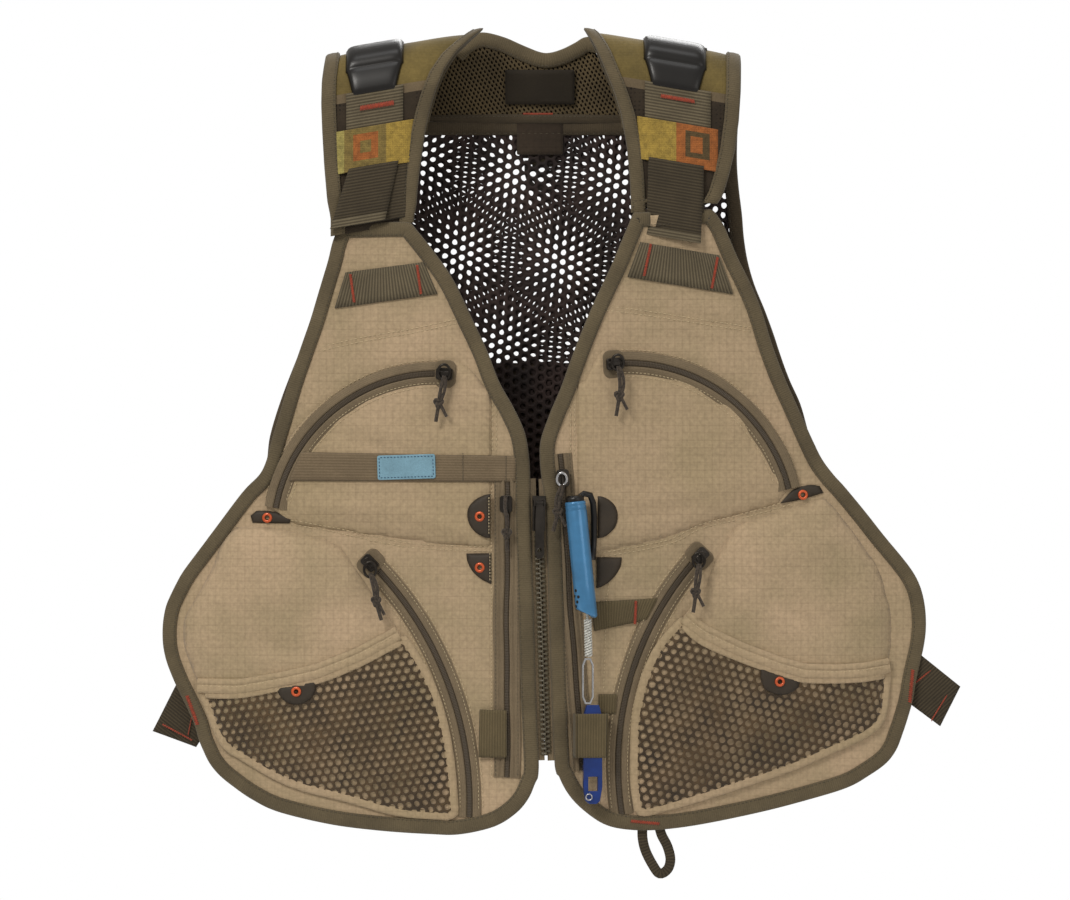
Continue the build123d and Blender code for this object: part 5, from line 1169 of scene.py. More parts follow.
def quad_strip(name, side, pts4, material, lift, thick, base, replaces=(), nu=24, nv=8, body=None, edge=0.5):
    """Webbing over the front between four corners: top-left, top-right, bottom-right, bottom-left."""
    a, b, c, d = (np.array(p, float) for p in pts4)
    wd = (np.linalg.norm(b - a) + np.linalg.norm(c - d)) / 2
    ht = (np.linalg.norm(d - a) + np.linalg.norm(c - b)) / 2
    co, uv = [], []
    us = np.linspace(0, 1, nu)
    vs = np.linspace(0, 1, nv)
    grid = np.array([[(a * (1 - u) + b * u) * (1 - v) + (d * (1 - u) + c * u) * v for u in us] for v in vs])
    S, Z = grid[..., 0].ravel(), grid[..., 1].ravel()
    hb = base(S, Z).reshape(nv, nu)
    # webbing is stiff across its width: take the mean height in each cross row
    hb = 0.35 * hb + 0.65 * np.maximum(hb.mean(0, keepdims=True), hb)
    top = hb + lift + thick
    top[0] -= edge
    top[-1] -= edge
    bot = hb + lift - 0.3
    T = np.concatenate([top.ravel(), bot.ravel()])
    SS = np.concatenate([S, S])
    ZZ = np.concatenate([Z, Z])
    co = P3(SS, ZZ, T, side)
    for v in vs:
        for u in us:
            uv.append((u * wd / 1000, v * ht / 1000))
    uv = uv + uv
    n = nu * nv
    f = [tuple(reversed(x)) for x in grid_faces(nv, nu)]
    f = [tuple(x) for x in f]
    g = [tuple(reversed([n + i for i in x])) for x in f]
    rim = []
    loop = [i for i in range(nu)] + [nu - 1 + nu * j for j in range(1, nv)] + [nu * (nv - 1) + nu - 1 - i for i in range(1, nu)] + [nu * (nv - 1 - j) for j in range(1, nv - 1)]
    for i in range(len(loop)):
        p, r = loop[i], loop[(i + 1) % len(loop)]
        rim.append((p, r, n + r, n + p))
    o = make(name, co, f + g + rim, material, body or BODY[side], uvs=uv, replaces=replaces)
    return o


def flip_fix(o):
    import bmesh
    bm = bmesh.new()
    bm.from_mesh(o.data)
    bmesh.ops.recalc_face_normals(bm, faces=bm.faces)
    bm.to_mesh(o.data)
    bm.free()
    return o


# chest webbing with its red bartacks
for _s, nm in (("L", CHESTWEB_L), ("R", CHESTWEB_R)):
    w = WORD[_s]
    quad = [loc(p) for p in nm[:4]] if len(nm) == 4 else None
    pts = LL(nm)
    if quad is None:
        quad = [pts[0], pts[1], pts[2], pts[3]]
    o = quad_strip(f"chest_webbing_{w}_tape", _s, quad, M_WEB, 0.5, 1.4, lambda S, Z, s=_s: np.maximum(rim_fade(s, S, Z, base_relief(s, S, Z)), 0.5), nu=50, nv=6, replaces=[f"chest_webbing_{w}"])
    flip_fix(o)
    rows = [((351, 274), (355, 303)), ((418, 265), (422, 295))] if _s == "L" else [((650, 244), (643, 277)), ((717, 257), (711, 289))]
    for a, b in rows:
        ST_RED[_s].bartack(_s, q(*a), q(*b), 2.2, lambda S, Z, s=_s: rim_fade(s, S, Z, base_relief(s, S, Z)) + 2.0, r=0.42, pitch=0.6)

# elastic bands
HL = lambda S, Z: height("L", S, Z)
HR = lambda S, Z: height("R", S, Z)
bq = LL(BAND_L)
lo_, hi_ = bq.min(0), bq.max(0)
band = [q(303, 452), q(517, 456), q(516, 482), q(290, 481)]
flip_fix(quad_strip("elastic_band_left_tape", "L", band, M_ELAS, 0.7, 1.2, HL, nu=60, nv=8, replaces=["elastic_bands_left"]))
flip_fix(quad_strip("elastic_loop_left_tape", "L", [q(481, 709), q(508, 710), q(508, 757), q(480, 757)], M_ELAS_O, 3.0, 1.2, lambda S, Z: np.full(len(S), 1.8), nu=14, nv=18))
ST_DARK["L"].line("L", [q(465, 453), q(465, 481)], lambda S, Z: HL(S, Z) + 1.9, spacing=1.4, length=1.1, r=0.3)
ST_DARK["L"].line("L", [q(507, 456), q(507, 482)], lambda S, Z: HL(S, Z) + 1.9, spacing=1.4, length=1.1, r=0.3)
# blue patch, blank, with a dark running stitch
pt = rounded_rect(*q(408.5, 467), 59 * 0.7, 24.5 * 0.7, 1.6, ang=0.03)
ph = float(HL(np.array([pt[:, 0].mean()]), np.array([pt[:, 1].mean()]))[0])
prism_on("label_patch_left_blank", "L", pt, ph + 1.6, ph + 3.1, M_PATCH, replaces=["label_patch_left"], bevel=0.4)
ins = inset(rounded_rect(*q(408.5, 467), 59 * 0.7, 24.5 * 0.7, 1.6, ang=0.03), 1.5)
stb = Stitches()
stb.line("L", np.vstack([ins, ins[:1]]), lambda S, Z: np.full(len(S), ph + 3.1), spacing=2.4, length=1.5, r=0.3)
stb.build("label_patch_left_stitch", M_THREAD_B, "left_front", slot="label")

# right: elastic strips
flip_fix(quad_strip("elastic_strip_right_tape", "R", [q(590, 602), q(657, 598), q(646, 620), q(594, 631)], M_ELAS_O, 0.7, 1.2, HR, nu=24, nv=8, replaces=["elastic_bands_right"]))
flip_fix(quad_strip("elastic_strip_low_right_tape", "R", [q(598, 694), q(616, 694), q(615, 714), q(598, 714)], M_ELAS_O, 0.7, 1.2, HR, nu=10, nv=8))
ST_RED["R"].bartack("R", q(635, 601), q(634, 625), 2.2, lambda S, Z: HR(S, Z) + 2.2, r=0.42, pitch=0.6)


# ---------------------------------------------------------------- pocket zips
def zip_arc(side, key, three, t_slider, taper_hood):
    w = WORD[side]
    path = arc_path(three, before=4.0, after=6.0 if key == "upper" else 2.0)
    H = lambda S, Z: height(side, S, Z)
    base = lambda S, Z: np.minimum(np.maximum(H(S, Z), 0.8), t_slider - 3.2)
    half = 8.2
    prof = [(-half, 0.0), (-half, 1.0), (-half + 0.5, 1.35), (-4.6, 1.5), (-3.4, 1.9), (-2.4, 1.7), (-2.2, 0.9), (2.2, 0.9), (2.4, 1.7), (3.4, 1.9), (4.6, 1.5), (half - 0.5, 1.35), (half, 1.0), (half, 0.0)]
    t = tape_on(f"{key}_zip_{w}_tape", side, path, prof, M_TAPE, base=base, smooth_h=9, replaces=[f"{key}_zip_tape_{w}"])
    coil = tape_on(f"{key}_zip_{w}_coil", side, path, [(-2.1, 0.8), (-1.8, 1.5), (-0.5, 1.9), (0, 1.6), (0.5, 1.9), (1.8, 1.5), (2.1, 0.8)], M_COIL, base=base, smooth_h=9)
    n = normals2(path, closed=False)
    for k in (-6.6, 6.6):
        ST_CREAM[side].line(side, path[2:-2] + n[2:-2] * k, lambda S, Z: base(S, Z) + 1.45, spacing=2.8, length=1.8, r=0.22)
    for k in (-half - 1.2, half + 1.2):
        ST_CREAM[side].line(side, path[4:-2] + n[4:-2] * k, lambda S, Z: H(S, Z) + 0.5, spacing=3.2, length=2.1, r=0.24)
    # hood over the slider garage
    d = path[0] - path[6]
    d /= np.linalg.norm(d)
    c = path[2] + d * 1.0
    hood = rounded_rect(c[0], c[1], 15, 19.5, 5.0, ang=math.atan2(d[1], d[0]))
    hb = float(np.mean(base(path[:6, 0], path[:6, 1])))
    prism_on(f"{key}_zip_{w}_hood", side, hood, hb + 0.2, hb + 1.9, M_TAPE, bevel=0.8)
    return path


ZIPS = {}
for _s, key, three, ts in (("L", "upper", UZIP_L, 8.5), ("R", "upper", UZIP_R, 8.5), ("L", "lower", LZIP_L, 4.5), ("R", "lower", LZIP_R, 4.5)):
    ZIPS[(_s, key)] = zip_arc(_s, key, three, ts, True)

# centre facing strips with their coil grooves
for _s, top, bot, wd in (("L", CZIP_L_TOP, CZIP_L_BOT, 19.0), ("R", CZIP_R_TOP, CZIP_R_BOT, 16.0)):
    w = WORD[_s]
    a, b = np.array(loc(top)), np.array(loc(bot))
    if _s == "L":
        a = a + np.array([0, 8.0])
    if _s == "R":
        a = a + (a - b) / np.linalg.norm(a - b) * 3.0
    path = np.array([a + (b - a) * t for t in np.linspace(0, 1, 70)])
    wob = 0.35 * np.sin(np.linspace(0, 9, 70)) + 0.25 * np.sin(np.linspace(0, 23, 70))
    half = wd / 2
    prof = [(-half, 0.6), (-half, 1.9), (-half + 0.8, 2.4), (-5.6, 2.2), (-5.0, 1.6), (-4.4, 2.3), (-2.8, 2.9), (-2.2, 2.7), (-1.9, 1.5), (1.9, 1.5), (2.2, 2.7), (2.8, 2.9), (4.4, 2.3), (5.0, 1.6), (5.6, 2.2), (half - 0.8, 2.4), (half, 1.9), (half, 0.6)]
    tape_on(f"centre_zip_{w}_tape", _s, path + np.stack([wob, wob * 0], -1), prof, M_TAPE, base=lambda S, Z: np.full(len(S), 0.6), replaces=[f"centre_zip_tape_{w}"])
    tape_on(f"centre_zip_{w}_coil", _s, path + np.stack([wob, wob * 0], -1), [(-1.9, 1.4), (-1.6, 2.0), (-0.4, 2.4), (0, 2.1), (0.4, 2.4), (1.6, 2.0), (1.9, 1.4)], M_COIL, base=lambda S, Z: np.full(len(S), 0.6))
    for k in (-half + 1.6, half - 1.6):
        ST_DARK[_s].line(_s, path + np.array([k, 0]), lambda S, Z: np.full(len(S), 3.05), spacing=2.8, length=1.9, r=0.2)
ST_CREAM["L"].line("L", [q(492, 486), q(492, 780)], lambda S, Z: HL(S, Z), lift=0.5, spacing=2.6, length=1.7)
ST_CREAM["R"].line("R", [q(612, 560), q(606, 600), q(603, 690)], lambda S, Z: HR(S, Z), lift=0.5, spacing=2.6, length=1.7)


# ---------------------------------------------------------------- tool tabs and eyelets
def tab(name, side, poly, t0, eye, replaces=(), rows=None):
    p = smooth(LL(poly), 1.2, 38)
    if area2(p) < 0:
        p = p[::-1]
    hole = ring_poly(*loc(eye), 1.55, 20) if eye else None
    v, f = tri_fill(p, 2.4, [hole] if eye else [])
    d = inside_dist(v, p)
    c = np.clip(d / 1.2, 0, 1)
    T = t0 + 1.6 - 0.6 * (1 - c) ** 2 + 0.4 * np.sin(v[:, 0] * 0.13 + 1.0) * np.clip(d / 6, 0, 1)
    o = make(name, P3(v[:, 0], v[:, 1], T, side), f, M_TAB, BODY[side], replaces=replaces)
    solidify(o, 1.5)
    return o


def eyelet(name, side, eye, t0, replaces=()):
    """A turned ring: rolled flange and barrel."""
    c = loc(eye)
    prof = [(1.62, -1.2), (1.62, 0.2), (1.75, 0.75), (2.2, 1.05), (2.8, 1.0), (3.4, 0.6), (3.6, 0.15), (3.5, -0.1)]
    seg = 36
    v = []
    for r, t in prof:
        for i in range(seg):
            a = 2 * math.pi * i / seg
            v.append(P3(c[0] + r * math.cos(a), c[1] + r * math.sin(a), t0 + t, side))
    f = grid_faces(len(prof), seg, close_cols=True)
    f = [tuple(reversed(x)) for x in f]
    return make(name, v, f, M_ORANGE, BODY[side], replaces=replaces)


def hb_at(side, p):
    return float(height(side, np.array([p[0]]), np.array([p[1]]))[0])


TABS = [("L", "net_tab_left", TAB1_L, EYE1_L, 11.6), ("L", "side_tab_left", TAB2_L, EYE2_L, 2.2), ("L", "upper_tab_left", TAB3_L, EYE3_L, 6.2), ("L", "lower_tab_left", TAB4_L, EYE4_L, 2.2),
        ("R", "net_tab_right", TAB1_R, EYE1_R, 11.6), ("R", "side_tab_right", TAB2_R, EYE2_R, 2.2), ("R", "upper_tab_right", TAB3_R, None, 6.2), ("R", "lower_tab_right", TAB4_R, None, 2.2)]
first = {"L": True, "R": True}
for side, nm, poly, eye, t0 in TABS:
    w = WORD[side]
    c = loc(eye) if eye else LL(poly).mean(0)
    t0 = max(t0 - 0.6, hb_at(side, c) - 0.2)
    tab(nm, side, poly, t0, eye, replaces=[f"tool_tabs_{w}"] if first[side] else ())
    if eye:
        eyelet("eyelet_" + nm, side, eye, t0 + 1.7, replaces=[f"eyelets_{w}"] if first[side] else ())
    first[side] = False
for a, b in (((491, 497), (491, 536)), ((491, 553), (491, 583))):
    ST_CREAM["L"].line("L", [q(*a), q(*b)], lambda S, Z: np.full(len(S), 7.9 if a[1] < 520 else 4.0), spacing=2.2, length=1.5, r=0.3)


# ---------------------------------------------------------------- nets
def hex_cells(poly, pitch, margin, rot=0.0):
    lo, hi = poly.min(0) - pitch, poly.max(0) + pitch
    c = (lo + hi) / 2
    R = np.linalg.norm(hi - lo) / 2 + pitch
    cs, sn = math.cos(rot), math.sin(rot)
    cells = []
    row = 0
    y = -R
    while y < R:
        x = -R + (pitch / 2 if row % 2 else 0)
        while x < R:
            cells.append((x, y))
            x += pitch
        y += pitch * math.sqrt(3) / 2
        row += 1
    cells = np.array(cells)
    w_ = np.stack([c[0] + cells[:, 0] * cs - cells[:, 1] * sn, c[1] + cells[:, 0] * sn + cells[:, 1] * cs], -1)
    keep = inside_dist(w_, poly) > margin
    return w_[keep]


def perforated(name, poly, pitch, rfn, mapfn, material, thick, body, margin=0.0, rot=0.0, squish=(1.0, 1.0, 0.0), replaces=(), seg=12, flip=False, keepout=None):
    cs = hex_cells(poly, pitch, margin, rot)
    if keepout is not None:
        cs = cs[keepout(cs)]
    R = pitch / math.sqrt(3)
    hexa = []
    for k in range(6):
        a = math.radians(30 + 60 * k) + rot
        b = math.radians(30 + 60 * (k + 1)) + rot
        p = np.array([math.cos(a), math.sin(a)]) * R
        r = np.array([math.cos(b), math.sin(b)]) * R
        hexa += [p, (p + r) / 2]
    hexa = np.array(hexa)
    idx, verts, faces = {}, [], []

    def vid(p):
        key = (round(p[0] * 20), round(p[1] * 20))
        for dx in (0, 1, -1):
            for dy in (0, 1, -1):
                k2 = (key[0] + dx, key[1] + dy)
                if k2 in idx:
                    return idx[k2]
        idx[key] = len(verts)
        verts.append(p)
        return idx[key]

    rr = rfn(cs[:, 0], cs[:, 1])
    ex, ey, er = squish
    for (x, y), r in zip(cs, rr):
        outer = [vid((x + h[0], y + h[1])) for h in hexa]
        inner = []
        for h in hexa:
            a = math.atan2(h[1], h[0])
            px_, py_ = r * math.cos(a - er) * ex, r * math.sin(a - er) * ey
            p = (x + px_ * math.cos(er) - py_ * math.sin(er), y + px_ * math.sin(er) + py_ * math.cos(er))
            inner.append(len(verts))
            verts.append(p)
        for i in range(12):
            j = (i + 1) % 12
            faces.append((outer[i], outer[j], inner[j], inner[i]))
    v = np.array(verts)
    co = mapfn(v[:, 0], v[:, 1])
    if flip:
        faces = [tuple(reversed(f)) for f in faces]
    uv = v / 1000.0
    o = make(name, co, faces, material, body, uvs=uv, replaces=replaces)
    solidify(o, thick)
    return o


for side in ("L", "R"):
    w = WORD[side]
    sd = 4.0 if side == "L" else 8.0

    def hn(S, Z, side=side, sd=sd):
        d = inside_dist(np.stack([S, Z], -1), NETO[side])
        t = height(side, S, Z) + 0.35 + 0.9 * (1 - np.exp(-np.clip(d, 0, 99) / 14.0))
        return t + 0.7 * np.abs(fbm(S, Z, 1 / 30.0, sd)) * np.clip(d / 12, 0, 1)

    poly = NETO[side]
    o = perforated(f"mesh_pocket_{w}_net", poly, 6.0, lambda S, Z, sd=sd: 2.2 + 0.3 * fbm(S, Z, 1 / 25.0, sd + 2), lambda S, Z, side=side, hn=hn: P3(S, Z, hn(S, Z), side), M_NET, 0.55,
                   BODY[side], margin=0.2, rot=math.radians(8 if side == "L" else -14), replaces=[f"mesh_pocket_{w}"], flip=True)
    lo, hi = poly.min(0), poly.max(0)
    # seam tape round the net's lower and outer edge, tan hem along its top
    rim = resample(poly, 3.0, closed=True)
    if area2(rim) < 0:
        rim = rim[::-1]
    tape_on(f"mesh_pocket_{w}_seam", side, rim, [(-3.4, -0.4), (-3.2, 1.0), (-1.6, 1.9), (0.4, 2.1), (2.6, 1.9), (3.4, 1.6), (3.8, 0.5)], M_TAN2, base=lambda S, Z, side=side: height(side, S, Z) + 0.2, closed=True, smooth_h=0)
    ST_CREAM[side].line(side, np.vstack([inset(rim, -3.2), inset(rim, -3.2)[:1]]), lambda S, Z, side=side: height(side, S, Z) + 0.5, spacing=3.2, length=2.1, r=0.22)
    hem = LL(HEM_L if side == "L" else HEM_R)
    k = len(hem) // 2
    top, bot = hem[:k], hem[k:][::-1]
    mid = (resample(top, n=60) + resample(bot, n=60)) / 2
    tape_on(f"mesh_pocket_{w}_hem", side, mid, [(-5.2, 0.0), (-5.2, 1.6), (-4.4, 2.5), (-2.0, 2.9), (0.8, 2.8), (1.0, 2.2), (1.3, 2.8), (4.2, 2.6), (5.0, 1.8), (5.2, 0.2)], M_TAN2, base=lambda S, Z, side=side: height(side, S, Z) + 0.5, smooth_h=7)
    ST_CREAM[side].line(side, mid, lambda S, Z, side=side: height(side, S, Z) + 3.1, spacing=3.2, length=2.0, r=0.22)


# ---------------------------------------------------------------- main zip halves
def chain_x(z):
    return CHAIN_TOP[0] + (z - CHAIN_TOP[1]) * (CHAIN_BOT[0] - CHAIN_TOP[0]) / (CHAIN_BOT[1] - CHAIN_TOP[1])


def teeth(side):
    sg = -1.0 if side == "L" else 1.0
    v, f = [], []
    z = -339.2 + (0 if side == "L" else -1.7)
    while z > -493.0:
        c0 = chain_x(z) - sg * 0.55
        prof = [(0.0, 1.0), (0.55, 1.15), (1.2, 0.75), (2.4, 0.8), (3.6, 1.25), (4.0, 1.2)]
        base = len(v)
        for t in (-1.5, -1.1, 0.5, 0.95):
            k = 0.82 if t in (-1.5, 0.95) else 1.0
            ring = [(c0 + sg * x, z + hgt * k) for x, hgt in prof] + [(c0 + sg * x, z - hgt * k) for x, hgt in reversed(prof)]
            for x, zz in ring:
                v.append(P3((x - X_APEX) / CA, zz, t, side))
        m = 12
        for i in range(3):
            for j in range(m):
                j2 = (j + 1) % m
                f.append((base + i * m + j, base + i * m + j2, base + (i + 1) * m + j2, base + (i + 1) * m + j))
        f.append(tuple(base + j for j in range(m)))
        f.append(tuple(base + 3 * m + m - 1 - j for j in range(m)))
        z -= 3.4
    o = make(f"main_zip_{WORD[side]}_teeth", v, f, M_TOOTH, BODY[side])
    flip_fix(o)
    zz = np.linspace(-300.0, -497.0, 70)
    path = np.array([((chain_x(z) + sg * 6.8 - X_APEX) / CA, z) for z in zz])
    sgn = 1
    prof = [(-5.6, -1.5), (-5.6, -0.6), (-3.0, -0.4), (-2.6, 0.0), (-1.0, 0.1), (-0.4, -0.4), (5.6, -0.5), (5.6, -1.5)]
    t = tape_on(f"main_zip_{WORD[side]}_tape", side, path, prof, M_TAPE, replaces=[f"main_zip_{WORD[side]}"])
    return o


for _s in ("L", "R"):
    teeth(_s)


# retractor barrel: anodised tube with end beads, slots and a black cap
def turned(name, p0, p1, prof, material, body, seg=40, replaces=(), slant=0.0):
    p0, p1 = np.array(p0, float), np.array(p1, float)
    L_ = np.linalg.norm(p1 - p0)
    d = (p1 - p0) / L_
    x = np.array([1.0, 0, 0]) - d * d[0]
    x /= np.linalg.norm(x)
    y = np.cross(d, x)
    v = []
    for l, r in prof:
        for i in range(seg):
            a = 2 * math.pi * i / seg
            c = p0 + d * (l / 1000.0) + (x * math.cos(a) + y * math.sin(a)) * (r / 1000.0)
            if l > L_ * 1000 * 0.5:
                c = c - d * (slant / 1000.0) * (1 - math.cos(a)) / 2 * ((l / 1000.0 - L_ / 2) / (L_ / 2))
            v.append(c)
    f = grid_faces(len(prof), seg, close_cols=True)
    o = make(name, v, f, material, body, replaces=replaces)
    flip_fix(o)
    return o


bt = P3(*loc(BARREL_TOP), 16.0, "R")
bb = P3(*loc(BARREL_BOT), 16.0, "R")
BL = float(np.linalg.norm(bb - bt)) * 1000
prof = [(0.2, 3.9), (0.2, 6.6), (0.8, 7.2), (2.2, 7.3), (3.0, 7.0), (3.6, 7.3), (5.4, 7.3), (6.0, 7.05), (6.8, 7.4), (30, 7.4), (BL - 22, 7.4), (BL - 2.0, 7.4), (BL - 0.5, 7.0), (BL, 6.3), (BL, 4.0), (BL - 24, 3.9), (10, 3.9), (0.2, 3.9)]
turned("retractor_barrel_tube", bt, bb, prof, M_BLUE, "right_front", replaces=["retractor_barrel"], slant=7.0)
db = (bb - bt) / np.linalg.norm(bb - bt)
turned("retractor_cap", bt - db * 0.004 + np.array([0.0, 0.0, 0]), bt + db * 0.0015, [(0, 0.1), (0, 4.6), (0.8, 5.8), (2.0, 6.4), (5.5, 6.4), (5.5, 0.1)], M_PLAST, "right_front")
cl = [P3(loc(px(583, 497))[0] + ds, loc(px(583, 497))[1] + dz, t, "R") for ds, dz, t in ((-5, 0, 14), (-2, 2.5, 15), (2.5, 1.5, 14), (5.0, -4, 11.5), (6.2, -14, 9.0), (6.2, -30, 8.2), (5.5, -44, 8.0))]
tube("retractor_belt_clip", np.array(cl), 2.2, M_PLAST, "right_front", segs=12)
for i, (lz, da) in enumerate(((62, 0.25), (66, 0.55), (70, 0.2), (73, 0.5), (66.5, 0.0))):
    a = -1.1 + da * 1.3
    x = np.array([1.0, 0, 0]) - db * db[0]
    x /= np.linalg.norm(x)
    y = np.cross(db, x)
    c = bt + db * lz / 1000
    nrm = x * math.cos(math.pi + da - 0.9) + y * math.sin(math.pi + da - 0.9)
    nrm = nrm if nrm[1] < 0 else -nrm
    turned(f"retractor_vent_{i}", c + nrm * 0.0071, c + nrm * 0.0076, [(0, 0.05), (0, 1.15), (0.35, 1.15), (0.45, 0.9), (0.45, 0.05)], M_PLAST, "right_front", seg=16)
# nipper details: ring and sleeve over it
nr = P3(loc(px(585, 796))[0], loc(px(585, 796))[1], 15.4, "R")
tube("nipper_ring", np.array([nr + np.array([2.1 * math.cos(2 * math.pi * i / 24), -0.2, 2.1 * math.sin(2 * math.pi * i / 24)]) / 1000 for i in range(24)]), 0.5, M_STEEL, "nipper_set", segs=8, closed=True)
flip_fix(quad_strip("nipper_sleeve_tape", "R", [q(573.4, 713), q(603, 713), q(602.4, 757), q(573.4, 757)], M_ELAS_O, 15.2, 1.1, lambda S, Z: np.zeros(len(S)) - 0.4, nu=14, nv=18, replaces=[]))
for k, sx in ((0, 572.6), (1, 603.8)):
    s0 = q(sx, 713)[0]
    c = [P3(s0 + (0.4 if k else -0.4) * math.sin(math.pi * i / 10), 0, 4.6 + 11.0 * i / 10, "R") for i in range(11)]
    v = []
    for z in np.linspace(q(574, 713)[1], q(574, 757)[1], 12):
        for p in c:
            v.append((p[0], p[1], z / 1000.0))
    o = make(f"nipper_sleeve_side_{k}", v, grid_faces(12, 11), M_ELAS_O, "right_front")
    solidify(o, 0.9, 0.0)

# ---------------------------------------------------------------- back panel
def LLB(pts):
    return np.array(pts, float)


BK = smooth(LLB(BACK), 4.0, 35)


def wob(X, Z, seed=2.0):
    return 1.2 * fbm(X, Z, 1 / 60.0, seed)


def hole_r(X, Z):
    n = fbm(X, Z, 1 / 40.0, 21.0)
    return np.clip(2.25 + 0.55 * n, 1.5, 2.75)


perforated("back_mesh_panel_net", BK, 6.9, hole_r, lambda X, Z: B3(X, Z, -0.9 + 0.35 * fbm(X, Z, 1 / 45.0, 2.0)), M_BMESH, 0.7, "back", margin=4.2, rot=math.radians(22),
           squish=(1.08, 0.92, 0.5), replaces=["back_mesh_panel"])
perforated("back_mesh_panel_lining", BK, 6.9, lambda X, Z: np.clip(2.3 + 0.4 * fbm(X, Z, 1 / 50.0, 33.0), 1.6, 2.75), lambda X, Z: B3(X, Z, -2.3 + 0.3 * fbm(X, Z, 1 / 45.0, 8.0)), M_BMESH, 0.5, "back", margin=4.2, rot=math.radians(27.5), squish=(0.95, 1.05, 0.3))


def back_tape(name, path, prof, material, closed=False, replaces=(), base=0.0):
    n = normals2(path, closed)
    rows = len(path)
    al = arclen(path, closed)[:rows]
    ac = np.concatenate([[0], np.cumsum([math.hypot(prof[i + 1][0] - prof[i][0], prof[i + 1][1] - prof[i][1]) for i in range(len(prof) - 1)])])
    co = np.zeros((rows, len(prof), 3))
    uv = np.zeros((rows, len(prof), 2))
    for j, (w, t) in enumerate(prof):
        p = path + n * w
        co[:, j] = B3(p[:, 0], p[:, 1], t + base)
        uv[:, j, 0] = al / 1000
        uv[:, j, 1] = ac[j] / 1000
    if closed:
        co = np.concatenate([co, co[:1]], 0)
        l_ = uv[:1].copy()
        l_[..., 0] = arclen(path, True)[-1] / 1000
        uv = np.concatenate([uv, l_], 0)
        rows += 1
    return make(name, co.reshape(-1, 3), grid_faces(rows, len(prof)), material, "back", uvs=uv.reshape(-1, 2), replaces=replaces)


bp = resample(BK, 3.5, closed=True)
if area2(bp) < 0:
    bp = bp[::-1]
flip_fix(back_tape("back_binding_tape", bp, [(8.6, -2.6), (8.6, -3.2), (4.0, -3.5), (0.0, -3.4), (-0.9, -2.4), (-1.1, -0.8), (-0.6, 0.5), (0.6, 1.0), (4.0, 1.1), (8.0, 0.8), (8.6, 0.2), (8.6, -2.6)], M_BIND_D, closed=True, replaces=["back_binding"]))
stk = Stitches()
for off, up in ((0.95, (0, 1, 0)), (-3.5, (0, -1, 0))):
    pp_ = inset(bp, 7.2)
    pp_ = np.vstack([pp_, pp_[:1]])
    stk.line3(B3(pp_[:, 0], pp_[:, 1], np.full(len(pp_), off)), up, spacing=4.2, length=2.4, r=0.24)
stk.build("back_binding_stitch", M_THREAD_D, "back", slot="binding")

# cargo pocket cloth on the outside of the back, coloured dark as painted shade, since it is seen in shadow through the
# mesh
CG = smooth(LLB(CARGO), 4.0, 35)
v, f = tri_fill(CG, 6.0)
d = inside_dist(v, CG)
T = 1.0 + 4.4 * (1 - np.exp(-np.clip(d, 0, 99) / 14.0)) + 0.9 * fbm(v[:, 0], v[:, 1], 1 / 50.0, 12.0) * np.clip(d / 20, 0, 1)
o = make("back_cargo_pocket_cloth", B3(v[:, 0], v[:, 1], T), f, M_CARGO_SHADE, "back", replaces=["back_cargo_pocket"])
solidify(o, 0.8)
# its lining, seen through the open mesh from the front, in the same dark painted-shade colour
T2 = 0.45 + 0 * d
o = make("back_cargo_lining", B3(v[:, 0], v[:, 1], T2), f, M_CARGO_SHADE, "back")
solidify(o, 0.4)
# cargo pocket opening: a zip across its top
cx = np.linspace(-120, 108, 60)
back_tape("back_cargo_zip", np.stack([cx, -244.0 - cx * cx / 2600], -1), [(7.5, 5.0), (7.3, 6.3), (2.6, 6.6), (2.2, 5.8), (0.8, 6.4), (-0.8, 6.4), (-2.2, 5.8), (-2.6, 6.6), (-7.3, 6.3), (-7.5, 5.0)], M_TAPE)
stc = Stitches()
for off in (-6.3, 6.3):
    stc.line3(B3(cx, -244.0 - cx * cx / 2600 + off, np.full(60, 6.45)), (0, 1, 0), spacing=3.2, length=2.1, r=0.24)
pp_ = inset(resample(CG, 4, closed=True), 5.0)
hh_ = 1.0 + 4.4 * (1 - math.exp(-5 / 14.0)) + 0.1
stc.line3(B3(pp_[:, 0], pp_[:, 1], np.full(len(pp_), hh_)), (0, 1, 0), spacing=3.4, length=2.2, r=0.26)
stc.build("back_cargo_stitch", M_THREAD, "back", slot="binding")

# yoke patch behind the neck (the dark square under the red bartack)
yk = rounded_rect((540 - 545) * 0.7, (50 - 134) * 0.7, 33, 24, 1.5)
vv, ff = tri_fill(yk, 4.0)
o = make("yoke_patch", B3(vv[:, 0], vv[:, 1], np.full(len(vv), -3.1)), [tuple(reversed(x)) for x in ff], M_CARGO_SHADE, "back")
solidify(o, 0.5)
sr = Stitches()
for i in range(36):
    x0 = (523 + i * 30 / 36.0 - 545) * 0.7
    sr.add((x0 / 1000, -0.0094, (50 - (108.4 + (i % 2) * 2.4)) * 0.7 / 1000), ((x0 + 0.6) / 1000, -0.0094, (50 - (110.8 - (i % 2) * 2.4)) * 0.7 / 1000), (0, -1, 0), 0.00034)
sr.build("yoke_bartack", M_RED, "back", slot="binding")

# ---------------------------------------------------------------- collar
CO = smooth(LLB(COLLAR), 2.5, 35)
CO = CO.copy()
_k = np.clip((2.0 - CO[:, 1]) / 8.0, 0, 1)
CO[:, 0] += np.where(CO[:, 0] < -3, -6.0, 6.0) * _k * np.clip(np.abs(CO[:, 0] + 3) / 45.0, 0, 1)
NECK = np.array([px(*p) for p in ((440, 60), (452, 47), (463, 36), (476, 29.5), (487, 29), (505, 34), (522, 41.5), (540, 48.5), (551, 49), (564, 45), (576, 39), (588, 33), (606, 37), (618, 42), (640, 60))])


def under_neck(c):
    return c[:, 1] < np.interp(c[:, 0], NECK[:, 0], NECK[:, 1]) - 3.0


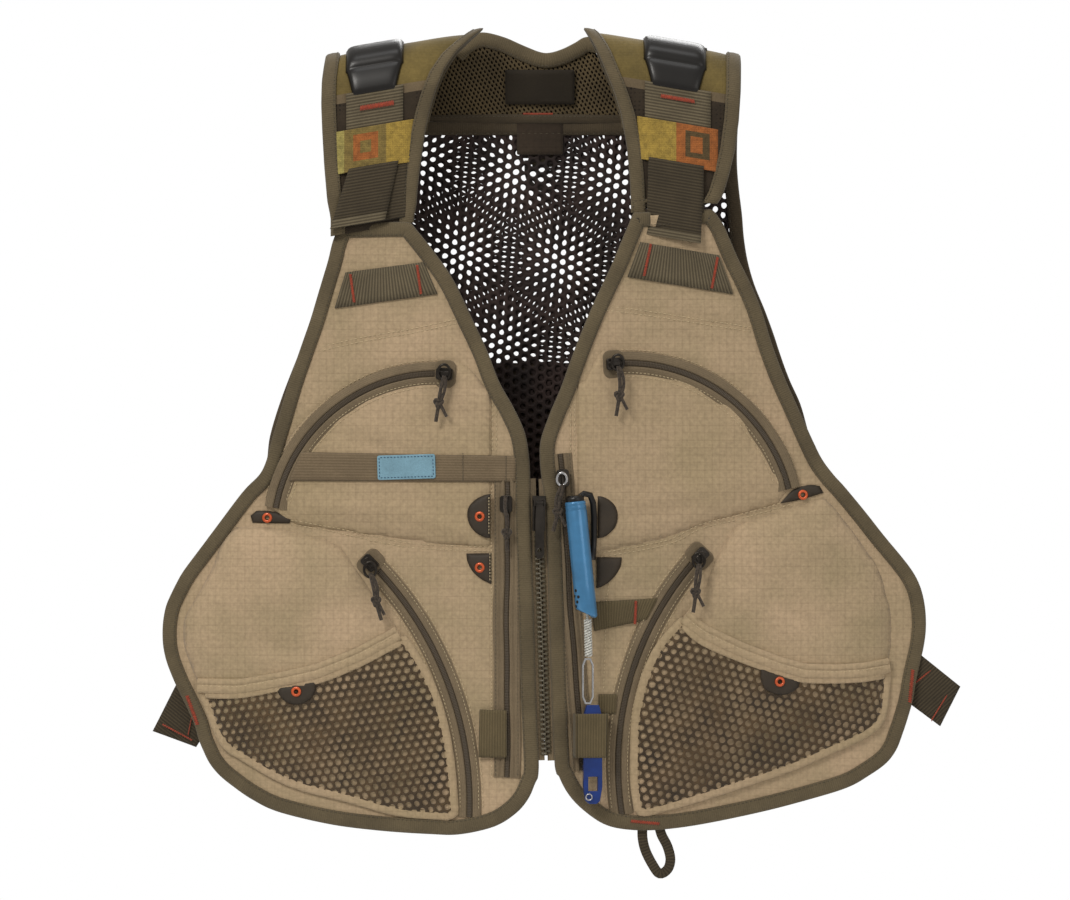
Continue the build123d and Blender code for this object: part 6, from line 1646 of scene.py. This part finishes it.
ci = inset(CO, 1.0)
COL = CO.copy()
COL[:, 1] = np.minimum(COL[:, 1], np.interp(COL[:, 0], NECK[:, 0], NECK[:, 1]) - 2.0)
vv, ff = tri_fill(COL, 4.5)
o = make("collar_lining_cloth", np.stack([vv[:, 0] / 1000, np.full(len(vv), -0.0053), vv[:, 1] / 1000], -1), [tuple(reversed(x)) for x in ff], M_COLBACK, "back")
solidify(o, 0.7)
perforated("collar_mesh_net", CO, 3.1, lambda X, Z: np.full(len(X), 1.0), lambda X, Z: np.stack([X / 1000, -0.0083 + 0.0003 * np.sin(X / 19.0), Z / 1000], -1), M_CMESH, 0.8, "back", margin=0.4,
           rot=math.radians(12), squish=(1.2, 0.66, math.radians(115)), replaces=["collar_mesh"], keepout=under_neck)
# back neck binding: along the collar's top edge
top = [px(*p) for p in ((452, 47), (463, 36), (476, 29.5), (487, 29), (505, 34), (522, 41.5), (540, 48.5), (551, 49), (564, 45), (576, 39), (588, 33), (606, 37), (618, 42))]
tp = smooth(np.array(top), 2.0, 60, closed=False)
n = normals2(tp, closed=False)
rows = len(tp)
prof = [(-9.5, -8.9), (-9.5, -9.7), (-5.0, -10.2), (-0.5, -9.9), (0.9, -8.6), (1.2, -6.0), (0.6, -3.8), (-4.0, -3.4), (-9.0, -3.6), (-9.5, -4.4)]
co = np.zeros((rows, len(prof), 3))
uv = np.zeros((rows, len(prof), 2))
al = arclen(tp)
for j, (w, y) in enumerate(prof):
    p = tp + n * w
    co[:, j] = np.stack([p[:, 0], np.full(rows, y), p[:, 1]], -1) / 1000
    uv[:, j] = np.stack([al, np.full(rows, j * 2.5)], -1) / 1000
flip_fix(make("collar_binding_tape", co.reshape(-1, 3), grid_faces(rows, len(prof)), M_BIND, "back", uvs=uv.reshape(-1, 2)))
sb = Stitches()
p = tp + n * -8.2
sb.line3(np.stack([p[:, 0], np.full(rows, -9.85), p[:, 1]], -1) / 1000, (0, -1, 0), spacing=3.0, length=2.0, r=0.25)
# seam tape under the collar
sx = np.linspace((428 - 545) * 0.7, (634 - 545) * 0.7, 40)
sz = (50 - (116.5 - 2.0 * np.cos((sx + 10) / 60))) * 0.7
v = []
for x, z in zip(sx, sz):
    for dz, y in ((3.2, -8.6), (3.0, -9.5), (0.6, -9.8), (-2.6, -9.4), (-3.4, -8.2), (-3.4, -4.6)):
        v.append((x / 1000, y / 1000, (z + dz) / 1000))
flip_fix(make("collar_seam_tape", v, grid_faces(40, 6), M_BIND_D, "back"))
sb.line3(np.stack([sx, np.full(40, -9.85), sz + 1.6], -1) / 1000, (0, -1, 0), spacing=3.0, length=2.0, r=0.22)
sb.build("collar_stitch", M_THREAD_D, "back", slot="binding")

# blank neck label with a woven border
lb = rounded_rect(-3.5, -22.8, 49, 24.5, 1.2, ang=0.0)
o = []
for nm_, poly, y0, m_ in (("neck_label_cloth", lb, -9.6, M_BLACKLAB),):
    vv, ff = tri_fill(poly, 3.0)
    yy = y0 - 0.8 + 0.35 * np.sin(vv[:, 0] / 9.0)
    a = make(nm_, np.stack([vv[:, 0], yy, vv[:, 1]], -1) / 1000, [tuple(reversed(x)) for x in ff], m_, "back", replaces=["neck_label"])
    solidify(a, 0.7)
sl = Stitches()
for inn in (1.3, 2.2):
    li = inset(lb, inn)
    li = np.vstack([li, li[:1]])
    sl.line3(np.stack([li[:, 0], -10.45 + 0.35 * np.sin(li[:, 0] / 9.0), li[:, 1]], -1) / 1000, (0, -1, 0), spacing=1.8, length=1.3, r=0.2)
sl.build("neck_label_border", M_THREAD_D, "back", slot="label")

refine("hanger_loop_tape", "hanger_loop", M_WEB_D, "back", 0.3, 2)
refine("d_ring_tab_tape", "d_ring_tab", M_WEB_D, "back", 0.4, 2)


# ---------------------------------------------------------------- shoulders
PXM = {"L": -98.0, "R": 83.0}
TILT = {"L": -math.radians(9.6), "R": math.radians(9.6)}
ZC = 6.5 - 36.0
RA = 36.0
PADO = {"L": PAD_L, "R": PAD_R_OUT}
LEN_ARC = math.pi * RA


def chain_edges(poly):
    p = np.array(poly, float)

    def f(z):
        zz = min(max(z, p[:, 1].min() + 0.4), p[:, 1].max() - 0.4)
        xs = []
        for a, b in zip(p, np.roll(p, -1, 0)):
            if (a[1] > zz) != (b[1] > zz):
                xs.append(a[0] + (zz - a[1]) * (b[0] - a[0]) / (b[1] - a[1]))
        return min(xs), max(xs)
    return f


EDGE = {}
for _s in ("L", "R"):
    poly = PADO[_s]
    f0 = chain_edges(poly)
    out0 = poly[0]
    topz = max(poly, key=lambda a: a[1])

    def fe(z, f0=f0, out0=out0, topz=topz, side=_s):
        lo_x, hi_x = f0(z)
        if side == "L":
            if z > out0[1] - 1:
                lo_x = out0[0]
            if z > topz[1] - 1:
                hi_x = topz[0]
        else:
            if z > out0[1] - 1:
                hi_x = out0[0]
            if z > topz[1] - 1:
                lo_x = topz[0]
        return lo_x, hi_x
    EDGE[_s] = fe


def arch_world(side, xl, l, r):
    """Local x, path length l up the front (0 at the springing), radius r, to world mm."""
    if l < 0:
        y, z = -r, l
    elif l > LEN_ARC:
        m = l - LEN_ARC
        y, z = r - min(1.0, m / 26.0) * (PXM[side] + xl) ** 2 / 1600.0, -m
    else:
        t = l / RA
        y, z = -r * math.cos(t), r * math.sin(t)
    t = TILT[side]
    return (PXM[side] + xl * math.cos(t) + z * math.sin(t), PAD_YC + y, ZC - xl * math.sin(t) + z * math.cos(t))


PAD_YC = -40.0


def arch_at(side, u, l, r, inset_mm=0.0, x_abs=None):
    """A place on the shoulder arch at fraction u between the pad's edges, or at world x."""
    xl = 0.0
    for _ in range(6):
        X, Y, Z = arch_world(side, xl, l, r)
        if x_abs is not None:
            tx = x_abs
        else:
            a, b = EDGE[side](Z)
            tx = a + inset_mm + u * (b - a - 2 * inset_mm)
        xl += (tx - X) / math.cos(TILT[side])
    return np.array(arch_world(side, xl, l, r)) / 1000.0


def l_of_z(z):
    """Path length up the front leg for a world height near the pad's middle."""
    zz = z - ZC
    if zz <= 0:
        return zz
    return RA * math.asin(min(1, zz / RA))


def arch_grid(side, ls, us, rfn, **k):
    co = np.zeros((len(ls), len(us), 3))
    for i, l in enumerate(ls):
        for j, u in enumerate(us):
            co[i, j] = arch_at(side, u, l, rfn(u, l), **k)
    return co


L_FOOT = {"L": -90.5, "R": -86.5}
L_BACK = LEN_ARC + 30.0


def bl(o, side):
    """Take the piece off its body and bake its place into its mesh, although the front legs are sewn to the fronts."""
    if o.parent is not None:
        o.parent = None
        for kk in ("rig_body",):
            if kk in o:
                del o[kk]
    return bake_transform(o)


for side in ("L", "R"):
    w = WORD[side]
    ls = np.concatenate([np.arange(L_FOOT[side], 0, 4.0), np.linspace(0, LEN_ARC, 36), np.arange(LEN_ARC + 3, L_BACK, 4.0)])
    us = np.linspace(0, 1, 30)
    sd = 31.0 if side == "L" else 47.0

    def r_out(u, l, sd=sd):
        puff = 1.6 * (1 - abs(2 * u - 1) ** 4)
        nz = 0.6 * noise.noise(Vector((u * 3.0, l / 22.0, sd)))
        z = 34.5 + puff + nz
        if abs(l - 2.0) < 3.2:
            z -= 0.7 * math.exp(-((l - 2.0) / 1.6) ** 2)
        return z

    def r_in(u, l):
        return 31.0 - 0.8 * (1 - abs(2 * u - 1) ** 4)

    a = arch_grid(side, ls, us, r_out, inset_mm=3.0)
    b = arch_grid(side, ls, us, r_in, inset_mm=3.0)
    nr, nc = a.shape[:2]
    v = np.concatenate([a.reshape(-1, 3), b.reshape(-1, 3)])
    N_ = nr * nc
    f = grid_faces(nr, nc)
    idx = []
    for i in range(nr - 1):
        l = ls[i]
        m_i = 2 if l < l_of_z((50 - 95) * 0.7) else (1 if l < l_of_z((50 - 86) * 0.7) else 0)
        if l > LEN_ARC - 20:
            m_i = 2
        idx += [m_i] * (nc - 1)
    f2 = [tuple(reversed([N_ + q_ for q_ in x])) for x in f]
    rim = []
    for i in range(nr - 1):
        rim.append((i * nc, (i + 1) * nc, N_ + (i + 1) * nc, N_ + i * nc))
        rim.append((i * nc + nc - 1, N_ + i * nc + nc - 1, N_ + (i + 1) * nc + nc - 1, (i + 1) * nc + nc - 1))
    for j in range(nc - 1):
        rim.append((j, N_ + j, N_ + j + 1, j + 1))
        rim.append(((nr - 1) * nc + j, (nr - 1) * nc + j + 1, N_ + (nr - 1) * nc + j + 1, N_ + (nr - 1) * nc + j))
    uv = np.zeros((N_ * 2, 2))
    o = make(f"shoulder_pad_{w}_cloth", v, f + f2 + rim, M_PADY, None, uvs=uv, mats=[M_PADY, M_PADB, M_PADM], mat_idx=idx + [2] * (len(f2) + len(rim)), replaces=["shoulder_pads"] if side == "L" else ())
    flip_fix(o)
    bl(o, side)
    # binding down both edges
    parts = []
    for e in (0, 1):
        rr, cc_ = [], []
        k_in = 9.4
        prof = [(k_in, 29.8), (k_in * 0.5, 29.4), (-0.4, 30.2), (-0.9, 33.0), (-0.5, 36.2), (0.8, 37.3), (4.0, 37.7), (8.4, 37.4), (k_in, 36.6), (k_in, 35.0)]
        co = np.zeros((len(ls), len(prof), 3))
        uvs = np.zeros((len(ls), len(prof), 2))
        for i, l in enumerate(ls):
            for j, (wv, r) in enumerate(prof):
                X0 = arch_at(side, e, l, r)
                sgn = 1 if e == 0 else -1
                co[i, j] = arch_at(side, 0, l, r, x_abs=X0[0] * 1000 + sgn * wv)
                uvs[i, j] = (l / 1000, j * 2.0 / 1000)
        pc = make(f"shoulder_binding_{w}_{e}", co.reshape(-1, 3), grid_faces(len(ls), len(prof)), M_BIND, None, uvs=uvs.reshape(-1, 2))
        flip_fix(pc)
        parts.append(pc)
    o = join(f"shoulder_binding_{w}_tape", parts)
    if side == "L":
        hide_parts("edge_bindings")
    bl(o, side)
    ss = Stitches()
    for e in (0, 1):
        pl = []
        for l in ls:
            X0 = arch_at(side, e, l, 37.5)
            pl.append(arch_at(side, 0, l, 37.6, x_abs=X0[0] * 1000 + (8.0 if e == 0 else -8.0)))
        ss.line3(pl, (0, -1, 0.3), spacing=3.0, length=2.1, r=0.25)
    o = ss.build(f"shoulder_binding_{w}_stitch", M_THREAD_D, None, slot="binding")
    bl(o, side)


def arch_tape(name, side, corners_fn, ls, material, r0, thick, replaces=(), nu=12, wavy=0.0, mats=None, idx_fn=None, bend_blend=True, edge=0.5, droop=0.0):
    """Webbing round the arch: corners_fn(l) gives world x at its left and right edges."""
    us = np.linspace(0, 1, nu)
    top = np.zeros((len(ls), nu, 3))
    bot = np.zeros_like(top)
    uv = np.zeros((len(ls), nu, 2))
    for i, l in enumerate(ls):
        xa, xb = corners_fn(l)
        for j, u in enumerate(us):
            x = xa + u * (xb - xa)
            e = edge if j in (0, nu - 1) else 0.0
            rr = (r0(l) if callable(r0) else r0) - droop * abs(2 * u - 1) ** 7
            top[i, j] = arch_at(side, 0, l, rr + thick - e + wavy * math.sin(l / 5.0), x_abs=x)
            bot[i, j] = arch_at(side, 0, l, rr - 0.2, x_abs=x)
            uv[i, j] = (l / 1000, x / 1000)
    nr, nc = top.shape[:2]
    N_ = nr * nc
    v = np.concatenate([top.reshape(-1, 3), bot.reshape(-1, 3)])
    f = grid_faces(nr, nc)
    f2 = [tuple(reversed([N_ + q_ for q_ in x])) for x in f]
    rim = []
    for i in range(nr - 1):
        rim.append((i * nc, (i + 1) * nc, N_ + (i + 1) * nc, N_ + i * nc))
        rim.append((i * nc + nc - 1, N_ + i * nc + nc - 1, N_ + (i + 1) * nc + nc - 1, (i + 1) * nc + nc - 1))
    for j in range(nc - 1):
        rim.append((j, N_ + j, N_ + j + 1, j + 1))
        rim.append(((nr - 1) * nc + j, (nr - 1) * nc + j + 1, N_ + (nr - 1) * nc + j + 1, N_ + (nr - 1) * nc + j))
    mi = None
    if idx_fn:
        mi = [idx_fn(ls[i], us[j]) for i in range(nr - 1) for j in range(nc - 1)] + [0] * (len(f2) + len(rim))
    o = make(name, v, f + f2 + rim, material, None, uvs=np.concatenate([uv.reshape(-1, 2)] * 2), replaces=replaces, mats=mats, mat_idx=mi)
    flip_fix(o)
    if bend_blend:
        bl(o, side)
    else:
        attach(o, "back")
    return o


def xw(u):
    return (u - 545.0) * 0.7


def zw(v):
    return (50.0 - v) * 0.7


def lz(v):
    return l_of_z(zw(v))


for side in ("L", "R"):
    w = WORD[side]
    if side == "L":
        tail = [(348, 160), (398, 160), (385, 219), (330, 209)]
        upper = (346, 403)
        jq = (333, 414)
        under = (352, 408)
        cuts = [(334, 344, "pale"), (344, 386, "olive"), (386, 413, "gold")]
        osq = (353, 377)
    else:
        tail = [(649, 160), (704, 160), (701, 236), (646, 233)]
        upper = (645, 711)
        jq = (637, 719)
        under = (648, 704)
        cuts = [(637, 676, "gold"), (676, 719, "orange")]
        osq = (685, 709)
    vs = np.linspace(84, 122, 20)
    arch_tape(f"shoulder_webbing_{w}_upper", side, lambda l, a=upper: (xw(a[0]), xw(a[1])), [lz(v_) for v_ in vs[::-1]], M_WEB, 36.4, 1.3, replaces=["shoulder_webbings"] if side == "L" else ())
    # over the top of the shoulder, behind the buckle
    arch_tape(f"shoulder_webbing_{w}_over", side, lambda l, a=upper: (xw(a[0]) + 2, xw(a[1]) - 2), np.linspace(RA * math.radians(76), L_BACK - 3, 40), M_WEB_D, 36.7, 1.4)
    # jacquard band with its woven squares
    def jx(l, u, cuts=cuts, osq=osq, jq=jq, side=side):
        uu = jq[0] + u * (jq[1] - jq[0])
        vv_ = 50 - (l + ZC) / 0.7 if l < 0 else 120
        if osq[0] <= uu <= osq[1] and 126 <= vv_ <= 152:
            if side == "L":
                return 3 if not (osq[0] + 6 < uu < osq[1] - 6 and 133 < vv_ < 145) else 2
            return 5 if not (osq[0] + 5 < uu < osq[1] - 7 and 131 < vv_ < 147) else 3
        for a, b, c_ in cuts:
            if a <= uu < b or b == jq[1]:
                return {"pale": 1, "olive": 2, "orange": 3, "gold": 4}[c_]
        return 4
    vs = np.linspace(119.5, 161.5, 43)
    arch_tape(f"shoulder_band_{w}_jacquard", side, lambda l, a=jq: (xw(a[0]), xw(a[1])), [lz(v_) for v_ in vs[::-1]], M_JQ["olive"], 37.6, 1.3, nu=82, mats=[M_JQ["dark"], M_JQ["pale"], M_JQ["olive"], M_JQ["orange"], M_JQ["gold"], M_JQ["dark"]],
              idx_fn=jx, replaces=["shoulder_bands"] if side == "L" else (), edge=0.3, droop=3.4)
    # under webbing and the strap's free tail
    vs = np.linspace(158, 215 if side == "L" else 205, 24)
    arch_tape(f"shoulder_webbing_{w}_under", side, lambda l, a=under: (xw(a[0]), xw(a[1])), [lz(v_) for v_ in vs[::-1]], M_WEB_D, 36.4, 1.4)

    def tail_x(l, tail=tail):
        v_ = 50 - (l + ZC) / 0.7
        t = (v_ - 160) / ((tail[2][1] + tail[3][1]) / 2 - 160)
        return (xw(tail[0][0] + (tail[3][0] - tail[0][0]) * t), xw(tail[1][0] + (tail[2][0] - tail[1][0]) * t))
    v1 = (tail[2][1] + tail[3][1]) / 2
    vs = np.linspace(158, v1, 44)
    lift = lambda l: 38.2 + 2.2 * max(0.0, (50 - (l + ZC) / 0.7 - 160) / (v1 - 160)) ** 1.6
    arch_tape(f"shoulder_tail_{w}_tape", side, tail_x, [lz(v_) for v_ in vs[::-1]], M_WEB_D, lift, 1.4, wavy=0.12)
    vs = np.linspace(v1 - 8, v1 + 0.6, 8)
    lift2 = lambda l: lift(l) + 1.4
    arch_tape(f"shoulder_tail_{w}_fold", side, tail_x, [lz(v_) for v_ in vs[::-1]], M_WEB, lift2, 1.2)
    sr = Stitches()
    (ua, ub, va, vb) = (360, 393, 97.5, 103) if side == "L" else (661, 694, 93.5, 98)
    i = 0
    for uu in np.arange(ua, ub, 0.8):
        za, zb = (va, vb) if i % 2 else (vb, va)
        A = arch_at(side, 0, lz(za), 38.9, x_abs=xw(uu))
        Bq = arch_at(side, 0, lz(zb), 38.9, x_abs=xw(uu + 0.8))
        sr.add(A, Bq, (0, -1, 0.2), 0.0004)
        i += 1
    o = sr.build(f"shoulder_bartack_{w}", M_RED, None, slot="binding")
    bl(o, side)

# moulded buckle bodies: a rolled bar over a tapered lip
for side, ua, ub in (("L", 345.0, 403.0), ("R", 644.0, 707.0)):
    w = WORD[side]
    prof = [(3.6, 36.9), (4.0, 38.0), (5.2, 38.9), (8, 39.3), (13, 39.7), (18, 40.0), (21.2, 40.1), (22.2, 39.7), (23.0, 40.4), (24.5, 41.6), (27.5, 42.6), (31, 42.9), (36, 42.6), (41, 42.1), (46, 41.3), (50, 40.2), (53, 38.6), (54.5, 37.0)]
    ls = np.array([p[0] for p in prof])
    us = np.linspace(0, 1, 26)
    top_, bot_ = [], []
    for l, r in prof:
        for u in us:
            k = (1 - abs(2 * u - 1) ** 9) ** 0.6
            nar = 1.0 if l > 22 else 0.96 - 0.012 * (22 - l)
            x = xw((ua + ub) / 2 + (u - 0.5) * (ub - ua) * nar)
            top_.append(arch_at(side, 0, l, 36.9 + (r - 36.9) * k, x_abs=x))
            bot_.append(arch_at(side, 0, l, 36.5, x_abs=x))
    nr, nc = len(prof), len(us)
    N_ = nr * nc
    f = grid_faces(nr, nc)
    f2 = [tuple(reversed([N_ + q_ for q_ in x])) for x in f]
    rim = []
    for i in range(nr - 1):
        rim.append((i * nc, (i + 1) * nc, N_ + (i + 1) * nc, N_ + i * nc))
        rim.append((i * nc + nc - 1, N_ + i * nc + nc - 1, N_ + (i + 1) * nc + nc - 1, (i + 1) * nc + nc - 1))
    for j in range(nc - 1):
        rim.append((j, N_ + j, N_ + j + 1, j + 1))
        rim.append(((nr - 1) * nc + j, (nr - 1) * nc + j + 1, N_ + (nr - 1) * nc + j + 1, N_ + (nr - 1) * nc + j))
    o = make(f"shoulder_buckle_{w}_body", np.array(top_ + bot_), f + f2 + rim, M_PLAST, f"shoulder_buckle_{w}", replaces=[f"shoulder_buckle_{w}"])
    flip_fix(o)
    # end pins: their places are worked out, but none is built
    for e, uu in ((0, ua - 0.8), (1, ub + 0.8)):
        c = arch_at(side, 0, 34.0, 39.8, x_abs=xw(uu))
        turned(f"shoulder_buckle_{w}_pin_{e}", c + np.array([-0.0012, 0, 0]), c + np.array([0.0012, 0, 0]), [(0, 0.05), (0, 2.2), (0.5, 2.7), (1.9, 2.7), (2.4, 2.2), (2.4, 0.05)], M_PLAST, f"shoulder_buckle_{w}", seg=24) if False else None

# ---------------------------------------------------------------- side straps
for side, poly in (("L", SIDE_L), ("R", SIDE_R)):
    w = WORD[side]
    p = smooth(LLB(poly), 3.0, 25)
    if area2(p) < 0:
        p = p[::-1]
    vv, ff = tri_fill(p, 4.0)
    y = -45.2 + 1.2 * np.sin(vv[:, 0] / 14.0 + vv[:, 1] / 20.0)
    d0 = np.array([-1.0, -1.25]) if side == "L" else np.array([1.0, -1.1])
    d0 /= np.linalg.norm(d0)
    uv = np.stack([vv @ d0, vv @ np.array([-d0[1], d0[0]])], -1) / 1000
    o = make(f"side_strap_{w}_tape", np.stack([vv[:, 0], y, vv[:, 1]], -1) / 1000, [tuple(reversed(x)) for x in ff], M_WEB_D, "back", uvs=uv, replaces=["side_straps"] if side == "L" else ())
    solidify(o, 1.5)
sr = Stitches()
for (u0, v0, u1, v1) in ((186, 736, 191, 712), (918, 684, 938, 668), (160, 726, 190, 742), (934, 722, 950, 696)):
    A = np.array([xw(u0), -47.2, zw(v0)])
    Bq = np.array([xw(u1), -47.2, zw(v1)])
    k = int(np.linalg.norm(Bq - A) / 0.8)
    for i in range(k):
        a_ = A + (Bq - A) * i / k
        b_ = A + (Bq - A) * (i + 1) / k
        dz = 0.8 if i % 2 else -0.8
        sr.add((a_ + np.array([0, 0, dz])) / 1000, (b_ + np.array([0, 0, -dz])) / 1000, (0, -1, 0), 0.00038)
sr.build("side_strap_bartacks", M_RED, "back", slot="binding")

# hem and side bartacks on the fronts
ST_RED["L"].bartack("L", q(186, 697), q(197, 727), 3.0, lambda S, Z: np.full(len(S), 3.4), r=0.4, pitch=0.7)
ST_RED["R"].bartack("R", q(914, 671), q(911, 705), 3.0, lambda S, Z: np.full(len(S), 3.4), r=0.4, pitch=0.7)
ST_RED["R"].bartack("R", q(630, 821), q(660, 824), 2.6, lambda S, Z: np.full(len(S), 3.5), r=0.4, pitch=0.7)
for side in ("L", "R"):
    w = WORD[side]
    ST_CREAM[side].build(f"front_{w}_pale_stitch", M_THREAD, BODY[side], slot="binding")
    ST_DARK[side].build(f"front_{w}_dark_stitch", M_THREAD_D, BODY[side], slot="binding")
    ST_RED[side].build(f"front_{w}_bartacks", M_RED, BODY[side], slot="binding")


# ---------------------------------------------------------------- side gussets between fronts and back
def gusset(side):
    """A strip of mesh cloth that closes the side under the arm."""
    out = OUT[side]
    w = WORD[side]
    rows = []
    sg = -1 if side == "L" else 1
    zs = np.linspace(-240, -405, 30)
    for z in zs:
        # outer edge of the front and of the back at this height
        def ext(poly, z):
            xs = []
            for a, b in zip(poly, np.roll(poly, -1, 0)):
                if (a[1] > z) != (b[1] > z):
                    xs.append(a[0] + (z - a[1]) * (b[0] - a[0]) / (b[1] - a[1]))
            return (min(xs) if side == "L" else max(xs)) if xs else None
        s = ext(out, z)
        xb = ext(BK, z)
        if s is None or xb is None:
            continue
        pf = P3(s - sg * 4.0, z, -1.2, side)
        pb = B3(xb - sg * 4.0, z, -3.0)
        r = []
        for t in np.linspace(0, 1, 12):
            p = pf * (1 - t) + pb * t
            sag = 4 * t * (1 - t)
            p = p + np.array([-sg * 0.004 * sag + 0.0006 * math.sin(z / 9.0) * sag, 0, 0])
            r.append(p)
        rows.append(r)
    v = np.array(rows)
    nr, nc = v.shape[:2]
    o = make(f"side_gusset_{w}_cloth", v.reshape(-1, 3), grid_faces(nr, nc), M_CARGO_SHADE, None)
    solidify(o, 0.9, 0.0)
    flip_fix(o)
    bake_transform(o)
    return o


for _s in ("L", "R"):
    gusset(_s)

# evaluate each cloth sheet's mesh once; nothing is kept
def sheet_of(name):
    """Evaluate a sewn sheet's mesh and free it again; nothing is kept."""
    o = bpy.data.objects[name]
    ev = o.evaluated_get(bpy.context.evaluated_depsgraph_get())
    me = ev.to_mesh()
    ev.to_mesh_clear()


for w in ("left", "right"):
    sheet_of(f"front_panel_{w}_cloth")
    sheet_of(f"upper_pocket_{w}_cloth")
    sheet_of(f"lower_pocket_{w}_cloth")
    sheet_of(f"mesh_pocket_{w}_net")
sheet_of("back_mesh_panel_net")
sheet_of("back_mesh_panel_lining")
sheet_of("collar_mesh_net")
sheet_of("collar_lining_cloth")


# ---------------------------------------------------------------- floor, light, world
bpy.ops.mesh.primitive_plane_add(size=1, location=(0, 0.0, -0.665))
fl = bpy.context.object
fl.name = "floor"
fl.scale = (1.8, 0.9, 1)
mf = bpy.data.materials.new("floor_white")
mf.use_nodes = True
nf = mf.node_tree.nodes
nf["Principled BSDF"].inputs["Base Color"].default_value = (0.86, 0.86, 0.86, 1)
nf["Principled BSDF"].inputs["Roughness"].default_value = 0.9
nzf = nf.new("ShaderNodeTexNoise")
nzf.inputs["Scale"].default_value = 30
bf = nf.new("ShaderNodeBump")
bf.inputs["Strength"].default_value = 0.02
mf.node_tree.links.new(nzf.outputs["Fac"], bf.inputs["Height"])
mf.node_tree.links.new(bf.outputs["Normal"], nf["Principled BSDF"].inputs["Normal"])
fl.data.materials.append(mf)

world = bpy.data.worlds.new("world")
bpy.context.scene.world = world
world.use_nodes = True
wn = world.node_tree.nodes
wl = world.node_tree.links
wn.clear()
out = wn.new("ShaderNodeOutputWorld")
mixs = wn.new("ShaderNodeMixShader")
lp = wn.new("ShaderNodeLightPath")
b1 = wn.new("ShaderNodeBackground")
b1.inputs["Color"].default_value = (1.0, 0.97, 0.92, 1)
b1.inputs["Strength"].default_value = 0.46
b2 = wn.new("ShaderNodeBackground")
b2.inputs["Color"].default_value = (1, 1, 1, 1)
b2.inputs["Strength"].default_value = 1.0
wl.new(lp.outputs["Is Camera Ray"], mixs.inputs["Fac"])
wl.new(b1.outputs["Background"], mixs.inputs[1])
wl.new(b2.outputs["Background"], mixs.inputs[2])
wl.new(mixs.outputs["Shader"], out.inputs["Surface"])


def area(name, loc_, size, power, target=(0, -0.05, -0.3), col=(1, 1, 1)):
    ld = bpy.data.lights.new(name, "AREA")
    ld.shape = "RECTANGLE"
    ld.size, ld.size_y = size
    ld.energy = power
    ld.color = col
    o = bpy.data.objects.new(name, ld)
    bpy.context.scene.collection.objects.link(o)
    o.location = loc_
    d = Vector(target) - Vector(loc_)
    o.rotation_euler = d.to_track_quat("-Z", "Y").to_euler()
    return o


area("key", (-1.3, -2.2, 1.5), (1.0, 0.8), 42, col=(1.0, 0.97, 0.92))
area("fill", (1.8, -2.4, 0.3), (1.4, 1.4), 9, col=(1.0, 0.97, 0.93))
area("rim_back", (0.4, 1.8, 1.2), (1.4, 0.8), 20)
area("top", (0.0, -0.6, 2.2), (1.6, 0.8), 10)
bpy.context.scene.view_settings.view_transform = "Standard"
bpy.context.scene.view_settings.look = "None"
